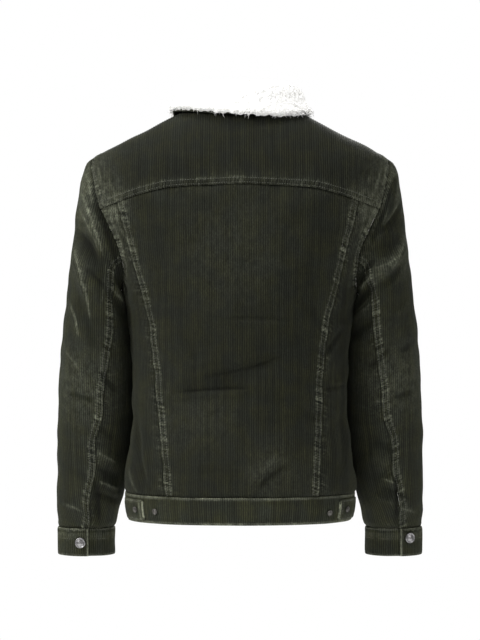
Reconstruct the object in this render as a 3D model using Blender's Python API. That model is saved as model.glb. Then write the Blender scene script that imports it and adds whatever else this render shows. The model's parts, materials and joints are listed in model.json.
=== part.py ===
"""Corduroy trucker jacket with a pile fold-over collar, worn and filled out.

The wearer's back is +Y and the wearer's left is +X, in metres, +Z up.  The origin is the
middle of the neck opening, level with the wearer's shoulders.

Each cloth piece is a closed wall.  The body pieces lie on one surface through level
sections, from the waistband to the shoulders.  Each sleeve is a loft of rings that starts
on the armhole cut in that surface.  Seam lines are worked out once and shared, so that
neighbouring pieces meet along the same points with a narrow gap.
"""

import math
from collections import namedtuple

import bmesh
import bpy
import numpy as np
from mathutils import Matrix, Vector

# ---------------------------------------------------------------- driving sizes, metres

CLOTH = 0.0030                # body cloth with its lining
BAND_CLOTH = 0.0042           # waistband and cuffs, two layers
TAB_CLOTH = 0.0026
COLLAR_CLOTH = 0.0024         # corduroy side of the collar
PILE = 0.0080                 # pile side of the collar
SEAM_GAP = 0.0003
CLEAR = 0.0004                # a piece that lies on another one

YOKE_BEND = -0.145            # height where level sections give way to upright slices
SHEET_STEP = 0.005            # spacing of the points that a surface is read from
SHEET_REACH = 0.345           # how far a body surface runs to each side, along the cloth
SHEET_TOP = 0.290             # how far it runs above the bend, along the cloth
SHEET_BOTTOM = -0.665         # height where the body surfaces end
CURVE_POINTS = 900            # points of a measured section or slice
SIDE_REACH = 0.6              # how far a section runs on past the side, radians
SLICE_BOTTOM = -0.095         # the lowest ridge that an upright slice is read at
WIDEST_SLICE = 0.0015         # how far inside the body's side the last slice stays

BAND_TOP = -0.6022
BAND_BOTTOM = -0.6445
FRONT_OVERLAP = 0.018         # how far each front runs past the centre front
FRONT_LIFT = 0.0019           # how far the fronts part to lie on each other
BAND_LIFT = 0.0026
LIFT_FADE = (0.024, 0.062)    # where, from the centre front, that lift dies out

ARMHOLE_MIDDLE = -0.178
ARMHOLE_HALF_HEIGHT = 0.112
ARMHOLE_HALF_DEPTH = 0.078
SHOULDER_SEAM_FORWARD = 0.028
ARMHOLE_LOWEST_YOKE = 150.0   # the yoke seam meets the armhole above this angle

NECK_HALF_WIDTH = 0.085
NECK_BACK = 0.072
NECK_FRONT = 0.092
COLLAR_CLEAR = 0.0042         # how far the collar's fall stays off the body
COLLAR_END = 0.010            # half the gap between the collar's front ends
COLLAR_LEAN = 0.004           # how much lower the fall hangs on the wearer's right
COLLAR_SWEEP = (118, 172)     # neck angles over which the front ends sweep back
CORNER_DROP = 0.009           # how far the overlapped front corners are cut down

CUFF_TOP = -0.6630
CUFF_BOTTOM = -0.7070
CUFF_OVERLAP = 0.026
CUFF_LIFT = 0.0010            # how far the cuff stands out from the sleeve
CUFF_TUCK = (320, 356)        # turn over which the cuff's end goes under its start
BAND_STAND = 0.0006           # how far the waistband stands out from the body

# Numbers of facets
CENTRE_COLUMNS = 16
SIDE_COLUMNS = 5
SHOULDER_COLUMNS = 6
NECK_COLUMNS = 2 * SIDE_COLUMNS + CENTRE_COLUMNS - 2 * SHOULDER_COLUMNS
FRONT_NECK_COLUMNS = 6
YOKE_ROWS = 6
BACK_ARM_ROWS = 7
FRONT_ARM_ROWS = 9
SIDE_ROWS = 15
SAG_FADE = 4                  # how fast rows even out away from a curved edge
SHARE_FADE = 2                # how late columns take up the spacing of the top edge
BACK_SEAM_AT = 3              # armhole point, below the yoke, where the sleeve seam starts
FRONT_SEAM_AT = 3             # armhole point, above the armpit, where the other one starts
BAND_COLUMNS = 64
CUFF_COLUMNS = 26
BUTTON_SIDES = 14

# ---------------------------------------------------------------- tables, metres

Section = namedtuple("Section", "height half_width back front roundness")
TORSO = (
    Section(+0.052, 0.0020, 0.0100, 0.0040, 2.00),
    Section(+0.030, 0.0420, 0.0440, 0.0140, 2.00),
    Section(+0.008, 0.0850, 0.0690, 0.0260, 2.05),
    Section(-0.010, 0.1200, 0.0840, 0.0420, 2.10),
    Section(-0.040, 0.1780, 0.1030, 0.0660, 2.20),
    Section(-0.060, 0.2165, 0.1120, 0.0810, 2.30),
    Section(-0.075, 0.2365, 0.1175, 0.0920, 2.45),
    Section(-0.095, 0.2430, 0.1225, 0.1030, 2.65),
    Section(-0.118, 0.2430, 0.1270, 0.1140, 2.75),
    Section(-0.145, 0.2400, 0.1310, 0.1240, 2.75),
    Section(-0.180, 0.2270, 0.1335, 0.1320, 2.65),
    Section(-0.220, 0.2065, 0.1340, 0.1370, 2.50),
    Section(-0.260, 0.1915, 0.1330, 0.1390, 2.40),
    Section(-0.290, 0.1850, 0.1310, 0.1380, 2.35),
    Section(-0.330, 0.1795, 0.1280, 0.1360, 2.30),
    Section(-0.400, 0.1725, 0.1240, 0.1330, 2.30),
    Section(-0.470, 0.1715, 0.1220, 0.1310, 2.30),
    Section(-0.530, 0.1770, 0.1250, 0.1320, 2.35),
    Section(-0.570, 0.1830, 0.1285, 0.1340, 2.40),
    Section(-0.592, 0.1855, 0.1300, 0.1350, 2.40),
    Section(-0.604, 0.1835, 0.1275, 0.1320, 2.40),
    Section(-0.624, 0.1815, 0.1260, 0.1310, 2.40),
    Section(-0.645, 0.1775, 0.1240, 0.1295, 2.40),
    Section(-0.660, 0.1760, 0.1230, 0.1290, 2.40),
)

# The yoke seam and the two long back seams
YokePoint = namedtuple("YokePoint", "across height")
YOKE_SEAM = (
    YokePoint(0.000, -0.1170),
    YokePoint(0.060, -0.1198),
    YokePoint(0.110, -0.1225),
    YokePoint(0.150, -0.1315),
    YokePoint(0.190, -0.1440),
    YokePoint(0.240, -0.1610),
)

BackSeamPoint = namedtuple("BackSeamPoint", "height left right")
BACK_SEAMS = (
    BackSeamPoint(-0.130, 0.1940, 0.1865),
    BackSeamPoint(-0.144, 0.1900, 0.1830),
    BackSeamPoint(-0.193, 0.1770, 0.1710),
    BackSeamPoint(-0.236, 0.1660, 0.1610),
    BackSeamPoint(-0.290, 0.1505, 0.1475),
    BackSeamPoint(-0.340, 0.1400, 0.1365),
    BackSeamPoint(-0.405, 0.1330, 0.1285),
    BackSeamPoint(-0.456, 0.1280, 0.1270),
    BackSeamPoint(-0.506, 0.1230, 0.1255),
    BackSeamPoint(-0.557, 0.1180, 0.1235),
    BackSeamPoint(-0.604, 0.1143, 0.1203),
)

# Sleeve rings, each through an outer and an inner point, from the armhole to the cuff
Ring = namedtuple("Ring", "outer_x outer_z inner_x inner_z half_depth middle_y armhole")
SLEEVE = (
    Ring(0.2260, -0.0660, 0.1850, -0.2900, 0.0780, +0.000, 1.00),
    Ring(0.2393, -0.0745, 0.1880, -0.2930, 0.0810, -0.001, 0.75),
    Ring(0.2482, -0.0900, 0.1878, -0.2980, 0.0830, -0.002, 0.50),
    Ring(0.2540, -0.1110, 0.1841, -0.3045, 0.0840, -0.004, 0.30),
    Ring(0.2592, -0.1420, 0.1829, -0.3130, 0.0845, -0.006, 0.15),
    Ring(0.2644, -0.1800, 0.1815, -0.3240, 0.0845, -0.009, 0.05),
    Ring(0.2702, -0.2200, 0.1798, -0.3370, 0.0840, -0.012, 0.00),
    Ring(0.2748, -0.2600, 0.1774, -0.3550, 0.0825, -0.016, 0.00),
    Ring(0.2805, -0.3050, 0.1747, -0.3800, 0.0800, -0.020, 0.00),
    Ring(0.2857, -0.3500, 0.1738, -0.4070, 0.0770, -0.024, 0.00),
    Ring(0.2898, -0.3950, 0.1728, -0.4370, 0.0735, -0.028, 0.00),
    Ring(0.2925, -0.4400, 0.1722, -0.4700, 0.0700, -0.032, 0.00),
    Ring(0.2944, -0.4850, 0.1741, -0.5060, 0.0665, -0.036, 0.00),
    Ring(0.2955, -0.5300, 0.1783, -0.5430, 0.0630, -0.040, 0.00),
    Ring(0.2962, -0.5700, 0.1830, -0.5770, 0.0600, -0.043, 0.00),
    Ring(0.2967, -0.6050, 0.1888, -0.6080, 0.0565, -0.046, 0.00),
    Ring(0.2967, -0.6330, 0.1965, -0.6340, 0.0515, -0.048, 0.00),
    Ring(0.2952, -0.6520, 0.2000, -0.6520, 0.0460, -0.049, 0.00),
    Ring(0.2950, -0.6627, 0.2038, -0.6627, 0.0430, -0.050, 0.00),
)
SLEEVE_ROWS = 24
WRIST_RADIUS = (SLEEVE[-1].outer_x - SLEEVE[-1].inner_x) / 2
COLUMN_SETTLE = 0.30          # share of the sleeve in which its columns even out

# Where the long sleeve seams run: the angle round a ring, 0 outside and 90 at the back
SleeveSeamPoint = namedtuple("SleeveSeamPoint", "height left right front")
SLEEVE_SEAMS = (
    SleeveSeamPoint(-0.2300, 123.0, 116.0, -136.0),
    SleeveSeamPoint(-0.3200, 121.0, 110.0, -134.0),
    SleeveSeamPoint(-0.3800, 113.0, 104.0, -132.0),
    SleeveSeamPoint(-0.4840, 101.0, 93.0, -130.0),
    SleeveSeamPoint(-0.5780, 95.0, 82.0, -130.0),
    SleeveSeamPoint(-0.6627, 98.0, 80.0, -130.0),
)

# The collar's bend: how far out from the neck seam and up, at the back, side and front
CollarPoint = namedtuple("CollarPoint", "back_out back_up side_out side_up front_out front_up sweep")
COLLAR = (
    CollarPoint(+0.0002, +0.0003, +0.0002, +0.0003, +0.0002, +0.0003, 0.000),
    CollarPoint(-0.0030, +0.0120, -0.0040, +0.0110, +0.0004, +0.0080, 0.000),
    CollarPoint(-0.0040, +0.0225, -0.0060, +0.0205, +0.0010, +0.0150, 0.000),
    CollarPoint(-0.0020, +0.0305, -0.0045, +0.0272, +0.0030, +0.0200, 0.001),
    CollarPoint(+0.0035, +0.0340, +0.0010, +0.0302, +0.0080, +0.0222, 0.002),
    CollarPoint(+0.0095, +0.0305, +0.0065, +0.0265, +0.0130, +0.0170, 0.004),
    CollarPoint(+0.0130, +0.0200, +0.0105, +0.0175, +0.0180, +0.0040, 0.009),
    CollarPoint(+0.0155, +0.0050, +0.0155, +0.0070, +0.0250, -0.0180, 0.020),
    CollarPoint(+0.0190, -0.0120, +0.0215, -0.0045, +0.0320, -0.0420, 0.036),
)

# The largest folds, on the side of the cloth that faces back (+1) or front (-1)
FOLD_START = (-0.15, 0.25)    # shares of its length over which a fold begins
FOLD_END = (1.15, 0.75)       # and over which it dies out
FOLD_FACING = (0.05, 0.45)    # how far the cloth must face a fold's side to take it
SLEEVE_FOLD_START = (0.01, 0.10)
SLEEVE_FOLD_END = (1.00, 0.93)
Fold = namedtuple("Fold", "part facing from_x from_z to_x to_z bow width rise")
FOLDS = (
    Fold("body", +1, +0.0945, -0.4386, -0.0115, -0.4324, +0.002, 0.013, -0.0035),
    Fold("body", +1, +0.0900, -0.4530, -0.0050, -0.4480, +0.002, 0.013, +0.0020),
    Fold("body", +1, +0.0560, -0.4190, -0.0680, -0.3830, -0.004, 0.013, -0.0030),
    Fold("body", +1, -0.1630, -0.3430, -0.1390, -0.3770, +0.000, 0.013, -0.0035),
    Fold("body", +1, -0.0150, -0.5780, -0.0700, -0.5400, +0.004, 0.014, +0.0030),
    Fold("body", +1, +0.1600, -0.5000, +0.1490, -0.5850, -0.004, 0.013, -0.0030),
    Fold("body", -1, +0.0600, -0.4300, +0.1250, -0.3950, +0.004, 0.013, -0.0030),
    Fold("body", -1, -0.0550, -0.3850, -0.1250, -0.3500, +0.004, 0.013, -0.0030),
    Fold("body", -1, -0.0500, -0.5250, -0.1200, -0.5000, +0.004, 0.014, +0.0030),
    Fold("sleeve_left", +1, +0.2400, -0.1560, +0.2150, -0.2280, +0.004, 0.014, +0.0040),
    Fold("sleeve_left", +1, +0.2620, -0.2170, +0.2420, -0.3000, +0.004, 0.014, +0.0040),
    Fold("sleeve_left", +1, +0.2480, -0.1960, +0.2030, -0.2800, +0.005, 0.014, -0.0050),
    Fold("sleeve_left", +1, +0.2280, -0.5400, +0.2030, -0.5540, +0.001, 0.014, +0.0030),
    Fold("sleeve_left", -1, +0.2620, -0.2600, +0.2150, -0.3300, +0.004, 0.014, -0.0045),
    Fold("sleeve_left", -1, +0.2680, -0.4200, +0.2100, -0.4000, -0.004, 0.014, -0.0045),
    Fold("sleeve_left", -1, +0.2600, -0.4600, +0.2080, -0.4800, +0.003, 0.014, +0.0035),
    Fold("sleeve_right", +1, -0.2620, -0.2010, -0.2260, -0.2500, +0.006, 0.014, +0.0050),
    Fold("sleeve_right", +1, -0.2260, -0.2500, -0.2000, -0.2600, +0.000, 0.014, +0.0040),
    Fold("sleeve_right", +1, -0.2520, -0.1600, -0.2150, -0.2280, +0.005, 0.014, -0.0045),
    Fold("sleeve_right", +1, -0.2300, -0.5600, -0.2060, -0.5420, +0.001, 0.014, +0.0028),
    Fold("sleeve_right", -1, -0.2600, -0.2500, -0.2120, -0.3250, +0.004, 0.014, -0.0045),
    Fold("sleeve_right", -1, -0.2700, -0.4150, -0.2120, -0.4050, -0.004, 0.014, -0.0045),
    Fold("sleeve_right", -1, -0.2620, -0.4700, -0.2080, -0.4720, +0.003, 0.014, +0.0035),
)

# Buttons: half the diameter, how far the head stands up
ButtonSize = namedtuple("ButtonSize", "radius height")
SHANK_BUTTON = ButtonSize(0.0085, 0.0052)
SMALL_BUTTON = ButtonSize(0.0045, 0.0030)
# A button's half outline from the cloth to the dome: shares of its radius and its height
BUTTON_PROFILE = ((0.66, 0.00), (0.98, 0.40), (1.00, 0.66), (0.90, 0.88), (0.62, 0.74))
FRONT_BUTTON_HEIGHTS = (-0.104, -0.205, -0.306, -0.407, -0.508)
BAND_BUTTON_HEIGHT = -0.6235

CuffButton = namedtuple("CuffButton", "side from_edge height")
CUFF_BUTTONS = (
    CuffButton("left", 0.0125, -0.6850),
    CuffButton("right", 0.0145, -0.6775),
)

Tab = namedtuple("Tab", "side end_x button_x spare_x spare_z")
TABS = (
    Tab("left", +0.1490, +0.1600, +0.1313, -0.6248),
    Tab("right", -0.1535, -0.1640, -0.1385, -0.6275),
)
TAB_TOP = -0.6085
TAB_BOTTOM = -0.6400
TAB_LENGTH = 0.066
TAB_CORNER = 0.007
TAB_ROUNDING = 0.6            # how round the tab's corners are, 1 for a full quarter
TAB_ROWS = 3
TAB_COLUMNS = 9

Finish = namedtuple("Finish", "colour roughness metallic")
CORDUROY = Finish((0.022, 0.023, 0.016), 0.92, 0.0)
FLEECE = Finish((0.86, 0.85, 0.82), 0.95, 0.0)
METAL = Finish((0.36, 0.35, 0.32), 0.38, 1.0)


# ---------------------------------------------------------------- smooth tables and sheets

def column(rows, name):
    """One named column of a table."""
    return np.array([getattr(row, name) for row in rows])


def smooth(rows, key, value):
    """A function that runs smoothly, without overshoot, through two columns of a table."""
    x, y = column(rows, key), column(rows, value)
    order = np.argsort(x)
    x, y = x[order], y[order]
    rise = np.diff(y) / np.diff(x)
    slope = np.concatenate(([rise[0]], np.zeros(len(x) - 2), [rise[-1]]))
    same_way = rise[:-1] * rise[1:] > 0
    pair = np.where(same_way, rise[:-1] + rise[1:], 1.0)
    slope[1:-1] = np.where(same_way, 2 * rise[:-1] * rise[1:] / pair, 0.0)

    def read(at):
        at = np.clip(np.asarray(at, float), x[0], x[-1])
        i = np.clip(np.searchsorted(x, at) - 1, 0, len(x) - 2)
        step = x[i + 1] - x[i]
        f = (at - x[i]) / step
        start = (1 + 2 * f) * (1 - f) ** 2 * y[i] + f * (1 - f) ** 2 * step * slope[i]
        end = f * f * (3 - 2 * f) * y[i + 1] + f * f * (f - 1) * step * slope[i + 1]
        return start + end
    return read


def ease(low, high, at):
    """0 below low, 1 above high and smooth between them."""
    f = np.clip((np.asarray(at, float) - low) / (high - low), 0, 1)
    return f * f * (3 - 2 * f)


def unit(vectors):
    """Vectors of length one."""
    return vectors / np.maximum(np.linalg.norm(vectors, axis=-1, keepdims=True), 1e-12)


def cubic_weights(f):
    """Weights of four neighbouring points for a smooth curve between the middle two."""
    return (((-f + 2) * f - 1) * f / 2, ((3 * f - 5) * f * f + 2) / 2,
            ((-3 * f + 4) * f + 1) * f / 2, (f - 1) * f * f / 2)


class Sheet:
    """A smooth surface through a grid of points, read at any place on the cloth."""

    def __init__(self, across, along, points, outward):
        self.across, self.along, self.points, self.outward = across, along, points, outward

    def at(self, u, v):
        """The points at distances u across and v along the cloth."""
        u, v = np.broadcast_arrays(np.asarray(u, float), np.asarray(v, float))
        du, dv = self.across[1] - self.across[0], self.along[1] - self.along[0]
        fu, fv = (u - self.across[0]) / du, (v - self.along[0]) / dv
        i = np.clip(np.floor(fu).astype(int), 1, len(self.across) - 3)
        j = np.clip(np.floor(fv).astype(int), 1, len(self.along) - 3)
        wu, wv = cubic_weights(fu - i), cubic_weights(fv - j)
        total = np.zeros(u.shape + (3,))
        for a in range(4):
            for b in range(4):
                total += (wu[a] * wv[b])[..., None] * self.points[i + a - 1, j + b - 1]
        return total

    def slopes(self, u, v, step=0.001):
        """How the surface runs across and along, per metre."""
        across = (self.at(u + step, v) - self.at(u - step, v)) / (2 * step)
        along = (self.at(u, v + step) - self.at(u, v - step)) / (2 * step)
        return across, along

    def normal(self, u, v):
        """The outward direction of the surface."""
        across, along = self.slopes(u, v)
        return unit(np.cross(across, along)) * self.outward

    def find(self, targets):
        """Where on the cloth each target point lies, as u and v."""
        flat = targets.reshape(-1, 3)
        grid = self.points[::4, ::4].reshape(-1, 3)
        near = np.argmin(((flat[:, None] - grid[None]) ** 2).sum(-1), axis=1)
        rows = len(self.along[::4])
        u, v = self.across[::4][near // rows], self.along[::4][near % rows]
        for _ in range(12):
            error = flat - self.at(u, v)
            across, along = self.slopes(u, v)
            aa, bb, ab = (across ** 2).sum(-1), (along ** 2).sum(-1), (across * along).sum(-1)
            ea, eb = (error * across).sum(-1), (error * along).sum(-1)
            scale = np.maximum(aa * bb - ab * ab, 1e-9)
            u = u + np.clip((ea * bb - eb * ab) / scale, -0.02, 0.02)
            v = v + np.clip((eb * aa - ea * ab) / scale, -0.02, 0.02)
        return u.reshape(targets.shape[:-1]), v.reshape(targets.shape[:-1])


# ---------------------------------------------------------------- the body's surface

half_width = smooth(TORSO, "height", "half_width")
back_depth = smooth(TORSO, "height", "back")
front_depth = smooth(TORSO, "height", "front")
roundness = smooth(TORSO, "height", "roundness")
yoke_height = smooth(YOKE_SEAM, "across", "height")
back_seam = {+1: smooth(BACK_SEAMS, "height", "left"),
             -1: smooth(BACK_SEAMS, "height", "right")}

BACK, FRONT = +1, -1


def depth(height, facing):
    """Half the body's depth, towards the back or the front."""
    return np.where(facing > 0, back_depth(height), front_depth(height))


def side_x(y, z):
    """How far out the body's surface lies at a depth y and a height z."""
    part = np.abs(y) / depth(z, np.sign(y) + 0.5)
    power = roundness(z)
    return half_width(z) * np.maximum(1 - part ** power, 0) ** (1 / power)


def face_y(x, z, facing):
    """How far back or front the body's surface lies at x and z."""
    part = np.minimum(np.abs(x) / half_width(z), 1)
    power = roundness(z)
    return facing * depth(z, facing) * (1 - part ** power) ** (1 / power)


def top_z(x, y):
    """How high the shoulders' surface lies over a place seen from above."""
    low = np.full(np.shape(x), YOKE_BEND)
    high = np.full(np.shape(x), TORSO[0].height)
    for _ in range(40):
        middle = (low + high) / 2
        power = roundness(middle)
        reach = (np.abs(x) / half_width(middle)) ** power
        reach += (np.abs(y) / depth(middle, np.sign(y) + 0.5)) ** power
        low, high = np.where(reach < 1, middle, low), np.where(reach < 1, high, middle)
    return (low + high) / 2


def section_curve(height, facing):
    """A level section from the centre line round the side, with its running length."""
    turn = np.linspace(0, math.pi / 2 + SIDE_REACH, CURVE_POINTS)
    power = 2 / float(roundness(height))
    x = half_width(height) * np.abs(np.sin(turn)) ** power
    own = turn <= math.pi / 2
    reach = np.where(own, depth(height, facing), -depth(height, -facing))
    y = facing * reach * np.abs(np.cos(turn)) ** power
    steps = np.hypot(np.diff(x), np.diff(y))
    return x, y, np.concatenate(([0], np.cumsum(steps)))


def slice_curve(x, facing):
    """An upright slice from the bend over the shoulder, with its running length."""
    heights = np.linspace(SLICE_BOTTOM, TORSO[0].height, CURVE_POINTS)
    ridge = np.interp(x, half_width(heights)[::-1], heights[::-1])
    q = np.linspace(1, -1, CURVE_POINTS)
    z = ridge - (ridge - YOKE_BEND) * q * q
    y = np.where(q > 0, face_y(x, z, facing), face_y(x, z, -facing))
    steps = np.hypot(np.diff(y), np.diff(z))
    return y, z, np.concatenate(([0], np.cumsum(steps)))


def body_sheet(facing):
    """The back or the front of the body: u across from the centre line, v up."""
    half = np.arange(0, SHEET_REACH + SHEET_STEP / 2, SHEET_STEP)
    across = np.concatenate((-half[:0:-1], half))
    below = np.arange(YOKE_BEND, SHEET_BOTTOM - SHEET_STEP, -SHEET_STEP)[::-1]
    above = np.arange(SHEET_STEP, SHEET_TOP + SHEET_STEP, SHEET_STEP)
    points = np.zeros((len(across), len(below) + len(above), 3))
    sign = np.where(across < 0, -1.0, 1.0)
    for j, height in enumerate(below):
        x, y, length = section_curve(height, facing)
        points[:, j, 0] = sign * np.interp(np.abs(across), length, x)
        points[:, j, 1] = np.interp(np.abs(across), length, y)
        points[:, j, 2] = height
    widest = float(half_width(YOKE_BEND)) - WIDEST_SLICE
    for i in range(len(across)):
        x = min(abs(points[i, len(below) - 1, 0]), widest)
        y, z, length = slice_curve(x, facing)
        points[i, len(below):, 0] = sign[i] * x
        points[i, len(below):, 1] = np.interp(above, length, y)
        points[i, len(below):, 2] = np.interp(above, length, z)
    return Sheet(across, np.concatenate((below, YOKE_BEND + above)), points, -facing)


BODY = {BACK: body_sheet(BACK), FRONT: body_sheet(FRONT)}


# ---------------------------------------------------------------- folds and offsets

def fold_rise(part, points, normals):
    """How far the folds of a part raise or sink its cloth."""
    rise = np.zeros(points.shape[:-1])
    for fold in FOLDS:
        if fold.part != part:
            continue
        start = np.array((fold.from_x, fold.from_z))
        run = np.array((fold.to_x, fold.to_z)) - start
        length = np.hypot(*run)
        local = points[..., (0, 2)] - start
        f = (local @ run) / length ** 2
        bend = fold.bow * 4 * np.clip(f, 0, 1) * (1 - np.clip(f, 0, 1))
        aside = (local[..., 0] * run[1] - local[..., 1] * run[0]) / length - bend
        taper = ease(*FOLD_START, f) * ease(*FOLD_END, f)
        facing = ease(*FOLD_FACING, normals[..., 1] * fold.facing)
        rise += fold.rise * taper * facing * np.exp(-(aside / fold.width) ** 2)
    return rise


def body_place(points, normals, edge_lift=0.0, wearer_side=0):
    """Body points moved out by the folds, and by the overlap of the fronts."""
    rise = fold_rise("body", points, normals)
    if wearer_side:
        fade = 1 - ease(*LIFT_FADE, wearer_side * points[..., 0])
        rise = rise + edge_lift * wearer_side * fade * (normals[..., 1] < 0)
    return points + normals * rise[..., None]


# ---------------------------------------------------------------- closed walls

def closed_wall(outer, inner):
    """Vertices and faces of a wall between two equal grids of points.

    Both skins are split along the same diagonals, so that layers stay evenly apart.
    """
    rows, columns = outer.shape[:2]
    count = rows * columns
    vertices = np.concatenate((outer.reshape(-1, 3), inner.reshape(-1, 3)))
    index = np.arange(count).reshape(rows, columns)
    faces = []
    for r in range(rows - 1):
        for c in range(columns - 1):
            a, b, e, f = index[r, c], index[r, c + 1], index[r + 1, c + 1], index[r + 1, c]
            for triangle in ((a, b, e), (a, e, f)):
                faces.append(triangle)
                faces.append(tuple(k + count for k in reversed(triangle)))
    for edge in (index[0], index[-1], index[:, 0], index[:, -1]):
        faces += [(a, b, b + count, a + count) for a, b in zip(edge, edge[1:])]
    return vertices, faces


def make_piece(name, vertices, faces, finish, sharp=35):
    """A named object with its own material, its faces turned outwards."""
    mesh = bpy.data.meshes.new(name)
    mesh.from_pydata([tuple(map(float, v)) for v in vertices], [],
                     [tuple(map(int, f)) for f in faces])
    work = bmesh.new()
    work.from_mesh(mesh)
    bmesh.ops.recalc_face_normals(work, faces=work.faces)
    work.to_mesh(mesh)
    work.free()
    mesh.shade_smooth()
    mesh.set_sharp_from_angle(angle=math.radians(sharp))
    material = bpy.data.materials.new(name)
    material.use_nodes = True
    shader = material.node_tree.nodes["Principled BSDF"]
    shader.inputs["Base Color"].default_value = (*finish.colour, 1)
    shader.inputs["Roughness"].default_value = finish.roughness
    shader.inputs["Metallic"].default_value = finish.metallic
    mesh.materials.append(material)
    piece = bpy.data.objects.new(name, mesh)
    bpy.context.scene.collection.objects.link(piece)
    return piece


def pull_in(grid, distance=SEAM_GAP / 2):
    """Move the rim of a grid of points into the piece, square to its edges."""
    moved = grid.copy()
    edges = (
        (grid[0], grid[1], (0, slice(None))),
        (grid[-1], grid[-2], (-1, slice(None))),
        (grid[:, 0], grid[:, 1], (slice(None), 0)),
        (grid[:, -1], grid[:, -2], (slice(None), -1)),
    )
    for edge, inside, where in edges:
        tangent = unit(np.gradient(edge, axis=0))
        inward = inside - edge
        inward -= (inward * tangent).sum(-1, keepdims=True) * tangent
        moved[where] += unit(inward) * distance
    return moved


def spread(bottom, top, left, right):
    """Fill four edges on the cloth, each as (u, v), with a grid; rows run bottom to top."""
    t = np.linspace(0, 1, len(left))[:, None]
    share_bottom = (bottom[:, 0] - bottom[0, 0]) / (bottom[-1, 0] - bottom[0, 0])
    share_top = (top[:, 0] - top[0, 0]) / (top[-1, 0] - top[0, 0])
    share = share_bottom + (share_top - share_bottom) * t ** SHARE_FADE
    place = left[:, None] + (right - left)[:, None] * share[..., None]
    sag_bottom = bottom[:, 1] - bottom[0, 1] - (bottom[-1, 1] - bottom[0, 1]) * share_bottom
    sag_top = top[:, 1] - top[0, 1] - (top[-1, 1] - top[0, 1]) * share_top
    place[..., 1] += (1 - t) ** SAG_FADE * sag_bottom + t ** SAG_FADE * sag_top
    return place


def body_panel(name, facing, bottom, top, left, right, arm_edges=(), edge_lift=0.0,
               wearer_side=0):
    """A body piece between four shared seam lines; arm_edges are (column, rows) on armholes."""
    sheet = BODY[facing]
    edges = [np.stack(sheet.find(line), axis=-1) for line in (bottom, top, left, right)]
    place = spread(*edges)
    points = sheet.at(place[..., 0], place[..., 1])
    points[0], points[-1], points[:, 0], points[:, -1] = bottom, top, left, right
    normals = sheet.normal(place[..., 0], place[..., 1])
    outer = pull_in(body_place(points, normals, edge_lift, wearer_side))
    inner = outer - normals * CLOTH
    for side, where, rows in arm_edges:
        middle, axis = armhole_frame(side)
        edge = body_place(points, normals, edge_lift, wearer_side)[rows, where]
        edge = edge - axis * SEAM_GAP / 2
        outer[rows, where] = edge
        inner[rows, where] = edge + unit(middle - edge) * CLOTH
    vertices, faces = closed_wall(outer, inner)
    return make_piece(name, vertices, faces, CORDUROY)


# ---------------------------------------------------------------- shared seam lines

def armhole(angle, side):
    """Armhole points: angle 0 on the shoulder, 90 at the back and 180 in the armpit."""
    angle = np.radians(angle)
    y = ARMHOLE_HALF_DEPTH * np.sin(angle)
    z = ARMHOLE_MIDDLE + ARMHOLE_HALF_HEIGHT * np.cos(angle)
    return np.stack((side * side_x(y, z), y, z), axis=-1)


def armhole_frame(side):
    """The armhole's middle and the direction that the sleeve leaves in."""
    top, bottom = armhole(0.0, side), armhole(180.0, side)
    axis = np.cross((0.0, side, 0.0), top - bottom)
    return (top + bottom) / 2, unit(axis)


def armhole_meets(test):
    """The armhole angle where a measure that is positive on the shoulder turns negative."""
    low, high = 0.0, ARMHOLE_LOWEST_YOKE
    for _ in range(50):
        middle = (low + high) / 2
        low, high = (middle, high) if test(middle) > 0 else (low, middle)
    return middle


def above_yoke(angle):
    """How far an armhole point lies above the yoke seam."""
    x, _, z = armhole(angle, +1)
    return z - yoke_height(x)


YOKE_ANGLE = armhole_meets(above_yoke)
SHOULDER_ANGLE = -math.degrees(math.asin(SHOULDER_SEAM_FORWARD / ARMHOLE_HALF_DEPTH))


def armhole_stretch(start, end, rows, side):
    """Evenly spaced armhole points between two angles."""
    return armhole(np.linspace(start, end, rows + 1), side)


def back_point(x, z):
    """Points on the body's back at given widths and heights."""
    x, z = np.broadcast_arrays(np.asarray(x, float), np.asarray(z, float))
    return np.stack((x, face_y(x, z, BACK), z), axis=-1)


def side_seam(side):
    """The side seam from the waistband up to the armpit."""
    heights = np.linspace(BAND_TOP, armhole(180.0, side)[2], SIDE_ROWS + 1)
    zero = np.zeros_like(heights)
    return np.stack((side * half_width(heights), zero, heights), axis=-1)


def long_back_seam(side):
    """The long seam of the back, level with the side seam and the armhole."""
    top = yoke_corner(side)[2]
    heights = np.linspace(BAND_TOP, top, SIDE_ROWS + BACK_ARM_ROWS + 1)
    return back_point(side * back_seam[side](heights), heights)


def yoke_corner(side):
    """Where the long back seam meets the yoke seam."""
    height = YOKE_BEND
    for _ in range(30):
        height = float(yoke_height(back_seam[side](height)))
    return back_point(side * back_seam[side](height), height)


def yoke_stretch(start_x, end_x, columns):
    """Points along the yoke seam between two widths."""
    x = np.linspace(start_x, end_x, columns + 1)
    return back_point(x, yoke_height(np.abs(x)))


def hem_stretch(start, end, columns, facing):
    """Points along the waistband seam between two points, even along the cloth."""
    sheet = BODY[facing]
    ends, _ = sheet.find(np.array((start, end)))
    u = np.linspace(ends[0], ends[1], columns + 1)
    points = sheet.at(u, np.full(columns + 1, BAND_TOP))
    points[0], points[-1] = start, end
    return points


def neck_point(angle, side):
    """Neck seam points: angle 0 at the back, 90 at the side and 180 at the front."""
    angle = np.radians(angle)
    x = NECK_HALF_WIDTH * np.sin(angle)
    y = np.where(np.cos(angle) > 0, NECK_BACK, NECK_FRONT) * np.cos(angle)
    return np.stack((side * x, y, top_z(x, y)), axis=-1)


SHOULDER_NECK_ANGLE = math.degrees(math.acos(-SHOULDER_SEAM_FORWARD / NECK_FRONT))
FRONT_NECK_ANGLE = 180 - math.degrees(math.asin(COLLAR_END / NECK_HALF_WIDTH))


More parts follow.
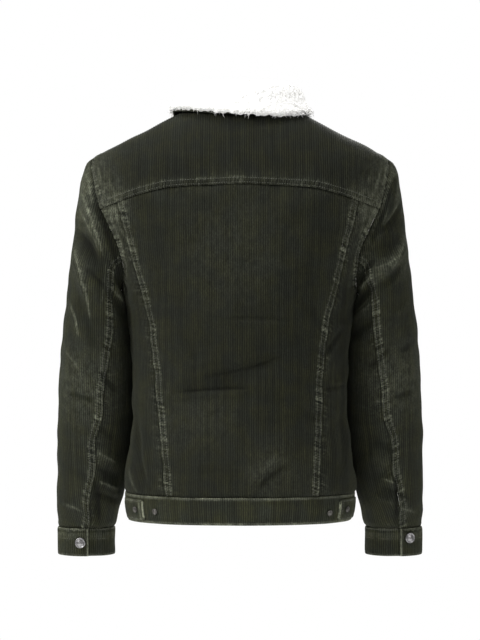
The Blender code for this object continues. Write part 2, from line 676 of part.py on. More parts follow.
def shoulder_seam(side):
    """The shoulder seam from the neck out to the armhole."""
    start = neck_point(SHOULDER_NECK_ANGLE, side)
    end = armhole(SHOULDER_ANGLE, side)
    x = np.linspace(start[0], end[0], SHOULDER_COLUMNS + 1)
    y = np.full_like(x, -SHOULDER_SEAM_FORWARD)
    line = np.stack((x, y, top_z(x, y)), axis=-1)
    line[0], line[-1] = start, end
    return line


# ---------------------------------------------------------------- body pieces

def make_yoke():
    """The back yoke, over the shoulders to the shoulder seams, with the neck cut out."""
    left, right = yoke_corner(+1), yoke_corner(-1)
    arm_left, arm_right = armhole(YOKE_ANGLE, +1), armhole(YOKE_ANGLE, -1)
    bottom = np.concatenate((
        yoke_stretch(arm_right[0], right[0], SIDE_COLUMNS)[:-1],
        yoke_stretch(right[0], left[0], CENTRE_COLUMNS)[:-1],
        yoke_stretch(left[0], arm_left[0], SIDE_COLUMNS)))
    bottom[0], bottom[-1] = arm_right, arm_left
    neck = neck_point(np.linspace(-SHOULDER_NECK_ANGLE, SHOULDER_NECK_ANGLE, NECK_COLUMNS + 1), +1)
    top = np.concatenate((shoulder_seam(-1)[:0:-1], neck, shoulder_seam(+1)[1:]))
    arms = [armhole_stretch(YOKE_ANGLE, SHOULDER_ANGLE, YOKE_ROWS, side) for side in (-1, +1)]
    every = slice(None)
    body_panel("back_yoke", BACK, bottom, top, arms[0], arms[1],
               arm_edges=((-1, 0, every), (+1, -1, every)))


def make_back():
    """The back's centre piece and its two side pieces."""
    seams = {side: long_back_seam(side) for side in (-1, +1)}
    bottom = hem_stretch(seams[-1][0], seams[+1][0], CENTRE_COLUMNS, BACK)
    top = yoke_stretch(seams[-1][-1][0], seams[+1][-1][0], CENTRE_COLUMNS)
    top[0], top[-1] = seams[-1][-1], seams[+1][-1]
    body_panel("back_centre", BACK, bottom, top, seams[-1], seams[+1])
    for side, word in ((+1, "left"), (-1, "right")):
        arm = armhole_stretch(180.0, YOKE_ANGLE, BACK_ARM_ROWS, side)
        outside = np.concatenate((side_seam(side)[:-1], arm))
        bottom = hem_stretch(seams[side][0], outside[0], SIDE_COLUMNS, BACK)
        top = yoke_stretch(seams[side][-1][0], outside[-1][0], SIDE_COLUMNS)
        top[0], top[-1] = seams[side][-1], outside[-1]
        body_panel("back_side_" + word, BACK, bottom, top, seams[side], outside,
                   arm_edges=((side, -1, slice(SIDE_ROWS, None)),))


def front_neck(side):
    """The front's neck edge from its front end to the shoulder seam."""
    angles = np.linspace(FRONT_NECK_ANGLE, SHOULDER_NECK_ANGLE, FRONT_NECK_COLUMNS + 1)
    return neck_point(angles, side)


def make_fronts():
    """The two fronts; the wearer's left one lies on the right one."""
    for side, word in ((+1, "left"), (-1, "right")):
        arm = armhole_stretch(-180.0, SHOULDER_ANGLE, FRONT_ARM_ROWS, side)
        outside = np.concatenate((side_seam(side)[:-1], arm))
        neck = front_neck(side)
        corner_x = -side * FRONT_OVERLAP
        corner_z = neck[0][2] - CORNER_DROP
        corner = np.array((corner_x, face_y(corner_x, corner_z, FRONT), corner_z))
        top = np.concatenate(([corner], neck[:-1], shoulder_seam(side)))
        heights = np.linspace(BAND_TOP, corner_z, SIDE_ROWS + FRONT_ARM_ROWS + 1)
        x = np.full_like(heights, corner_x)
        edge = np.stack((x, face_y(x, heights, FRONT), heights), axis=-1)
        bottom = hem_stretch(edge[0], outside[0], len(top) - 1, FRONT)
        body_panel("front_" + word, FRONT, bottom, top, edge, outside,
                   arm_edges=((side, -1, slice(SIDE_ROWS, None)),),
                   edge_lift=FRONT_LIFT, wearer_side=side)


# ---------------------------------------------------------------- waistband and tabs

def ring_sections(height):
    """A whole level section from the centre front, by the left, with its length."""
    x_back, y_back, _ = section_curve(height, BACK)
    x_front, y_front, _ = section_curve(height, FRONT)
    turn = np.linspace(0, math.pi / 2 + SIDE_REACH, CURVE_POINTS)
    quarter = int(np.searchsorted(turn, math.pi / 2))
    half_x = np.concatenate((x_front[:quarter], x_back[:quarter][::-1]))
    half_y = np.concatenate((y_front[:quarter], y_back[:quarter][::-1]))
    x = np.concatenate((half_x, -half_x[-2::-1]))
    y = np.concatenate((half_y, half_y[-2::-1]))
    return x, y, np.concatenate(([0], np.cumsum(np.hypot(np.diff(x), np.diff(y)))))


BAND_LENGTH = ring_sections(BAND_TOP)[2][-1]


def band_point(u, height, out):
    """Points round the waistband; u runs by the left from the centre front, at its top."""
    x, y, length = ring_sections(height)
    total = length[-1]
    u = u * total / BAND_LENGTH
    turn = np.mod(u, total)
    here = np.stack((np.interp(turn, length, x), np.interp(turn, length, y)), axis=-1)
    step = 0.004
    ahead, behind = np.mod(turn + step, total), np.mod(turn - step, total)
    tangent = np.stack((np.interp(ahead, length, x) - np.interp(behind, length, x),
                        np.interp(ahead, length, y) - np.interp(behind, length, y)), axis=-1)
    normal = unit(np.stack((tangent[..., 1], -tangent[..., 0]), axis=-1))
    at_front = 1 - ease(*LIFT_FADE, np.abs(u - np.where(u > total / 2, total, 0)))
    lift = BAND_LIFT * at_front * np.where(u > total / 2, -1, 1)
    flat = here + normal * (lift + out)[..., None]
    return np.concatenate((flat, np.full(flat.shape[:-1] + (1,), height)), axis=-1)


def make_band():
    """The waistband, a strip whose left end lies on its right end."""
    u = np.linspace(-FRONT_OVERLAP, BAND_LENGTH + FRONT_OVERLAP, BAND_COLUMNS + 1)
    outer, inner = [], []
    for height in (BAND_TOP - SEAM_GAP, (BAND_TOP + BAND_BOTTOM) / 2, BAND_BOTTOM):
        outer.append(band_point(u, height, np.full_like(u, BAND_STAND)))
        inner.append(band_point(u, height, np.full_like(u, BAND_STAND - BAND_CLOTH)))
    vertices, faces = closed_wall(np.array(outer), np.array(inner))
    make_piece("waistband", vertices, faces, CORDUROY)


def band_u(x):
    """Where along the waistband a point of the back lies."""
    height = (BAND_TOP + BAND_BOTTOM) / 2
    xs, ys, length = ring_sections(height)
    back = ys > 0
    order = np.argsort(xs[back])
    along = float(np.interp(x, xs[back][order], length[back][order]))
    return along * BAND_LENGTH / length[-1]


def make_tabs():
    """Two waist tabs that lie on the band and point to the centre back."""
    for tab in TABS:
        side = 1 if tab.side == "left" else -1
        end = band_u(tab.end_x)
        u = end - side * TAB_LENGTH * np.linspace(0, 1, TAB_COLUMNS + 1) ** 2
        taper = np.clip(np.abs(u - end) / TAB_CORNER, 0, 1)
        trim = TAB_CORNER * (1 - np.sqrt(1 - (1 - taper) ** 2)) * TAB_ROUNDING
        outer, inner = [], []
        for share in np.linspace(0, 1, TAB_ROWS + 1):
            heights = TAB_TOP - trim + share * (TAB_BOTTOM - TAB_TOP + 2 * trim)
            rows = []
            for out in (BAND_STAND + CLEAR + TAB_CLOTH, BAND_STAND + CLEAR):
                ring = [band_point(np.array([a]), h, np.array([out]))[0]
                        for a, h in zip(u, heights)]
                rows.append(ring)
            outer.append(rows[0])
            inner.append(rows[1])
        vertices, faces = closed_wall(np.array(outer), np.array(inner))
        make_piece("waist_tab_" + tab.side, vertices, faces, CORDUROY)


# ---------------------------------------------------------------- sleeves and cuffs

def sleeve_tables():
    """Smooth functions of a sleeve's ring columns, from 0 at the armhole to 1."""
    station = namedtuple("Station", Ring._fields + ("share",))
    outer = np.stack((column(SLEEVE, "outer_x"), column(SLEEVE, "outer_z")), axis=-1)
    steps = np.linalg.norm(np.diff(outer, axis=0), axis=-1)
    share = np.concatenate(([0], np.cumsum(steps)))
    rows = [station(*row, s) for row, s in zip(SLEEVE, share / share[-1])]
    return {name: smooth(rows, "share", name) for name in Ring._fields}


SLEEVE_AT = sleeve_tables()


def plain_ring(share, angle):
    """A left sleeve's ring point before it is fitted to the armhole."""
    angle = np.radians(angle)
    outer = np.stack((SLEEVE_AT["outer_x"](share), SLEEVE_AT["outer_z"](share)), axis=-1)
    inner = np.stack((SLEEVE_AT["inner_x"](share), SLEEVE_AT["inner_z"](share)), axis=-1)
    flat = (outer + inner) / 2 + (outer - inner) / 2 * np.cos(angle)[..., None]
    y = SLEEVE_AT["middle_y"](share) + SLEEVE_AT["half_depth"](share) * np.sin(angle)
    return np.stack((flat[..., 0], y, flat[..., 1]), axis=-1)


def sleeve_point(share, angle, side):
    """Points of a sleeve's surface; share 0 is the armhole and 1 the cuff seam."""
    share, angle = np.broadcast_arrays(np.asarray(share, float), np.asarray(angle, float))
    point = plain_ring(share, angle)
    at_seam = armhole(angle, +1) - plain_ring(np.zeros_like(share), angle)
    point = point + at_seam * SLEEVE_AT["armhole"](share)[..., None]
    return point * (side, 1, 1)


def sleeve_normal(share, angle, side):
    """The outward direction of a sleeve's surface."""
    share = np.clip(share, 0.002, 0.998)
    along = sleeve_point(share + 0.002, angle, side) - sleeve_point(share - 0.002, angle, side)
    about = sleeve_point(share, angle + 1, side) - sleeve_point(share, angle - 1, side)
    return unit(np.cross(along, about)) * side


def seam_angle(name):
    """The angle of a long sleeve seam at a height."""
    return smooth(SLEEVE_SEAMS, "height", name)


def sleeve_columns(side):
    """Angles of the sleeve's columns at the armhole, and the two seam columns."""
    front_bottom = np.linspace(-180.0, SHOULDER_ANGLE, FRONT_ARM_ROWS + 1)
    over = np.linspace(SHOULDER_ANGLE, YOKE_ANGLE, YOKE_ROWS + 1)
    back_bottom = np.linspace(YOKE_ANGLE, 180.0, BACK_ARM_ROWS + 1)
    angles = np.concatenate((front_bottom, over[1:], back_bottom[1:]))
    return angles, FRONT_SEAM_AT, FRONT_ARM_ROWS + YOKE_ROWS + BACK_SEAM_AT


def make_sleeve(side, word):
    """A two-piece sleeve that hangs from the armhole to the cuff."""
    start, front_at, back_at = sleeve_columns(side)
    shares = np.linspace(0, 1, SLEEVE_ROWS + 1)
    settle = ease(0, COLUMN_SETTLE, shares)
    angles = np.zeros((len(shares), len(start)))
    for r, share in enumerate(shares):
        height = plain_ring(np.array(share), np.array(100.0))[2]
        back = float(seam_angle(word)(height))
        front = float(seam_angle("front")(height))
        even = np.interp(np.arange(len(start)), (0, front_at, back_at, len(start) - 1),
                         (-180.0, front, back, 180.0))
        angles[r] = (1 - settle[r]) * start + settle[r] * even
    grid = np.broadcast_to(shares[:, None], angles.shape)
    points = sleeve_point(grid, angles, side)
    normals = sleeve_normal(grid, angles, side)
    rise = fold_rise("sleeve_" + word, points, normals)
    rise = rise * ease(*SLEEVE_FOLD_START, grid) * ease(*SLEEVE_FOLD_END, grid)
    points = points + normals * rise[..., None]
    under = np.concatenate((np.arange(back_at, len(start)), np.arange(1, front_at + 1)))
    for name, columns in (("top", np.arange(front_at, back_at + 1)), ("under", under)):
        sleeve_piece(f"sleeve_{name}_{word}", points[:, columns], normals[:, columns], side)


def sleeve_piece(name, points, normals, side):
    """One cloth piece of a sleeve, from a grid of points."""
    outer = pull_in(points)
    inner = outer - normals * CLOTH
    middle, axis = armhole_frame(side)
    outer[0] = points[0] + axis * SEAM_GAP / 2
    outer[0, 0] += unit(points[0, 1] - points[0, 0]) * SEAM_GAP / 2
    outer[0, -1] += unit(points[0, -2] - points[0, -1]) * SEAM_GAP / 2
    inner[0] = outer[0] + unit(middle - outer[0]) * CLOTH
    vertices, faces = closed_wall(outer, inner)
    make_piece(name, vertices, faces, CORDUROY)


def cuff_point(turn, height, out, side):
    """Points round a cuff at an angle, moved out from its ring."""
    share = np.ones_like(turn)
    ring = sleeve_point(share, turn, side)
    normal = sleeve_normal(share, turn, side)
    normal = unit(normal * (1, 1, 0))
    point = ring + normal * out[..., None]
    return np.concatenate((point[..., :2], np.full(point.shape[:-1] + (1,), height)), axis=-1)


def make_cuff(side, word):
    """A cuff that runs round the wrist and tucks its end under its start."""
    start = float(seam_angle(word)(CUFF_TOP))
    overlap = math.degrees(CUFF_OVERLAP / WRIST_RADIUS)
    turn = np.linspace(start, start - 360 - overlap, CUFF_COLUMNS + 1)
    tucked = ease(start - CUFF_TUCK[0], start - CUFF_TUCK[1], turn)
    out = CUFF_LIFT - (BAND_CLOTH + 2 * SEAM_GAP) * tucked
    outer = [cuff_point(turn, h, out, side)
             for h in (CUFF_TOP, (CUFF_TOP + CUFF_BOTTOM) / 2, CUFF_BOTTOM)]
    inner = [cuff_point(turn, h, out - BAND_CLOTH, side)
             for h in (CUFF_TOP, (CUFF_TOP + CUFF_BOTTOM) / 2, CUFF_BOTTOM)]
    vertices, faces = closed_wall(np.array(outer), np.array(inner))
    make_piece("cuff_" + word, vertices, faces, CORDUROY)
    return start


# ---------------------------------------------------------------- collar

def collar_stations():
    """Neck seam points round the collar, from its right end by the back to its left."""
    rows = []
    for side in (-1, +1):
        angles = np.linspace(FRONT_NECK_ANGLE, SHOULDER_NECK_ANGLE, FRONT_NECK_COLUMNS + 1)
        points = neck_point(angles, side)
        u, v = BODY[FRONT].find(points)
        normals = BODY[FRONT].normal(u, v)
        rows.append((side * angles, body_place(points, normals, FRONT_LIFT, side)))
    back = np.linspace(-SHOULDER_NECK_ANGLE, SHOULDER_NECK_ANGLE, NECK_COLUMNS + 1)
    angles = np.concatenate((rows[0][0], back[1:-1], rows[1][0][::-1]))
    points = np.concatenate((rows[0][1], neck_point(back[1:-1], +1), rows[1][1][::-1]))
    return angles, points


def collar_grid():
    """The face between the two layers of the collar, with its outward directions."""
    angles, base = collar_stations()
    turn = np.radians(angles)
    level = np.where(np.cos(turn) > 0, NECK_BACK, NECK_FRONT)
    outward = unit(np.stack((np.sin(turn) / NECK_HALF_WIDTH, np.cos(turn) / level,
                             np.zeros_like(turn)), axis=-1))
    forward = np.stack((-outward[:, 1], outward[:, 0], np.zeros_like(turn)), axis=-1)
    to_back = forward * np.sign(angles)[:, None]
    at_back = np.where(np.cos(turn) > 0, np.cos(turn) ** 2, 0)
    at_front = np.where(np.cos(turn) < 0, np.cos(turn) ** 2, 0)
    at_side = np.sin(turn) ** 2
    near_end = ease(*COLLAR_SWEEP, np.abs(angles))
    points = np.zeros((len(COLLAR), len(angles), 3))
    outs, ups = [], []
    for row in COLLAR:
        outs.append(row.back_out * at_back + row.side_out * at_side + row.front_out * at_front)
        ups.append(row.back_up * at_back + row.side_up * at_side + row.front_up * at_front)
    for k, row in enumerate(COLLAR):
        fall = max(k / (len(COLLAR) - 1) - 0.5, 0) * 2
        points[k] = base + outward * outs[k][:, None] + to_back * (row.sweep * near_end)[:, None]
        points[k, :, 2] += ups[k] - COLLAR_LEAN * np.maximum(-np.sin(turn), 0) * fall
        if k > len(COLLAR) // 2:
            points[k] = clear_of_body(points[k])
    across = np.cross(np.gradient(points, axis=1), np.gradient(points, axis=0))
    return points, unit(across)


def body_reach(points):
    """How far out points lie from the body's upright middle, as a share of its surface."""
    x, y, z = points[..., 0], points[..., 1], points[..., 2]
    power = roundness(z)
    reach = (np.abs(x) / half_width(z)) ** power
    reach += (np.abs(y) / depth(z, np.sign(y) + 0.5)) ** power
    return reach ** (1 / power)


def clear_of_body(points, step=0.0005, rounds=8):
    """Points moved square off the body's surface, where they lie too close to it."""
    for _ in range(rounds):
        here = body_reach(points)
        slope = np.stack([body_reach(points + step * axis) - body_reach(points - step * axis)
                          for axis in np.eye(3)], axis=-1) / (2 * step)
        size = np.linalg.norm(slope, axis=-1)
        short = np.maximum(COLLAR_CLEAR - (here - 1) / size, 0)
        points = points + slope * (short / size)[..., None]
    return points


def make_collar():
    """The collar: a corduroy under side and a pile side that folds over it."""
    points, across = collar_grid()
    under = closed_wall(points, points - across * COLLAR_CLOTH)
    make_piece("undercollar", *under, CORDUROY)
    lower = points + across * SEAM_GAP
    over = lower + across * PILE
    make_piece("collar", *closed_wall(over, lower), FLEECE)


# ---------------------------------------------------------------- buttons

def make_button(name, place, outward, size):
    """A round metal button with a raised rim and a domed middle, on the cloth."""
    turns = np.linspace(0, 2 * math.pi, BUTTON_SIDES, endpoint=False)
    vertices = [(math.cos(a) * out * size.radius, math.sin(a) * out * size.radius,
                 up * size.height) for out, up in BUTTON_PROFILE for a in turns]
    vertices += [(0, 0, 0), (0, 0, size.height)]
    bottom, top = len(vertices) - 2, len(vertices) - 1
    last = (len(BUTTON_PROFILE) - 1) * BUTTON_SIDES
    faces = []
    for c in range(BUTTON_SIDES):
        d = (c + 1) % BUTTON_SIDES
        for a in range(0, last, BUTTON_SIDES):
            b = a + BUTTON_SIDES
            faces.append((a + c, a + d, b + d, b + c))
        faces.append((bottom, d, c))
        faces.append((top, last + c, last + d))
    piece = make_piece(name, vertices, faces, METAL)
    turn = Vector(outward).to_track_quat("Z", "Y").to_matrix().to_4x4()
    piece.matrix_world = Matrix.Translation(Vector(place)) @ turn
    return piece


def make_buttons():
    """Front, waistband and tab buttons."""
    size = SMALL_BUTTON
    for count, height in enumerate(FRONT_BUTTON_HEIGHTS, 1):
        point = np.array((0.0, face_y(0.0, height, FRONT), height))
        u, v = BODY[FRONT].find(point[None])
        normal = BODY[FRONT].normal(u, v)[0]
        place = point + normal * (FRONT_LIFT + CLEAR + SEAM_GAP)
        make_button(f"front_button_{count}", place, normal, SHANK_BUTTON)
    front = band_point(np.array([0.0]), BAND_BUTTON_HEIGHT, np.array([BAND_STAND + CLEAR]))[0]
    make_button("waistband_button", front, (0, -1, 0), SHANK_BUTTON)
    for tab in TABS:
        side = 1 if tab.side == "left" else -1
        lift = BAND_STAND + CLEAR
        spots = (("tab_button_", tab.button_x, BAND_BUTTON_HEIGHT, lift + TAB_CLOTH + CLEAR),
                 ("spare_button_", tab.spare_x, tab.spare_z, lift))
        for word, x, height, out in spots:
            u = np.array([band_u(x)])
            place = band_point(u, height, np.array([out]))[0]
            ahead = band_point(u + size.radius, height, np.array([out]))[0]
            behind = band_point(u - size.radius, height, np.array([out]))[0]
            run = ahead - behind
            make_button(word + tab.side, place, (run[1], -run[0], 0), size)


def make_cuff_button(button, side, start):
    """The button that closes a cuff, through the overlap."""
    turn = np.array([start - math.degrees(button.from_edge / WRIST_RADIUS)])
    place = cuff_point(turn, button.height, np.array([CUFF_LIFT + CLEAR]), side)[0]
    normal = sleeve_normal(np.ones(1), turn, side)[0] * (1, 1, 0)
    make_button("cuff_button_" + button.side, place, normal, SHANK_BUTTON)


# ---------------------------------------------------------------- the jacket

def main():
    """Build every piece of the jacket."""
    for old in list(bpy.data.objects):
        bpy.data.objects.remove(old)
    make_yoke()
    make_back()
    make_fronts()
    for side, button in zip((+1, -1), CUFF_BUTTONS):
        make_sleeve(side, button.side)
        start = make_cuff(side, button.side)
        make_cuff_button(button, side, start)
    make_band()
    make_tabs()
    make_collar()
    make_buttons()


main()
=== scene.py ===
"""Corduroy trucker jacket with a pile collar: its cloth, stitching and buttons.

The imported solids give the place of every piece.  The wearer's back is +Y and the wearer's
left is +X, in metres.  Each cloth piece is cut flat on a chart: u runs across its wales and
v along them.  The chart says where a place of the flat cut lies on the worn jacket.
"""

from __future__ import annotations

import json
import logging
import math
from abc import ABC, abstractmethod
from dataclasses import dataclass, field, replace
from enum import Enum
from typing import NamedTuple, Sequence, Union

import bpy
import numpy as np
from mathutils import Vector
from mathutils.geometry import delaunay_2d_cdt
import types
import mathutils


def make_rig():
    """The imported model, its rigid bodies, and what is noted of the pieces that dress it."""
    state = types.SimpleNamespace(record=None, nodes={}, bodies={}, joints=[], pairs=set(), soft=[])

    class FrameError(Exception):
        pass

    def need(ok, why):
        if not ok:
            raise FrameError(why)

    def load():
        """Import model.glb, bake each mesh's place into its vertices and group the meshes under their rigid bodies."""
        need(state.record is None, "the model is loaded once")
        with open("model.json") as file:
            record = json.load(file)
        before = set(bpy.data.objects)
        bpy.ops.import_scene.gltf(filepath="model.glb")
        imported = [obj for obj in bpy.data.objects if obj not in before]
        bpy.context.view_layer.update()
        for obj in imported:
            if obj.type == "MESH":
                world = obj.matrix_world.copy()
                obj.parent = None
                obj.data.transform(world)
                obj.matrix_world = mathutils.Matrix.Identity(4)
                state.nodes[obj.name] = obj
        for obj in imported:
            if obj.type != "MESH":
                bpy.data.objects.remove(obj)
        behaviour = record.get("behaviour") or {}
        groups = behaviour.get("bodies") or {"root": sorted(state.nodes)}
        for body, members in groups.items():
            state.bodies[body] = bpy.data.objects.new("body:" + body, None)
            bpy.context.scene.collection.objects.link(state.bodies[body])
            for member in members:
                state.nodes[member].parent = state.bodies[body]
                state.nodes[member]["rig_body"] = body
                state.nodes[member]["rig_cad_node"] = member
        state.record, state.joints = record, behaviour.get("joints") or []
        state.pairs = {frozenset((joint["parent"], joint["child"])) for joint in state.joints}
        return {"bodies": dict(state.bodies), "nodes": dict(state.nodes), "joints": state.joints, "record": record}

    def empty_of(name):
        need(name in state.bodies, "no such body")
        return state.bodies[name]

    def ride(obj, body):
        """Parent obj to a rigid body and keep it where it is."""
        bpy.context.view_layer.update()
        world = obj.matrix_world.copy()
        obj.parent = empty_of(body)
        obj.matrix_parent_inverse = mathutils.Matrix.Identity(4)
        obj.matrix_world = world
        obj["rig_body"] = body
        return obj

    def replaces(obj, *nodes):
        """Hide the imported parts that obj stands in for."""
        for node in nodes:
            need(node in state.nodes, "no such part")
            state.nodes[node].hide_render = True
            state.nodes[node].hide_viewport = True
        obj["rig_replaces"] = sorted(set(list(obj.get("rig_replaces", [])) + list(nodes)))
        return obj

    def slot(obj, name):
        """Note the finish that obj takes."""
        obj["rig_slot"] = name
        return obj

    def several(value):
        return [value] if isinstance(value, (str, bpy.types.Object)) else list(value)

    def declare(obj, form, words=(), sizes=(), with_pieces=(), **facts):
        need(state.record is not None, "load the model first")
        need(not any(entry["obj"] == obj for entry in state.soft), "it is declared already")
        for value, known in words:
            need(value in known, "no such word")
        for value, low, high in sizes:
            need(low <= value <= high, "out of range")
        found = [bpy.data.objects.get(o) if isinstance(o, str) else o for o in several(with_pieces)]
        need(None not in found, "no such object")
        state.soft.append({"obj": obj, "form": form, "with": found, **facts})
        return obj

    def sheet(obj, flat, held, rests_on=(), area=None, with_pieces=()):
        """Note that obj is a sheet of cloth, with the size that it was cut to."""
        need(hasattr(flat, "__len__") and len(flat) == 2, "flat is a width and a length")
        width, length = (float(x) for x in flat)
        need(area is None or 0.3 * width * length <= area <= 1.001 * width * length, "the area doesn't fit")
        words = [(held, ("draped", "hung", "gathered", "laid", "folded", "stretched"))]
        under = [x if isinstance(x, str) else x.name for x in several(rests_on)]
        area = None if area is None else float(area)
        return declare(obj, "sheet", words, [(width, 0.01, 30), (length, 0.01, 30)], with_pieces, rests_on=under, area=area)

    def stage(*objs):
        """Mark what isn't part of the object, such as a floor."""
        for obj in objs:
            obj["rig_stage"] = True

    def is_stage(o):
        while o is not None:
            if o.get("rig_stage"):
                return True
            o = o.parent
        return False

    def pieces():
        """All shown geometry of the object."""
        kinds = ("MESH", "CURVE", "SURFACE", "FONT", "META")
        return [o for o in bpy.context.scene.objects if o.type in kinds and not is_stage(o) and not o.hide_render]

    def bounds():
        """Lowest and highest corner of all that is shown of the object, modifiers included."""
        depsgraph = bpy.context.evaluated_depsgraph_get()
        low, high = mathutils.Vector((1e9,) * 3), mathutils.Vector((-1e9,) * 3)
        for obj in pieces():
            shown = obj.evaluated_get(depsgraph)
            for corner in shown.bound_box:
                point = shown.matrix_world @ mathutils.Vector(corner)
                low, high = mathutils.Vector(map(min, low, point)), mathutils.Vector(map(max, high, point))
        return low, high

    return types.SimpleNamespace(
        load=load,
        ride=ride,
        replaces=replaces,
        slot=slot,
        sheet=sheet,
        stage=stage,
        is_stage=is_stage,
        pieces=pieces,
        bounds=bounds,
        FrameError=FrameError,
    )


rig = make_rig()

LOG = logging.getLogger("jacket")
Array = np.ndarray

# ---------------------------------------------------------------- sizes shared with the solids

CLOTH = 0.0030
BAND_CLOTH = 0.0042
TAB_CLOTH = 0.0026
COLLAR_CLOTH = 0.0024
PILE = 0.0080
SEAM_GAP = 0.0003
CLEAR = 0.0004

YOKE_BEND = -0.145
SHEET_STEP = 0.005
SHEET_REACH = 0.345
SHEET_TOP = 0.290
SHEET_BOTTOM = -0.665
CURVE_POINTS = 900
SIDE_REACH = 0.6
SLICE_BOTTOM = -0.095
WIDEST_SLICE = 0.0015

BAND_TOP = -0.6022
BAND_BOTTOM = -0.6445
FRONT_OVERLAP = 0.018
FRONT_LIFT = 0.0019
BAND_LIFT = 0.0026
BAND_STAND = 0.0006
LIFT_FADE = (0.024, 0.062)

ARMHOLE_MIDDLE = -0.178
ARMHOLE_HALF_HEIGHT = 0.112
ARMHOLE_HALF_DEPTH = 0.078
SHOULDER_SEAM_FORWARD = 0.028
ARMHOLE_LOWEST_YOKE = 150.0

NECK_HALF_WIDTH = 0.085
NECK_BACK = 0.072
NECK_FRONT = 0.092
COLLAR_CLEAR = 0.0042
COLLAR_END = 0.010
COLLAR_LEAN = 0.004
COLLAR_SWEEP = (118, 172)
CORNER_DROP = 0.009
FRONT_NECK_COLUMNS = 6
NECK_COLUMNS = 14
NECK_LIP = 0.0040                   # how far the pile hangs down over the neck seam inside

CUFF_TOP = -0.6630
CUFF_BOTTOM = -0.7070
CUFF_OVERLAP = 0.026
CUFF_LIFT = 0.0010
CUFF_TUCK = (320, 356)
COLUMN_SETTLE = 0.30

# ---------------------------------------------------------------- sizes of the cloth and sewing

WALE = 0.0036                       # from one rib of the corduroy to the next
WALE_PHASES = (0.0, 0.27, 0.73)
WALE_CREST = 0.00025                # how far the ribs stand over the solid's face
WALE_DEPTH = 0.00095                # from the crest of a rib to the groove
ROW = 0.0019                        # spacing of points along a rib beside a seam
ROWS_APART = 4                      # elsewhere only each so many rows is kept
NEAR_SEAM = 0.0130
NEAR_FOLD = 2.2                     # widths of a crease within which rows stay close
EDGE_STEP = 0.0021
FINE_STEP = 0.0002                  # the step at which crossings with the ribs are looked for
GUIDE_STEP = 0.008                  # spacing of the points that distances are measured from
SEWN_STEP = 0.0012                  # spacing of the points that a row of stitches follows
SEWN_CLEAR = 0.0012                 # how far a row keeps from the other edges
MARK_GAP = 0.00028                  # the least step between points of an edge
CLOSEST = 0.00018                   # points of the outline closer than this are one
OUTLINE_GAP = 0.0004                # how far the inner points keep from the outline
THIN_RIM = 0.0013                   # thickness of the cloth at lapped and tucked edges
LINING_MARGIN = 0.006
PILE_ROUNDING = 0.0065              # how wide the pile's edge is rounded
LINING_STEP = 0.009
LINING_CLEAR = 0.0006               # how much deeper than the cut edge it lies elsewhere
LINING_SINK = 0.0030                # how much deeper the lining lies under folds
LAP = 0.0009                        # how far a lapped edge reaches over its neighbour
WELT = 0.0105                       # width of a lapped seam's raised strip
WELT_RISE = 0.0008
TUCK = 0.0016                       # how far a tucked edge sinks under its neighbour
FLAT_CDT = 0.15                     # squeeze along the ribs that keeps triangles on them

# ---------------------------------------------------------------- tables, metres


def table(kind: type, *rows: tuple[float, ...]) -> tuple:
    """A table whose rows are all of one kind."""
    return tuple(kind(*row) for row in rows)


class Section(NamedTuple):
    """A level section through the body."""
    height: float
    half_width: float
    back: float
    front: float
    roundness: float


TORSO = table(
    Section,
    (0.052, 0.002, 0.01, 0.004, 2.0), (0.03, 0.042, 0.044, 0.014, 2.0),
    (0.008, 0.085, 0.069, 0.026, 2.05), (-0.01, 0.12, 0.084, 0.042, 2.1),
    (-0.04, 0.178, 0.103, 0.066, 2.2), (-0.06, 0.2165, 0.112, 0.081, 2.3),
    (-0.075, 0.2365, 0.1175, 0.092, 2.45), (-0.095, 0.243, 0.1225, 0.103, 2.65),
    (-0.118, 0.243, 0.127, 0.114, 2.75), (-0.145, 0.24, 0.131, 0.124, 2.75),
    (-0.18, 0.227, 0.1335, 0.132, 2.65), (-0.22, 0.2065, 0.134, 0.137, 2.5),
    (-0.26, 0.1915, 0.133, 0.139, 2.4), (-0.29, 0.185, 0.131, 0.138, 2.35),
    (-0.33, 0.1795, 0.128, 0.136, 2.3), (-0.4, 0.1725, 0.124, 0.133, 2.3),
    (-0.47, 0.1715, 0.122, 0.131, 2.3), (-0.53, 0.177, 0.125, 0.132, 2.35),
    (-0.57, 0.183, 0.1285, 0.134, 2.4), (-0.592, 0.1855, 0.13, 0.135, 2.4),
    (-0.604, 0.1835, 0.1275, 0.132, 2.4), (-0.624, 0.1815, 0.126, 0.131, 2.4),
    (-0.645, 0.1775, 0.124, 0.1295, 2.4), (-0.66, 0.176, 0.123, 0.129, 2.4),
)


class SeamPoint(NamedTuple):
    """A point of a seam that is the same on both sides."""
    across: float
    height: float


YOKE_SEAM = table(
    SeamPoint,
    (0.0, -0.117), (0.06, -0.1198), (0.11, -0.1225), (0.15, -0.1315), (0.19, -0.144),
    (0.24, -0.161),
)

# The fronts' seams, which the solids don't have: a level one and a long one below it
CHEST_SEAM = (SeamPoint(0.0150, -0.1820), SeamPoint(0.2350, -0.1600))
LONG_FRONT_SEAM = (SeamPoint(0.1120, -0.1735), SeamPoint(0.0640, -0.6022))


class BackSeamPoint(NamedTuple):
    """How far out the two long back seams lie at a height."""
    height: float
    left: float
    right: float


BACK_SEAMS = table(
    BackSeamPoint,
    (-0.13, 0.194, 0.1865), (-0.144, 0.19, 0.183), (-0.193, 0.177, 0.171), (-0.236, 0.166, 0.161),
    (-0.29, 0.1505, 0.1475), (-0.34, 0.14, 0.1365), (-0.405, 0.133, 0.1285),
    (-0.456, 0.128, 0.127), (-0.506, 0.123, 0.1255), (-0.557, 0.118, 0.1235),
    (-0.604, 0.1143, 0.1203),
)


class Ring(NamedTuple):
    """A ring of the left sleeve through its outer and its inner point."""
    outer_x: float
    outer_z: float
    inner_x: float
    inner_z: float
    half_depth: float
    middle_y: float
    armhole: float


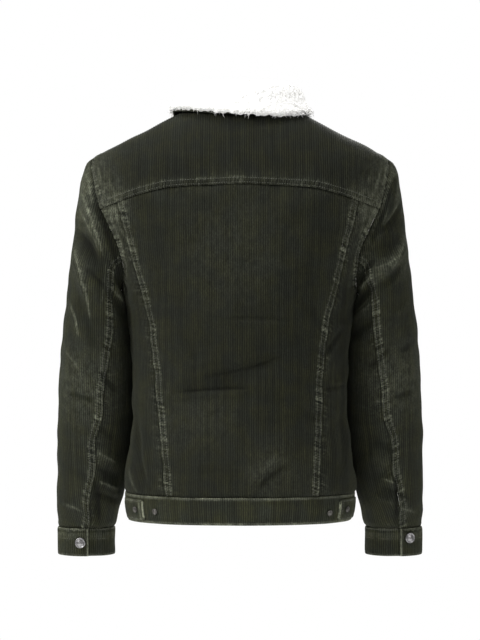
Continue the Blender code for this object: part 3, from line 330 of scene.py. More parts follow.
SLEEVE = table(
    Ring,
    (0.226, -0.066, 0.185, -0.29, 0.078, 0.0, 1.0),
    (0.2393, -0.0745, 0.188, -0.293, 0.081, -0.001, 0.75),
    (0.2482, -0.09, 0.1878, -0.298, 0.083, -0.002, 0.5),
    (0.254, -0.111, 0.1841, -0.3045, 0.084, -0.004, 0.3),
    (0.2592, -0.142, 0.1829, -0.313, 0.0845, -0.006, 0.15),
    (0.2644, -0.18, 0.1815, -0.324, 0.0845, -0.009, 0.05),
    (0.2702, -0.22, 0.1798, -0.337, 0.084, -0.012, 0.0),
    (0.2748, -0.26, 0.1774, -0.355, 0.0825, -0.016, 0.0),
    (0.2805, -0.305, 0.1747, -0.38, 0.08, -0.02, 0.0),
    (0.2857, -0.35, 0.1738, -0.407, 0.077, -0.024, 0.0),
    (0.2898, -0.395, 0.1728, -0.437, 0.0735, -0.028, 0.0),
    (0.2925, -0.44, 0.1722, -0.47, 0.07, -0.032, 0.0),
    (0.2944, -0.485, 0.1741, -0.506, 0.0665, -0.036, 0.0),
    (0.2955, -0.53, 0.1783, -0.543, 0.063, -0.04, 0.0),
    (0.2962, -0.57, 0.183, -0.577, 0.06, -0.043, 0.0),
    (0.2967, -0.605, 0.1888, -0.608, 0.0565, -0.046, 0.0),
    (0.2967, -0.633, 0.1965, -0.634, 0.0515, -0.048, 0.0),
    (0.2952, -0.652, 0.2, -0.652, 0.046, -0.049, 0.0),
    (0.295, -0.6627, 0.2038, -0.6627, 0.043, -0.05, 0.0),
)


class SleeveSeamPoint(NamedTuple):
    """Angles round a sleeve at which its long seams run, at a height."""
    height: float
    left: float
    right: float
    front: float


SLEEVE_SEAMS = table(
    SleeveSeamPoint,
    (-0.23, 123.0, 116.0, -136.0), (-0.32, 121.0, 110.0, -134.0), (-0.38, 113.0, 104.0, -132.0),
    (-0.484, 101.0, 93.0, -130.0), (-0.578, 95.0, 82.0, -130.0), (-0.6627, 98.0, 80.0, -130.0),
)


class CollarPoint(NamedTuple):
    """A row of the collar's bend: out from the neck seam and up, by where round the neck."""
    back_out: float
    back_up: float
    side_out: float
    side_up: float
    front_out: float
    front_up: float
    sweep: float


COLLAR = table(
    CollarPoint,
    (0.0002, 0.0003, 0.0002, 0.0003, 0.0002, 0.0003, 0.0),
    (-0.003, 0.012, -0.004, 0.011, 0.0004, 0.008, 0.0),
    (-0.004, 0.0225, -0.006, 0.0205, 0.001, 0.015, 0.0),
    (-0.002, 0.0305, -0.0045, 0.0272, 0.003, 0.02, 0.001),
    (0.0035, 0.034, 0.001, 0.0302, 0.008, 0.0222, 0.002),
    (0.0095, 0.0305, 0.0065, 0.0265, 0.013, 0.017, 0.004),
    (0.013, 0.02, 0.0105, 0.0175, 0.018, 0.004, 0.009),
    (0.0155, 0.005, 0.0155, 0.007, 0.025, -0.018, 0.02),
    (0.019, -0.012, 0.0215, -0.0045, 0.032, -0.042, 0.036),
)


class Fold(NamedTuple):
    """A fold on the side of a part that faces back (+1) or front (-1)."""
    part: str
    facing: int
    from_x: float
    from_z: float
    to_x: float
    to_z: float
    bow: float
    width: float
    rise: float


VIEW_SQUARE = 0.0016                # side of a square of the back view, at the origin's depth
VIEW_DISTANCE = 3.2                 # how far behind the origin it is seen from
VIEW_HEIGHT = -0.328                # and at what height
VIEW_ACROSS = 239.5                 # the square straight ahead
VIEW_DOWN = 320
BACK_DEPTH = 0.118                  # how far behind the origin each part's back lies
YOKE_DEPTH = 0.10
SLEEVE_DEPTH = 0.062


class SeenFold(NamedTuple):
    """A fold as it lies in the back view, its ends in squares across and down that view."""
    start_across: float
    start_down: float
    end_across: float
    end_down: float
    bow: float
    width: float
    rise: float

    def laid(self, part: str, depth: float) -> Fold:
        """The fold as it lies on a part.

        Args:
            part: the part it runs on.
            depth: how far behind the origin the part's back lies.

        Returns:
            The fold in metres, its ends to a tenth of a millimetre.
        """
        square = VIEW_SQUARE * (VIEW_DISTANCE - depth) / VIEW_DISTANCE
        ends = ((VIEW_ACROSS - self.start_across) * square,
                VIEW_HEIGHT + (VIEW_DOWN - self.start_down) * square,
                (VIEW_ACROSS - self.end_across) * square,
                VIEW_HEIGHT + (VIEW_DOWN - self.end_down) * square)
        return Fold(part, +1, *(round(end, 4) for end in ends), self.bow, self.width, self.rise)


def side_folds(part: str, facing: int, *rows: tuple[float, ...]) -> tuple[Fold, ...]:
    """The folds on one side of a part, in metres."""
    return tuple(Fold(part, facing, *row) for row in rows)


def seen_folds(part: str, depth: float, *rows: tuple[float, ...]) -> tuple[Fold, ...]:
    """The folds on a part's back, each row a SeenFold."""
    return tuple(SeenFold(*row).laid(part, depth) for row in rows)


FOLDS = (
    *side_folds("body", +1,
        (0.0945, -0.4386, -0.0115, -0.4324, 0.002, 0.013, -0.0035),
        (0.09, -0.453, -0.005, -0.448, 0.002, 0.013, 0.002),
        (0.056, -0.419, -0.068, -0.383, -0.004, 0.013, -0.003),
        (-0.163, -0.343, -0.139, -0.377, 0.0, 0.013, -0.0035),
        (-0.015, -0.578, -0.07, -0.54, 0.004, 0.014, 0.003),
        (0.16, -0.5, 0.149, -0.585, -0.004, 0.013, -0.003),
    ),
    *side_folds("body", -1,
        (0.06, -0.43, 0.125, -0.395, 0.004, 0.013, -0.003),
        (-0.055, -0.385, -0.125, -0.35, 0.004, 0.013, -0.003),
        (-0.05, -0.525, -0.12, -0.5, 0.004, 0.014, 0.003),
    ),
    *side_folds("sleeve_left", +1,
        (0.24, -0.156, 0.215, -0.228, 0.004, 0.014, 0.004),
        (0.262, -0.217, 0.242, -0.3, 0.004, 0.014, 0.004),
        (0.248, -0.196, 0.203, -0.28, 0.005, 0.014, -0.005),
        (0.228, -0.54, 0.203, -0.554, 0.001, 0.014, 0.003),
    ),
    *side_folds("sleeve_left", -1,
        (0.262, -0.26, 0.215, -0.33, 0.004, 0.014, -0.0045),
        (0.268, -0.42, 0.21, -0.4, -0.004, 0.014, -0.0045),
        (0.26, -0.46, 0.208, -0.48, 0.003, 0.014, 0.0035),
    ),
    *side_folds("sleeve_right", +1,
        (-0.262, -0.201, -0.226, -0.25, 0.006, 0.014, 0.005),
        (-0.226, -0.25, -0.2, -0.26, 0.0, 0.014, 0.004),
        (-0.252, -0.16, -0.215, -0.228, 0.005, 0.014, -0.0045),
        (-0.23, -0.56, -0.206, -0.542, 0.001, 0.014, 0.0028),
    ),
    *side_folds("sleeve_right", -1,
        (-0.26, -0.25, -0.212, -0.325, 0.004, 0.014, -0.0045),
        (-0.27, -0.415, -0.212, -0.405, -0.004, 0.014, -0.0045),
        (-0.262, -0.47, -0.208, -0.472, 0.003, 0.014, 0.0035),
    ),
)

# Sharper creases in and beside those folds
CREASES = (
    *seen_folds("body", BACK_DEPTH,
        (178, 392.5, 247, 388.5, 0.001, 0.0032, -0.0024),
        (178, 397, 246, 394, 0.001, 0.005, 0.0018), (207, 377, 281, 356, -0.003, 0.0045, -0.002),
        (210, 371, 281, 349, -0.003, 0.007, 0.0012), (230, 318, 287, 320, 0.001, 0.0035, -0.0012),
        (232, 322, 286, 324, 0.001, 0.005, 0.0008), (326, 390, 347, 387.5, 0.001, 0.0035, -0.0022),
        (253, 481, 281, 459, 0.003, 0.007, 0.0018), (258, 487, 286, 466, 0.003, 0.006, -0.001),
        (133, 424, 144, 488, -0.003, 0.005, -0.0026), (139, 424, 151, 488, -0.003, 0.006, 0.002),
        (344, 329, 327, 353, 0.001, 0.0045, -0.0026), (341, 338, 326, 362, 0.001, 0.0055, 0.0018),
        (349, 424, 350, 472, 0.002, 0.0055, 0.0022), (341, 400, 343, 470, 0.002, 0.006, -0.002),
        (186, 372, 222, 364, 0.002, 0.006, -0.001), (296, 410, 318, 422, 0.001, 0.006, -0.0012),
        (200, 470, 238, 474, 0.002, 0.008, -0.001), (176, 330, 196, 360, 0.002, 0.008, -0.0009),
        (300, 300, 322, 330, 0.002, 0.008, -0.0009), (150, 470, 168, 492, 0.002, 0.006, 0.0012),
    ),
    *seen_folds("sleeve_left", SLEEVE_DEPTH,
        (83, 200, 101, 258, 0.003, 0.008, 0.0042), (93, 203, 113, 252, 0.003, 0.007, -0.0042),
        (74, 232, 98, 262, 0.003, 0.007, -0.004), (72.5, 249, 89, 312, 0.003, 0.0055, 0.0042),
        (88, 271, 105, 290, 0.002, 0.007, -0.0032), (64, 303, 76, 337, 0.002, 0.006, 0.0032),
        (78, 300, 92, 345, 0.002, 0.008, -0.002), (110, 280, 130, 317, 0.001, 0.006, 0.003),
        (110, 293, 128, 331, 0.001, 0.006, -0.0032), (62, 350, 82, 374, 0.001, 0.007, 0.0018),
        (66, 394, 92, 402, 0.001, 0.006, -0.0015), (97, 372, 113, 392, 0.001, 0.006, -0.0018),
        (96, 428, 113, 440, 0.001, 0.006, -0.002), (94, 454, 111, 464, 0.001, 0.005, 0.0024),
        (94, 470, 114, 480, 0.001, 0.0055, -0.0026), (95, 484, 114, 493, 0.001, 0.005, 0.0032),
        (93, 495, 117, 507, 0.001, 0.0055, -0.003), (61, 470, 88, 483, 0.001, 0.006, -0.0016),
        (60, 508, 82, 516, 0.001, 0.006, 0.002),
    ),
    *side_folds("sleeve_left", +1,
        (0.2325, -0.575, 0.231, -0.656, 0.001, 0.0032, -0.003),
        (0.228, -0.58, 0.2275, -0.65, 0.001, 0.005, -0.0012),
    ),
    *side_folds("sleeve_right", +1,
        (-0.248, -0.574, -0.249, -0.652, 0.001, 0.0032, -0.0022),
    ),
    *seen_folds("sleeve_right", SLEEVE_DEPTH,
        (396, 176, 388, 214, 0.002, 0.006, -0.0035), (402, 202, 377, 233, 0.004, 0.006, -0.0042),
        (405, 217, 383, 241, 0.003, 0.01, 0.0026), (405, 238, 375, 278, 0.006, 0.0055, 0.0044),
        (399, 268, 379, 286, 0.003, 0.006, -0.0028), (408, 248, 397, 281, 0.002, 0.0055, 0.0022),
        (373, 273, 352, 295, 0.001, 0.006, 0.003), (371, 286, 350, 313, 0.001, 0.007, -0.0038),
        (371, 302, 349, 323, 0.001, 0.006, 0.003), (372, 318, 352, 338, 0.001, 0.007, -0.0026),
        (411, 300, 395, 318, 0.001, 0.006, 0.0018), (416, 340, 400, 352, 0.001, 0.006, -0.0015),
        (388, 350, 370, 366, 0.001, 0.006, -0.0022), (413, 392, 394, 398, 0.001, 0.006, -0.0016),
        (374, 404, 390, 396, 0.001, 0.006, 0.0016), (372, 440, 392, 452, 0.001, 0.006, -0.0018),
        (384, 479, 402, 489, 0.001, 0.005, 0.0032), (384, 490, 409, 501, 0.001, 0.0055, -0.0028),
        (376, 500, 396, 507, 0.001, 0.0055, 0.0022), (400, 510, 419, 516, 0.001, 0.006, 0.0018),
    ),
    *side_folds("body", -1,
        (0.06, -0.43, 0.125, -0.395, 0.004, 0.005, -0.0018),
        (0.062, -0.437, 0.127, -0.402, 0.004, 0.006, 0.0016),
        (-0.055, -0.385, -0.125, -0.35, 0.004, 0.005, -0.0018),
        (0.05, -0.53, 0.13, -0.56, 0.003, 0.006, -0.0014),
        (-0.06, -0.56, -0.11, -0.53, 0.003, 0.006, 0.0014),
        (0.135, -0.31, 0.155, -0.36, 0.002, 0.0055, -0.002),
        (-0.14, -0.47, -0.13, -0.54, 0.002, 0.0055, -0.002),
    ),
    *side_folds("sleeve_left", -1,
        (0.25, -0.16, 0.22, -0.235, 0.003, 0.008, 0.0036),
        (0.238, -0.16, 0.205, -0.23, 0.003, 0.007, -0.0036),
        (0.262, -0.26, 0.215, -0.33, 0.004, 0.006, -0.003),
        (0.266, -0.275, 0.22, -0.345, 0.004, 0.006, 0.003),
        (0.268, -0.42, 0.21, -0.4, -0.004, 0.006, -0.0026),
        (0.266, -0.438, 0.215, -0.42, -0.003, 0.006, 0.0024),
        (0.27, -0.56, 0.22, -0.58, 0.002, 0.006, -0.0022),
    ),
    *side_folds("sleeve_right", -1,
        (-0.25, -0.17, -0.215, -0.24, 0.003, 0.008, 0.0036),
        (-0.24, -0.155, -0.21, -0.225, 0.003, 0.007, -0.0036),
        (-0.26, -0.25, -0.212, -0.325, 0.004, 0.006, -0.003),
        (-0.265, -0.265, -0.217, -0.34, 0.004, 0.006, 0.003),
        (-0.27, -0.415, -0.212, -0.405, -0.004, 0.006, -0.0026),
        (-0.266, -0.432, -0.215, -0.424, -0.003, 0.006, 0.0024),
        (-0.268, -0.57, -0.22, -0.585, 0.002, 0.006, -0.0022),
    ),
)

# Thin lines painted on the folds: pale ones on the crests, partly rubbed pile and partly painted highlight, and dark
# ones in the hollows, which are painted shade; the last number is how pale or dark they are painted
LIT_CRESTS_AND_SHADED_HOLLOWS = (
    *seen_folds("body", YOKE_DEPTH,
        (389, 160, 382, 192, 0.001, 0.0022, 0.32), (384, 158, 376, 188, 0.001, 0.0018, 0.2),
        (381, 200, 371, 232, 0.001, 0.0024, 0.28), (376, 206, 366, 232, 0.001, 0.0018, 0.22),
        (371, 236, 360, 258, 0.001, 0.0022, 0.26), (96, 166, 103, 196, -0.001, 0.002, 0.22),
        (108, 208, 118, 240, -0.001, 0.0024, 0.26), (113, 206, 123, 236, -0.001, 0.0018, 0.22),
        (119, 238, 125, 264, -0.001, 0.0022, 0.24), (124, 232, 133, 256, -0.001, 0.0018, 0.2),
    ),
    *seen_folds("body", BACK_DEPTH,
        (346, 300, 344, 420, 0.002, 0.0055, -0.5), (344, 420, 349, 470, 0.001, 0.0045, -0.35),
        (133, 300, 130, 380, 0.001, 0.003, -0.15), (104, 176, 118, 206, 0.002, 0.0022, 0.16),
        (112, 170, 122, 196, 0.002, 0.0022, 0.12), (372, 170, 361, 196, 0.002, 0.0022, 0.16),
        (380, 176, 368, 204, 0.002, 0.0022, 0.14), (364, 215, 358, 240, 0.002, 0.002, 0.14),
        (120, 215, 128, 250, 0.002, 0.002, 0.16), (127, 236, 138, 262, 0.002, 0.002, 0.14),
        (131, 462, 141, 494, -0.003, 0.002, -0.45), (126, 470, 135, 496, -0.003, 0.002, 0.2),
        (178, 392, 247, 388, 0.001, 0.0012, -0.35),
    ),
    *seen_folds("sleeve_left", SLEEVE_DEPTH,
        (81.4, 194, 103, 255, 0.002, 0.0016, 0.42), (86.5, 178, 92, 205, 0.001, 0.0016, 0.26),
        (78, 208, 99, 252, 0.002, 0.0014, 0.24), (73, 250, 84, 292, 0.001, 0.0015, 0.46),
        (84, 288, 89.5, 320, 0.001, 0.0014, 0.34), (66.5, 302, 77, 335, 0.002, 0.0015, 0.38),
        (110.5, 287, 128, 310, 0.001, 0.0016, 0.3), (106, 262, 102, 300, 0.0, 0.0014, 0.3),
        (95, 454, 112, 464, 0.001, 0.0014, 0.26), (96, 484, 113, 492, 0.001, 0.0015, 0.4),
        (62, 352, 76, 368, 0.001, 0.0014, 0.16), (60, 508, 78, 515, 0.001, 0.0015, 0.22),
        (94, 196, 119, 275, 0.003, 0.003, -0.55), (118, 272, 130, 316, 0.001, 0.0032, -0.5),
        (76, 229, 98, 256, 0.002, 0.002, -0.45), (89, 272, 106, 288, 0.001, 0.0022, -0.32),
        (97, 488, 112, 498, 0.001, 0.002, -0.45), (94.5, 482, 95.5, 527, 0.001, 0.003, -0.9),
    ),
    *seen_folds("sleeve_right", SLEEVE_DEPTH,
        (399, 202, 380, 230, 0.002, 0.0016, 0.36), (393, 186, 379, 228, 0.002, 0.0014, 0.2),
        (404, 241, 393, 266, 0.002, 0.0015, 0.36), (395, 259, 375, 268, 0.001, 0.0015, 0.26),
        (370, 275, 353, 295, 0.001, 0.0015, 0.3), (371, 296, 349, 317, 0.001, 0.0015, 0.24),
        (385, 481, 402, 489, 0.001, 0.0015, 0.38), (402, 512, 418, 517, 0.001, 0.0015, 0.2),
        (392.5, 180, 372, 238, 0.003, 0.003, -0.55), (401, 206, 385, 236, 0.003, 0.0024, -0.4),
        (372, 262, 353, 289, 0.001, 0.003, -0.45), (369, 287, 350, 314, 0.001, 0.0028, -0.45),
        (397, 480, 398.5, 523, 0.001, 0.0026, -0.8),
    ),
)

SHARP = tuple(fold for fold in CREASES if fold.width < 0.0048) + LIT_CRESTS_AND_SHADED_HOLLOWS

# The folds painted: ridges paler, partly rubbed pile and partly painted highlight, and valleys darker with painted
# shade
PAINTED_FOLD_SHADING = LIT_CRESTS_AND_SHADED_HOLLOWS + tuple(
    fold._replace(width=fold.width * 0.6, rise=fold.rise * (22 if fold.rise > 0 else 110))
    for fold in CREASES) + tuple(
    fold._replace(rise=fold.rise * (10 if fold.rise > 0 else 45)) for fold in FOLDS)

FOLD_START = (-0.15, 0.25)
FOLD_END = (1.15, 0.75)
FOLD_FACING = (0.05, 0.45)
SLEEVE_FOLD_START = (0.01, 0.10)
SLEEVE_FOLD_END = (1.00, 0.93)
WOBBLE = 3.0                        # degrees by which a sleeve's back seam wanders
WOBBLE_MIDDLE = -0.568
WOBBLE_LENGTH = 0.094
WOBBLE_START = (0.45, 0.80)
WOBBLE_END = (0.93, 0.99)
BRUSH = 0.0040                      # how far a sleeve bulges where it hangs beside the body


class Ripple(NamedTuple):
    """A low wave that runs through all the cloth: its length along each axis and its height."""
    x: float
    y: float
    z: float
    height: float
    start: float


RIPPLES = table(
    Ripple,
    (0.14, 0.3, 0.09, 0.0006, 0.4), (-0.11, 0.2, 0.06, 0.0005, 1.9),
    (0.075, 0.16, -0.13, 0.0004, 3.1), (0.3, 0.11, 0.045, 0.0004, 5.2),
    (0.047, 0.12, 0.21, 0.0003, 2.2), (0.061, 0.09, 0.037, 0.0002, 4.4),
    (-0.083, 0.07, 0.034, 0.0002, 0.9),
)


class WornAndLitPatch(NamedTuple):
    """A place painted paler: worn ribs, and on the upper sleeves also painted light."""
    x: float
    y: float
    z: float
    radius: float
    strength: float


WORN_AND_LIT_PATCHES = table(
    WornAndLitPatch,
    (0.205, 0.1, -0.15, 0.028, 0.3), (-0.2, 0.1, -0.15, 0.028, 0.3),
    # The upper-sleeve rows below are partly worn pile and partly painted light on the sleeves' darker upper sides; the
    # pair at height -0.2 is painted light only
    (0.24, 0.06, -0.105, 0.045, 0.24), (-0.24, 0.06, -0.11, 0.045, 0.24),
    (0.225, 0.065, -0.2, 0.06, 0.1), (-0.225, 0.065, -0.2, 0.06, 0.1),
    (0.25, 0.03, -0.43, 0.06, 0.12), (-0.25, 0.03, -0.42, 0.06, 0.12),
    (0.01, 0.13, -0.22, 0.09, 0.07), (0.06, 0.125, -0.47, 0.06, 0.06),
    (-0.05, 0.125, -0.56, 0.04, 0.08),
)


# ---------------------------------------------------------------- smooth tables and sheets


def column(rows: Sequence[NamedTuple], name: str) -> Array:
    """One named column of a table."""
    return np.array([getattr(row, name) for row in rows])


def ease(low: float, high: float, at: Array) -> Array:
    """0 below low, 1 above high and smooth between them."""
    f = np.clip((np.asarray(at, float) - low) / (high - low), 0, 1)
    return f * f * (3 - 2 * f)


def bell(at: Array, width: float) -> Array:
    """1 at zero, falling off smoothly over a width."""
    return np.exp(-(at / width) ** 2)


def unit(vectors: Array) -> Array:
    """Vectors of length one."""
    return vectors / np.maximum(np.linalg.norm(vectors, axis=-1, keepdims=True), 1e-12)


def lengths_along(line: Array) -> Array:
    """The running length at each point of a line."""
    steps = np.linalg.norm(np.diff(line, axis=0), axis=-1)
    return np.concatenate(([0.0], np.cumsum(steps)))


def read_line(line: Array, at: Array, length: Array | None = None) -> Array:
    """Values of a line at running lengths, its own or those of another line."""
    length = lengths_along(line) if length is None else length
    return np.stack([np.interp(at, length, line[:, k]) for k in range(line.shape[1])], axis=-1)


class Smooth:
    """A curve without overshoot through two columns of a table."""

    def __init__(self, rows: Sequence[NamedTuple], key: str, value: str) -> None:
        """Reads the columns.

        Args:
            rows: the table.
            key: the column to read at.
            value: the column to give.
        """
        x, y = column(rows, key), column(rows, value)
        order = np.argsort(x)
        self.x, self.y = x[order], y[order]
        rise = np.diff(self.y) / np.diff(self.x)
        self.slope = np.concatenate(([rise[0]], np.zeros(len(x) - 2), [rise[-1]]))
        same_way = rise[:-1] * rise[1:] > 0
        pair = np.where(same_way, rise[:-1] + rise[1:], 1.0)
        self.slope[1:-1] = np.where(same_way, 2 * rise[:-1] * rise[1:] / pair, 0.0)

    def __call__(self, at: Array) -> Array:
        """The curve's value at each key.

        Args:
            at: where to read the curve.

        Returns:
            The values, in the shape of at.
        """
        x, y, slope = self.x, self.y, self.slope
        at = np.clip(np.asarray(at, float), x[0], x[-1])
        i = np.clip(np.searchsorted(x, at) - 1, 0, len(x) - 2)
        step = x[i + 1] - x[i]
        f = (at - x[i]) / step
        start = (1 + 2 * f) * (1 - f) ** 2 * y[i] + f * (1 - f) ** 2 * step * slope[i]
        end = f * f * (3 - 2 * f) * y[i + 1] + f * f * (f - 1) * step * slope[i + 1]
        return start + end


def cubic_weights(f: Array) -> tuple[Array, ...]:
    """Weights of four neighbouring points for a smooth curve between the middle two."""
    return (((-f + 2) * f - 1) * f / 2, ((3 * f - 5) * f * f + 2) / 2,
            ((-3 * f + 4) * f + 1) * f / 2, (f - 1) * f * f / 2)


@dataclass
class Sheet:
    """A smooth surface through a grid of points, read at any place of its two lengths."""

    across: Array
    along: Array
    points: Array
    outward: int = 1

    def at(self, u: Array, v: Array) -> Array:
        """The points at lengths u across and v along."""
        u, v = np.broadcast_arrays(np.asarray(u, float), np.asarray(v, float))
        fu = (u - self.across[0]) / (self.across[1] - self.across[0])
        fv = (v - self.along[0]) / (self.along[1] - self.along[0])
        i = np.clip(np.floor(fu).astype(int), 1, len(self.across) - 3)
        j = np.clip(np.floor(fv).astype(int), 1, len(self.along) - 3)
        wu, wv = cubic_weights(fu - i), cubic_weights(fv - j)
        total = np.zeros(u.shape + (self.points.shape[-1],))
        for a in range(4):
            for b in range(4):
                total += (wu[a] * wv[b])[..., None] * self.points[i + a - 1, j + b - 1]
        return total

    def slopes(self, u: Array, v: Array, step: float = 0.001) -> tuple[Array, Array]:
        """How the surface runs across and along, per metre."""
        across = (self.at(u + step, v) - self.at(u - step, v)) / (2 * step)
        along = (self.at(u, v + step) - self.at(u, v - step)) / (2 * step)
        return across, along

    def normal(self, u: Array, v: Array) -> Array:
        """The outward direction of the surface."""
        across, along = self.slopes(u, v)
        return unit(np.cross(across, along)) * self.outward

    def find(self, targets: Array, rounds: int = 8) -> Array:
        """Where each target point lies.

        Args:
            targets: points, one a row.
            rounds: how often each place is bettered.

        Returns:
            The places, one a row, as u and v.
        """
        grid = self.points[::4, ::4].reshape(-1, self.points.shape[-1])
        rows = len(self.along[::4])
        nearest = np.concatenate([
            np.argmin(((part[:, None] - grid[None]) ** 2).sum(-1), axis=1)
            for part in np.array_split(targets, len(targets) // 2000 + 1)])
        u, v = self.across[::4][nearest // rows], self.along[::4][nearest % rows]
        for _ in range(rounds):
            error = targets - self.at(u, v)
            across, along = self.slopes(u, v)
            aa, bb, ab = (across ** 2).sum(-1), (along ** 2).sum(-1), (across * along).sum(-1)
            ea, eb = (error * across).sum(-1), (error * along).sum(-1)
            scale = np.maximum(aa * bb - ab * ab, 1e-9)
            u = u + np.clip((ea * bb - eb * ab) / scale, -0.02, 0.02)
            v = v + np.clip((eb * aa - ea * ab) / scale, -0.02, 0.02)
        return np.stack((u, v), axis=-1)


def margined(across: Array, along: Array, points: Array) -> Sheet:
    """A sheet over a grid of points, carried on straight by a step at each of its sides."""
    for axis in (0, 1):
        points = np.swapaxes(points, 0, axis)
        points = np.concatenate((2 * points[:1] - points[1:2], points,
                                 2 * points[-1:] - points[-2:-1]))
        points = np.swapaxes(points, 0, axis)
    wide = [np.concatenate(([2 * at[0] - at[1]], at, [2 * at[-1] - at[-2]]))
            for at in (across, along)]
    return Sheet(wide[0], wide[1], points)


def fold_rise(folds: Sequence[Fold], part: str, points: Array, normals: Array) -> Array:
    """How far a table of folds raises or sinks a part's cloth.

    Args:
        folds: the table.
        part: the part whose folds count.
        points: points of the cloth, one a row.
        normals: its outward directions there.

    Returns:
        The rise at each point.
    """
    rise = np.zeros(len(points))
    for fold in folds:
        if fold.part != part:
            continue
        start = np.array((fold.from_x, fold.from_z))
        run = np.array((fold.to_x, fold.to_z)) - start
        length = np.hypot(*run)
        local = points[..., (0, 2)] - start
        f = (local @ run) / length ** 2
        bend = fold.bow * 4 * np.clip(f, 0, 1) * (1 - np.clip(f, 0, 1))
        aside = (local[..., 0] * run[1] - local[..., 1] * run[0]) / length - bend
        taper = ease(*FOLD_START, f) * ease(*FOLD_END, f)
        facing = ease(*FOLD_FACING, normals[..., 1] * fold.facing)
        rise += fold.rise * taper * facing * bell(aside, fold.width)
    return rise


def near_fold(folds: Sequence[Fold], part: str, points: Array) -> Array:
    """How close points lie to the nearest fold of a table, in its own widths."""
    nearest = np.full(len(points), np.inf)
    for fold in folds:
        if fold.part == part:
            line = np.array(((fold.from_x, fold.from_z), (fold.to_x, fold.to_z)))
            gap, _ = beside(points[:, (0, 2)], line)
            gap = np.where(points[:, 1] * fold.facing > -0.03, gap, np.inf)
            nearest = np.minimum(nearest, np.maximum(gap - abs(fold.bow), 0) / fold.width)
    return nearest


def ripple_rise(points: Array) -> Array:
    """The low waves that run through all the cloth."""
    rise = np.zeros(len(points))
    for wave in RIPPLES:
        turn = points[:, 0] / wave.x + points[:, 1] / wave.y + points[:, 2] / wave.z
        rise += wave.height * np.sin(2 * math.pi * turn + wave.start)
    return rise


# ---------------------------------------------------------------- the worn forms


class Facing(Enum):
    """The two halves of the body's surface."""
    BACK = +1
    FRONT = -1


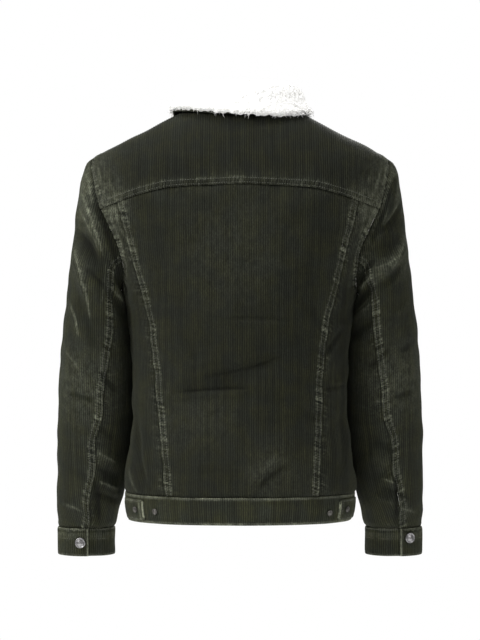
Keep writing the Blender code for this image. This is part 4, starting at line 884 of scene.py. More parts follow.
class Torso:
    """The body's surface and the seam lines on it."""

    def __init__(self) -> None:
        """Reads the tables and lays both sheets."""
        self.half_width = Smooth(TORSO, "height", "half_width")
        self.depths = {+1: Smooth(TORSO, "height", "back"), -1: Smooth(TORSO, "height", "front")}
        self.roundness = Smooth(TORSO, "height", "roundness")
        self.yoke_height = Smooth(YOKE_SEAM, "across", "height")
        self.back_seam = {+1: Smooth(BACK_SEAMS, "height", "left"),
                          -1: Smooth(BACK_SEAMS, "height", "right")}
        self.sheets = {facing: self._sheet(facing.value) for facing in Facing}
        self.yoke_angle = self._yoke_meets_armhole()
        self.shoulder_angle = -math.degrees(math.asin(SHOULDER_SEAM_FORWARD / ARMHOLE_HALF_DEPTH))
        self.shoulder_neck_angle = math.degrees(math.acos(-SHOULDER_SEAM_FORWARD / NECK_FRONT))
        self.front_neck_angle = 180 - math.degrees(math.asin(COLLAR_END / NECK_HALF_WIDTH))

    def depth(self, height: Array, facing: Array) -> Array:
        """Half the body's depth, towards the back or the front."""
        return np.where(facing > 0, self.depths[+1](height), self.depths[-1](height))

    def side_x(self, y: Array, z: Array) -> Array:
        """How far out the surface lies at a depth y and a height z."""
        power = self.roundness(z)
        part = np.abs(y) / self.depth(z, np.sign(y) + 0.5)
        return self.half_width(z) * np.maximum(1 - part ** power, 0) ** (1 / power)

    def face_y(self, x: Array, z: Array, facing: int) -> Array:
        """How far back or front the surface lies at x and z."""
        part = np.minimum(np.abs(x) / self.half_width(z), 1)
        power = self.roundness(z)
        return facing * self.depth(z, facing) * (1 - part ** power) ** (1 / power)

    def reach(self, points: Array) -> Array:
        """How far out points lie from the upright middle, as a share of the surface."""
        x, y, z = points[..., 0], points[..., 1], points[..., 2]
        power = self.roundness(z)
        total = (np.abs(x) / self.half_width(z)) ** power
        total += (np.abs(y) / self.depth(z, np.sign(y) + 0.5)) ** power
        return total ** (1 / power)

    def top_z(self, x: Array, y: Array) -> Array:
        """How high the shoulders' surface lies over a place seen from above."""
        low = np.full(np.shape(x), YOKE_BEND)
        high = np.full(np.shape(x), TORSO[0].height)
        for _ in range(40):
            middle = (low + high) / 2
            inside = self.reach(np.stack((x, y, middle), axis=-1)) < 1
            low, high = np.where(inside, middle, low), np.where(inside, high, middle)
        return (low + high) / 2

    def section_curve(self, height: float, facing: int) -> tuple[Array, Array, Array]:
        """A level section from the centre line round the side, with its running length."""
        turn = np.linspace(0, math.pi / 2 + SIDE_REACH, CURVE_POINTS)
        power = 2 / float(self.roundness(height))
        x = self.half_width(height) * np.abs(np.sin(turn)) ** power
        own = turn <= math.pi / 2
        reach = np.where(own, self.depth(height, facing), -self.depth(height, -facing))
        y = facing * reach * np.abs(np.cos(turn)) ** power
        return x, y, lengths_along(np.stack((x, y), axis=-1))

    def _slice_curve(self, x: float, facing: int) -> tuple[Array, Array, Array]:
        """An upright slice from the bend over the shoulder, with its running length."""
        heights = np.linspace(SLICE_BOTTOM, TORSO[0].height, CURVE_POINTS)
        ridge = np.interp(x, self.half_width(heights)[::-1], heights[::-1])
        q = np.linspace(1, -1, CURVE_POINTS)
        z = ridge - (ridge - YOKE_BEND) * q * q
        y = np.where(q > 0, self.face_y(x, z, facing), self.face_y(x, z, -facing))
        return y, z, lengths_along(np.stack((y, z), axis=-1))

    def _sheet(self, facing: int) -> Sheet:
        """The back or the front: u across from the centre line, v up."""
        half = np.arange(0, SHEET_REACH + SHEET_STEP / 2, SHEET_STEP)
        across = np.concatenate((-half[:0:-1], half))
        below = np.arange(YOKE_BEND, SHEET_BOTTOM - SHEET_STEP, -SHEET_STEP)[::-1]
        above = np.arange(SHEET_STEP, SHEET_TOP + SHEET_STEP, SHEET_STEP)
        points = np.zeros((len(across), len(below) + len(above), 3))
        sign = np.where(across < 0, -1.0, 1.0)
        for j, height in enumerate(below):
            x, y, length = self.section_curve(height, facing)
            points[:, j, 0] = sign * np.interp(np.abs(across), length, x)
            points[:, j, 1] = np.interp(np.abs(across), length, y)
            points[:, j, 2] = height
        widest = float(self.half_width(YOKE_BEND)) - WIDEST_SLICE
        for i in range(len(across)):
            x = min(abs(points[i, len(below) - 1, 0]), widest)
            y, z, length = self._slice_curve(x, facing)
            points[i, len(below):, 0] = sign[i] * x
            points[i, len(below):, 1] = np.interp(above, length, y)
            points[i, len(below):, 2] = np.interp(above, length, z)
        return Sheet(across, np.concatenate((below, YOKE_BEND + above)), points, -facing)

    def armhole(self, angle: Array, side: int) -> Array:
        """Armhole points: angle 0 on the shoulder, 90 at the back and 180 in the armpit."""
        angle = np.radians(angle)
        y = ARMHOLE_HALF_DEPTH * np.sin(angle)
        z = ARMHOLE_MIDDLE + ARMHOLE_HALF_HEIGHT * np.cos(angle)
        return np.stack((side * self.side_x(y, z), y, z), axis=-1)

    def _yoke_meets_armhole(self) -> float:
        """The armhole angle at the end of the yoke seam."""
        low, high = 0.0, ARMHOLE_LOWEST_YOKE
        for _ in range(50):
            middle = (low + high) / 2
            x, _, z = self.armhole(middle, +1)
            low, high = (middle, high) if z > self.yoke_height(x) else (low, middle)
        return (low + high) / 2

    def back_point(self, x: Array, z: Array) -> Array:
        """Points on the back at given widths and heights."""
        x, z = np.broadcast_arrays(np.asarray(x, float), np.asarray(z, float))
        return np.stack((x, self.face_y(x, z, +1), z), axis=-1)

    def yoke_corner(self, side: int) -> Array:
        """Where a long back seam meets the yoke seam."""
        height = YOKE_BEND
        for _ in range(30):
            height = float(self.yoke_height(self.back_seam[side](height)))
        return self.back_point(side * self.back_seam[side](height), height)

    def neck_point(self, angle: Array, side: int) -> Array:
        """Neck seam points: angle 0 at the back, 90 at the side and 180 at the front."""
        angle = np.radians(angle)
        x = NECK_HALF_WIDTH * np.sin(angle)
        y = np.where(np.cos(angle) > 0, NECK_BACK, NECK_FRONT) * np.cos(angle)
        return np.stack((side * x, y, self.top_z(x, y)), axis=-1)

    def shoulder_seam(self, side: int, count: int = 40) -> Array:
        """The shoulder seam from the neck out to the armhole."""
        start = self.neck_point(self.shoulder_neck_angle, side)
        end = self.armhole(self.shoulder_angle, side)
        x = np.linspace(start[0], end[0], count)
        y = np.full_like(x, -SHOULDER_SEAM_FORWARD)
        line = np.stack((x, y, self.top_z(x, y)), axis=-1)
        line[0], line[-1] = start, end
        return line

    def side_seam(self, side: int, count: int = 60) -> Array:
        """The side seam from the waistband up to the armpit."""
        heights = np.linspace(BAND_TOP, self.armhole(180.0, side)[2], count)
        return np.stack((side * self.half_width(heights), np.zeros(count), heights), axis=-1)

    def long_back_seam(self, side: int, count: int = 90) -> Array:
        """A long back seam from the waistband up to the yoke."""
        heights = np.linspace(BAND_TOP, self.yoke_corner(side)[2], count)
        return self.back_point(side * self.back_seam[side](heights), heights)

    def yoke_stretch(self, start: Array, end: Array, count: int = 60) -> Array:
        """Points along the yoke seam between two points of it."""
        x = np.linspace(start[0], end[0], count)
        line = self.back_point(x, self.yoke_height(np.abs(x)))
        line[0], line[-1] = start, end
        return line


class SleeveForm:
    """The surface of one sleeve, from the armhole to the cuff seam."""

    def __init__(self, torso: Torso, side: int) -> None:
        """Reads the rings.

        Args:
            torso: the body that the sleeve leaves from.
            side: +1 for the wearer's left and -1 for the right.
        """
        self.torso, self.side = torso, side
        self.word = "left" if side > 0 else "right"
        outer = np.stack((column(SLEEVE, "outer_x"), column(SLEEVE, "outer_z")), axis=-1)
        share = lengths_along(outer) / lengths_along(outer)[-1]
        station = NamedTuple("Station", [(name, float) for name in Ring._fields + ("share",)])
        rows = [station(*row, s) for row, s in zip(SLEEVE, share)]
        self.curves = {name: Smooth(rows, "share", name) for name in Ring._fields}
        self.seams = {name: Smooth(SLEEVE_SEAMS, "height", name)
                      for name in ("left", "right", "front")}
        self.wrist_radius = (SLEEVE[-1].outer_x - SLEEVE[-1].inner_x) / 2

    def _ring(self, share: Array, angle: Array) -> Array:
        """A left sleeve's ring point before it is fitted to the armhole."""
        angle = np.radians(angle)
        curve = self.curves
        outer = np.stack((curve["outer_x"](share), curve["outer_z"](share)), axis=-1)
        inner = np.stack((curve["inner_x"](share), curve["inner_z"](share)), axis=-1)
        flat = (outer + inner) / 2 + (outer - inner) / 2 * np.cos(angle)[..., None]
        y = curve["middle_y"](share) + curve["half_depth"](share) * np.sin(angle)
        return np.stack((flat[..., 0], y, flat[..., 1]), axis=-1)

    def point(self, share: Array, angle: Array) -> Array:
        """Points of the sleeve: share 0 is the armhole, angle 0 outside and 90 at the back."""
        share, angle = np.broadcast_arrays(np.asarray(share, float), np.asarray(angle, float))
        point = self._ring(share, angle)
        at_seam = self.torso.armhole(angle, +1) - self._ring(np.zeros_like(share), angle)
        point = point + at_seam * self.curves["armhole"](share)[..., None]
        return point * (self.side, 1, 1)

    def normal(self, share: Array, angle: Array) -> Array:
        """The outward direction of the sleeve's surface."""
        share = np.clip(share, 0.002, 0.998)
        along = self.point(share + 0.002, angle) - self.point(share - 0.002, angle)
        about = self.point(share, angle + 1) - self.point(share, angle - 1)
        return unit(np.cross(along, about)) * self.side

    def seam_angle(self, name: str, share: Array) -> Array:
        """The angle of a long seam, "back" or "front", at shares of the sleeve.

        Args:
            name: which seam.
            share: shares of the sleeve's length.

        Returns:
            The angles in degrees.
        """
        shoulder, yoke = self.torso.shoulder_angle, self.torso.yoke_angle
        if name == "front":
            start, line = -180 + (shoulder + 180) / 3, "front"
        else:
            start, line = yoke + (180 - yoke) * 3 / 7, self.word
        height = self._ring(share, np.full(np.shape(share), 100.0))[..., 2]
        settle = ease(0, COLUMN_SETTLE, share)
        angle = (1 - settle) * start + settle * self.seams[line](height)
        if name == "back":
            low = ease(*WOBBLE_START, share) * (1 - ease(*WOBBLE_END, share))
            angle += WOBBLE * low * np.cos(2 * math.pi * (height - WOBBLE_MIDDLE) / WOBBLE_LENGTH)
        return angle


class CollarForm:
    """The face between the two layers of the fold-over collar."""

    def __init__(self, torso: Torso) -> None:
        """Works out the collar's rows of points, from its right end to its left."""
        self.torso = torso
        angles, base = self._stations()
        turn = np.radians(angles)
        level = np.where(np.cos(turn) > 0, NECK_BACK, NECK_FRONT)
        outward = unit(np.stack((np.sin(turn) / NECK_HALF_WIDTH, np.cos(turn) / level,
                                 np.zeros_like(turn)), axis=-1))
        forward = np.stack((-outward[:, 1], outward[:, 0], np.zeros_like(turn)), axis=-1)
        to_back = forward * np.sign(angles)[:, None]
        at_back = np.where(np.cos(turn) > 0, np.cos(turn) ** 2, 0)
        at_front = np.where(np.cos(turn) < 0, np.cos(turn) ** 2, 0)
        at_side = np.sin(turn) ** 2
        near_end = ease(*COLLAR_SWEEP, np.abs(angles))
        points = np.zeros((len(COLLAR), len(angles), 3))
        for k, row in enumerate(COLLAR):
            out = row.back_out * at_back + row.side_out * at_side + row.front_out * at_front
            up = row.back_up * at_back + row.side_up * at_side + row.front_up * at_front
            fall = max(k / (len(COLLAR) - 1) - 0.5, 0) * 2
            points[k] = base + outward * out[:, None] + to_back * (row.sweep * near_end)[:, None]
            points[k, :, 2] += up - COLLAR_LEAN * np.maximum(-np.sin(turn), 0) * fall
            if k > len(COLLAR) // 2:
                points[k] = self._clear_of_body(points[k])
        self.points = points
        self.across = unit(np.cross(np.gradient(points, axis=1), np.gradient(points, axis=0)))

    def _stations(self) -> tuple[Array, Array]:
        """Neck seam points round the collar, from its right end by the back to its left."""
        torso, rows = self.torso, []
        for side in (-1, +1):
            angles = np.linspace(torso.front_neck_angle, torso.shoulder_neck_angle,
                                 FRONT_NECK_COLUMNS + 1)
            points = torso.neck_point(angles, side)
            chart = BodyChart(torso, Facing.FRONT, side, FOLDS)
            u, v = torso.sheets[Facing.FRONT].find(points).T
            normals = torso.sheets[Facing.FRONT].normal(u, v)
            rows.append((side * angles, chart.lifted(points, normals)))
        back = np.linspace(-torso.shoulder_neck_angle, torso.shoulder_neck_angle,
                           NECK_COLUMNS + 1)
        angles = np.concatenate((rows[0][0], back[1:-1], rows[1][0][::-1]))
        middle = torso.neck_point(back[1:-1], +1)
        return angles, np.concatenate((rows[0][1], middle, rows[1][1][::-1]))

    def _clear_of_body(self, points: Array, step: float = 0.0005, rounds: int = 8) -> Array:
        """Points moved square off the body's surface, where they lie too close to it."""
        for _ in range(rounds):
            here = self.torso.reach(points)
            slope = np.stack([self.torso.reach(points + step * axis)
                              - self.torso.reach(points - step * axis)
                              for axis in np.eye(3)], axis=-1) / (2 * step)
            size = np.linalg.norm(slope, axis=-1)
            short = np.maximum(COLLAR_CLEAR - (here - 1) / size, 0)
            points = points + slope * (short / size)[..., None]
        return points

    def sheet(self, lift: float) -> Sheet:
        """The collar's face moved out, over even lengths across and along.

        Args:
            lift: how far the face is moved to the pile side.

        Returns:
            The sheet, whose u runs round the neck and v from the neck seam to the fall's edge.
        """
        points = (self.points + self.across * lift).transpose(1, 0, 2)
        middle = points[len(points) // 2]
        across = np.linspace(0, lengths_along(points[:, len(COLLAR) // 2])[-1], len(points))
        along = np.linspace(0, lengths_along(middle)[-1], points.shape[1])
        fine_u, fine_v = np.linspace(0, across[-1], 121), np.linspace(0, along[-1], 41)
        grid = margined(across, along, points).at(*np.meshgrid(fine_u, fine_v, indexing="ij"))
        return margined(fine_u, fine_v, grid)


# ---------------------------------------------------------------- charts


class Chart(ABC):
    """Says where each place of a flat cut lies on the worn jacket."""

    part = "plain"                # whose folds run through it

    @abstractmethod
    def surface(self, places: Array) -> tuple[Array, Array]:
        """Points and outward directions at places.

        Args:
            places: places on the flat cut, one a row, as u and v in metres.

        Returns:
            The points and the directions, one a row.
        """


@dataclass
class BodyChart(Chart):
    """A chart on the back or the front of the body."""

    torso: Torso
    facing: Facing
    wearer_side: int = 0
    folds: Sequence[Fold] = FOLDS + CREASES
    part = "body"

    def lifted(self, points: Array, normals: Array) -> Array:
        """Points moved out by the folds, and by the overlap of the fronts."""
        rise = fold_rise(self.folds, "body", points, normals)
        if self.wearer_side:
            fade = 1 - ease(*LIFT_FADE, self.wearer_side * points[..., 0])
            rise = rise + FRONT_LIFT * self.wearer_side * fade * (normals[..., 1] < 0)
        return points + normals * rise[..., None]

    def surface(self, places: Array) -> tuple[Array, Array]:
        """Points and outward directions at places."""
        sheet = self.torso.sheets[self.facing]
        normals = sheet.normal(*places.T)
        return self.lifted(sheet.at(*places.T), normals), normals

    def find(self, line: Array) -> Array:
        """Places of a line that lies on the body."""
        return self.torso.sheets[self.facing].find(line)


@dataclass
class SheetChart(Chart):
    """A chart read straight from a sheet, moved out by a fixed amount."""

    sheet: Sheet
    out: float = 0.0

    def surface(self, places: Array) -> tuple[Array, Array]:
        """Points and outward directions at places."""
        normals = self.sheet.normal(*places.T)
        return self.sheet.at(*places.T) + normals * self.out, normals


class SleeveChart(Chart):
    """A chart on a sleeve: v runs down the sleeve's own line and u square to it."""

    LEVEL_STEP = 0.0025
    ANGLE_STEP = 2.0
    END_SLOPE = 0.004             # share over which the ends are carried on straight
    BEYOND = 0.03                 # share past the armhole where the measuring stops
    CENTRE = 170.0                # angle of the under sleeve's own line
    UNDER_FROM = 84.0             # how far round from the outside the under sleeve's chart starts
    DOWN = (0.088, -0.10, -1.0)   # the way the left sleeve's own line runs

    def __init__(self, form: SleeveForm, under: bool) -> None:
        """Measures the sleeve in slices square to its own line.

        Args:
            form: the sleeve's surface.
            under: whether this is the chart of the under sleeve.
        """
        self.form = form
        self.part = "sleeve_" + form.word
        self.down = unit(np.array(self.DOWN) * (form.side, 1, 1))
        ends = self.END_SLOPE
        shares = np.linspace(0, 1, 141)
        angles = np.arange(-180.0, 180.0 + self.ANGLE_STEP / 2, self.ANGLE_STEP)
        heights = form.point(shares[:, None], angles[None]) @ self.down
        levels = np.arange(heights.min() - 0.006, heights.max() + 0.009, self.LEVEL_STEP)
        first = (form.point(ends, angles) - form.point(0.0, angles)) / ends
        last = (form.point(1.0, angles) - form.point(1 - ends, angles)) / ends
        at = np.zeros((len(levels), len(angles)))
        for k in range(len(angles)):
            at[:, k] = np.interp(levels, heights[:, k], shares)
            at[:, k] += np.minimum(levels - heights[0, k], 0) / (first[k] @ self.down)
            at[:, k] += np.maximum(levels - heights[-1, k], 0) / (last[k] @ self.down)
        slices = form.point(np.clip(at, 0, 1), angles[None])
        slices = slices + np.minimum(at, 0)[..., None] * first
        slices = slices + np.maximum(at - 1, 0)[..., None] * last
        steps = np.linalg.norm(np.diff(slices, axis=1), axis=-1)
        off = at < -self.BEYOND
        steps[off[:, 1:] & off[:, :-1]] = 0
        middle = len(angles) // 2
        arcs = np.zeros_like(at)
        arcs[:, middle + 1:] = np.cumsum(steps[:, middle:], axis=1)
        arcs[:, :middle] = -np.cumsum(steps[:, :middle][:, ::-1], axis=1)[:, ::-1]
        if under:
            angles, at, arcs = self._turned(angles, at, arcs, levels, heights[0])
        self.levels, self.angles, self.shares = levels, angles, at
        self.arcs = np.maximum.accumulate(arcs + 1e-8 * np.arange(len(angles)), axis=1)

    def _turned(self, angles: Array, shares: Array, arcs: Array, levels: Array,
                top: Array) -> tuple[Array, Array, Array]:
        """The same measures for the side of the sleeve that lies against the body."""
        around = np.interp(np.maximum(levels, top[-1]), levels, arcs[:, -1] - arcs[:, 0])
        at = int(np.searchsorted(angles, self.CENTRE))
        centre = np.interp(np.maximum(levels, top[at]), levels, arcs[:, at])[:, None]
        back, front = angles >= self.UNDER_FROM, angles <= -self.UNDER_FROM
        beyond = arcs + around[:, None] - centre
        return (np.concatenate((angles[back], angles[front][1:] + 360)),
                np.concatenate((shares[:, back], shares[:, front][:, 1:]), axis=1),
                np.concatenate(((arcs - centre)[:, back], beyond[:, front][:, 1:]), axis=1))

    def _level(self, v: Array) -> tuple[Array, Array]:
        """The level under each place and how far the place is on the way to the next."""
        at = (v - self.levels[0]) / self.LEVEL_STEP
        j = np.clip(at.astype(int), 0, len(self.levels) - 2)
        return j, at - j

    def place(self, share: Array, angle: Array) -> Array:
        """Places at shares of the sleeve and angles round it."""
        share, angle = np.broadcast_arrays(np.asarray(share, float), np.asarray(angle, float))
        v = self.form.point(share, angle) @ self.down
        j, f = self._level(v)
        at = (angle - self.angles[0]) / self.ANGLE_STEP
        k = np.clip(at.astype(int), 0, len(self.angles) - 2)
        g = at - k
        low = (1 - g) * self.arcs[j, k] + g * self.arcs[j, k + 1]
        high = (1 - g) * self.arcs[j + 1, k] + g * self.arcs[j + 1, k + 1]
        return np.stack(((1 - f) * low + f * high, v), axis=-1)

    def find(self, places: Array) -> tuple[Array, Array]:
        """The share and the angle of each place."""
        u, v = places.T
        j, f = self._level(v)
        rows = self.arcs[j] * (1 - f)[:, None] + self.arcs[j + 1] * f[:, None]
        k = np.clip((rows <= u[:, None]).sum(axis=1) - 1, 0, rows.shape[1] - 2)
        every = np.arange(len(u))
        low, high = rows[every, k], rows[every, k + 1]
        g = np.clip((u - low) / np.maximum(high - low, 1e-9), -2, 3)
        upper = (1 - g) * self.shares[j, k] + g * self.shares[j, k + 1]
        lower = (1 - g) * self.shares[j + 1, k] + g * self.shares[j + 1, k + 1]
        share = np.clip((1 - f) * upper + f * lower, 0, 1)
        return share, self.angles[k] + g * self.ANGLE_STEP

    def surface(self, places: Array) -> tuple[Array, Array]:
        """Points and outward directions at places."""
        share, angle = self.find(places)
        points, normals = self.form.point(share, angle), self.form.normal(share, angle)
        rise = fold_rise(FOLDS + CREASES, self.part, points, normals)
        rise = rise * ease(*SLEEVE_FOLD_START, share) * ease(*SLEEVE_FOLD_END, share)
        near_body = ease(0.03, 0.14, share) * (1 - ease(0.80, 0.90, share))
        rise += BRUSH * near_body * bell(np.mod(angle, 360) - 180, 50.0)
        return points + normals * rise[:, None], normals


# ---------------------------------------------------------------- cut edges and their sewing


class EdgeKind(Enum):
    """How an edge of a cloth piece is finished."""
    LAPPED = "folded under and sewn down over its neighbour"
    TUCKED = "runs under its neighbour"
    BUTTED = "sewn to its neighbour face to face"
    TURNED = "free, folded and sewn down"


@dataclass
class Edge:
    """One edge of a flat cut, with its rows of stitches, how worn the cloth beside it is, and the light and shade
    painted there.
    """

    line: Array
    kind: EdgeKind
    rows: tuple[float, ...] = ()
    # how strongly the edge's wear and its painted light and shade show
    wear: float = 1.0
    pucker: float = 1.0
    seed: float = 0.0
    spread: float = 1.0           # how far its puckers run into the cloth
    strip: float = 0.0            # width of a paler strip along it
    pale: float = 0.0             # how pale the strip is
    lined: bool = True            # whether the pile lining reaches right up to it
    wrapped: bool = False         # whether the lining also covers the cut edge
    tuck: float = TUCK            # how far it sinks where it is tucked

    def reversed(self) -> Edge:
        """The same edge run the other way."""
        return replace(self, line=self.line[::-1])


def measured(places: Array, line: Array) -> tuple[Array, Array, Array]:
    """Where places lie by a line.

    Args:
        places: places, one a row.
        line: the line's points, one a row.

    Returns:
        The distances, the running lengths and whether each place is to the left of the run.
    """
    best, where = np.full(len(places), np.inf), np.zeros(len(places))
    left = np.zeros(len(places), bool)
    length = lengths_along(line)
    for start, end, at, ahead in zip(line, line[1:], length, length[1:]):
        run, local = end - start, places - start
        f = np.clip((local @ run) / max(ahead - at, 1e-9) ** 2, 0, 1)
        gap = ((local - f[:, None] * run) ** 2).sum(-1)
        near = gap < best
        best[near], where[near] = gap[near], at + f[near] * (ahead - at)
        left[near] = (run[0] * local[near, 1] - run[1] * local[near, 0]) > 0
    return np.sqrt(best), where, left


def beside(places: Array, line: Array) -> tuple[Array, Array]:
    """How far places lie from a line, and where along it the nearest point lies."""
    return measured(places, line)[:2]


def puckers(along: Array, aside: Array, seed: float) -> Array:
    """Uneven waves along a seam, from -1 to 1, that slant away from it."""
    at = along + 0.30 * aside
    wave = np.sin(2 * math.pi * at / 0.0061 + 2.6 * np.sin(2 * math.pi * at / 0.043 + seed)
                  + 1.6 * np.sin(2 * math.pi * at / 0.0187 + 2.3 * seed))
    quick = np.sin(2 * math.pi * (along - 0.5 * aside) / 0.0043 + 1.7 * seed
                   + 2.0 * np.sin(2 * math.pi * at / 0.031 + 1.3 * seed))
    slow = np.sin(2 * math.pi * at / 0.0131 + 2.0 * seed)
    strength = 0.58 + 0.30 * np.sin(2 * math.pi * at / 0.059 + 3.0 * seed)
    strength = strength + 0.22 * np.sin(2 * math.pi * at / 0.0237 + 5.0 * seed)
    return (0.60 * wave + 0.28 * quick + 0.22 * slow) * strength


def unevenness(along: Array, seed: float) -> Array:
    """How strongly a seam's wear and its painted light and shade show along its length, from about 0.2 to 1."""
    waves = (np.sin(2 * math.pi * along / 0.117 + seed)
             + 0.8 * np.sin(2 * math.pi * along / 0.047 + 2.7 * seed)
             + 0.6 * np.sin(2 * math.pi * along / 0.0213 + 4.1 * seed))
    return np.clip(0.62 + 0.20 * waves, 0.15, 1.0)


def edge_rise(edge: Edge, aside: Array, along: Array) -> Array:
    """How far an edge's finish raises or sinks the cloth beside it.

    Args:
        edge: the edge.
        aside: how far each place lies from it.
        along: where along it.

    Returns:
        The rise at each place.
    """
    wave = puckers(along, aside, edge.seed) * edge.pucker
    rise = np.zeros(len(aside))
    if edge.kind is EdgeKind.LAPPED:
        rise += WELT_RISE * (1 - ease(WELT - 0.001, WELT + 0.0030, aside))
        rise -= 0.0008 * bell(aside, 0.0007)
        rise += 0.00085 * wave * bell(aside - 0.005, 0.0050 * edge.spread)
    elif edge.kind is EdgeKind.TUCKED:
        rise -= edge.tuck * bell(aside, 0.0030)
        rise += 0.00065 * wave * bell(aside - 0.004, 0.0070 * edge.spread) * ease(0, 0.004, aside)
    elif edge.kind is EdgeKind.BUTTED:
        rise -= 0.0004 * bell(aside, 0.0020)
        rise += 0.00045 * wave * bell(aside - 0.003, 0.0070)
    else:
        rise -= 0.0008 * bell(aside, 0.0009)
        rise += 0.00045 * wave * bell(aside - 0.003, 0.0050)
    for row in edge.rows:
        rise -= 0.00055 * bell(aside - row, 0.0010)
    return rise


def edge_wear_and_shading(edge: Edge, aside: Array, along: Array) -> Array:
    """How worn the cloth is beside an edge, with the highlights and shade painted there: up to about 1 where paler,
    below zero where painted shade darkens it.
    """
    wave = puckers(along, aside, edge.seed) * min(edge.pucker, 1.0)
    high, low = np.clip(wave, 0, 1), np.clip(-wave, 0, 1)
    # pucker crests further in, painted paler: worn pile and painted highlight
    far = 0.24 * high * bell(aside, 0.012 * edge.spread) * (edge.spread > 1)
    if edge.kind is EdgeKind.LAPPED:
        zone = 1 - ease(WELT - 0.001, WELT + 0.003, aside)
        # pale on the folded edge, by the stitch row and on the pucker crests: worn pile, and painted highlight on the
        # crests
        worn = far + 0.75 * bell(aside, 0.0011) * (0.50 + 0.50 * high)
        worn += 0.75 * bell(aside - edge.rows[-1] - 0.0012, 0.0013) * (0.25 + 0.75 * high)
        worn += 0.80 * high * zone + 0.07 * zone + 0.05 * bell(aside, 0.022)
        # painted shade in the pucker troughs and beside the folded edge
        worn -= 0.65 * low * zone + 0.30 * bell(aside - 0.0030, 0.0012) * low
    elif edge.kind is EdgeKind.TUCKED:
        worn = far + 0.32 * high * bell(aside - 0.005, 0.004) + 0.05 * bell(aside, 0.018)
        # painted shadow under the neighbour's lapped edge, and painted shade in the pucker troughs
        worn -= 0.75 * bell(aside, 0.0024) + 0.30 * low * bell(aside - 0.004, 0.004)
    elif edge.kind is EdgeKind.BUTTED:
        # pucker crests painted paler as highlight and wear, and painted shade in the seam's crease
        worn = 0.25 * high * bell(aside - 0.002, 0.007) - 0.5 * bell(aside, 0.0014)
    else:
        worn = 0.85 * bell(aside, 0.0014) + 0.18 * high * bell(aside, 0.007)
        # painted shade beside the folded edge
        worn -= 0.35 * bell(aside - 0.0050, 0.0012)
    worn = worn * unevenness(along, edge.seed) * edge.wear
    if edge.strip:
        worn = worn + edge.pale * (1 - ease(edge.strip - 0.001, edge.strip + 0.001, aside))
    return worn


# ---------------------------------------------------------------- shader expressions

Plug = Union["Wire", float, tuple]


class Wire:
    """A node's output that can stand in an expression, which adds the nodes it needs."""

    def __init__(self, book: "NodeBook", socket: bpy.types.NodeSocket) -> None:
        """Wraps a socket of a node tree."""
        self.book, self.socket = book, socket

    def __add__(self, other: Plug) -> Wire:
        """The sum."""
        return self.book.maths("ADD", self, other)

    def __sub__(self, other: Plug) -> Wire:
        """The difference."""
        return self.book.maths("SUBTRACT", self, other)

    def __rsub__(self, other: Plug) -> Wire:
        """The difference the other way round."""
        return self.book.maths("SUBTRACT", other, self)

    def __mul__(self, other: Plug) -> Wire:
        """The product."""
        return self.book.maths("MULTIPLY", self, other)

    def __pow__(self, other: Plug) -> Wire:
        """The power."""
        return self.book.maths("POWER", self, other)

    __radd__ = __add__
    __rmul__ = __mul__


class NodeBook:
    """The nodes of one new material."""

    def __init__(self, name: str) -> None:
        """Makes the material and keeps its shader."""
        self.material = bpy.data.materials.new(name)
        self.material.use_nodes = True
        self.tree = self.material.node_tree
        self.shader = self.tree.nodes["Principled BSDF"]

    def add(self, kind: str, settings: dict[str, object] | None = None,
            sockets: dict[str | int, Plug] | None = None, output: str | int = 0) -> Wire:
        """Adds a node.

        Args:
            kind: the node's type.
            settings: its properties, set before its sockets; "stops" sets a ramp's colours.
            sockets: values or links for its inputs.
            output: which output to give.

        Returns:
            That output.
        """
        node = self.tree.nodes.new(kind)
        for name, value in (settings or {}).items():
            if name == "stops":
                ramp = node.color_ramp
                while len(ramp.elements) < len(value):
                    ramp.elements.new(0.5)
                for element, (position, colour) in zip(ramp.elements, value):
                    element.position, element.color = position, colour
            else:
                setattr(node, name, value)
        for name, value in (sockets or {}).items():
            self.join(value, node.inputs[name])
        return Wire(self, node.outputs[output])

    def join(self, value: Plug, socket: bpy.types.NodeSocket) -> None:
        """Links a wire to a socket, or sets the socket's value."""
        if isinstance(value, Wire):
            self.tree.links.new(value.socket, socket)
        else:
            socket.default_value = value

    def maths(self, operation: str, *values: Plug) -> Wire:
        """A Math node on numbers."""
        return self.add("ShaderNodeMath", {"operation": operation}, dict(enumerate(values)))

    def blend(self, factor: Plug, start: Plug, end: Plug, way: str = "MIX") -> Wire:
        """Two colours mixed."""
        return self.add("ShaderNodeMix", {"data_type": "RGBA", "blend_type": way},
                        {"Factor": factor, 6: start, 7: end}, 2)

    def noise(self, vector: Plug, scale: float, detail: float = 2.0) -> Wire:
        """A grey noise."""
        return self.add("ShaderNodeTexNoise", {"noise_dimensions": "3D"},
                        {"Vector": vector, "Scale": scale, "Detail": detail}, "Fac")

    def stretched(self, vector: Wire, by: tuple[float, float, float],
                  shift: tuple[float, float, float] = (0.0, 0.0, 0.0)) -> Wire:
        """A vector scaled and moved."""
        return self.add("ShaderNodeVectorMath", {"operation": "MULTIPLY_ADD"},
                        {0: vector, 1: by, 2: shift})

    def finish(self, **inputs: Plug) -> bpy.types.Material:
        """Sets the shader's inputs, named with underscores for spaces."""
        for name, value in inputs.items():
            self.join(value, self.shader.inputs[name.replace("_", " ")])
        return self.material


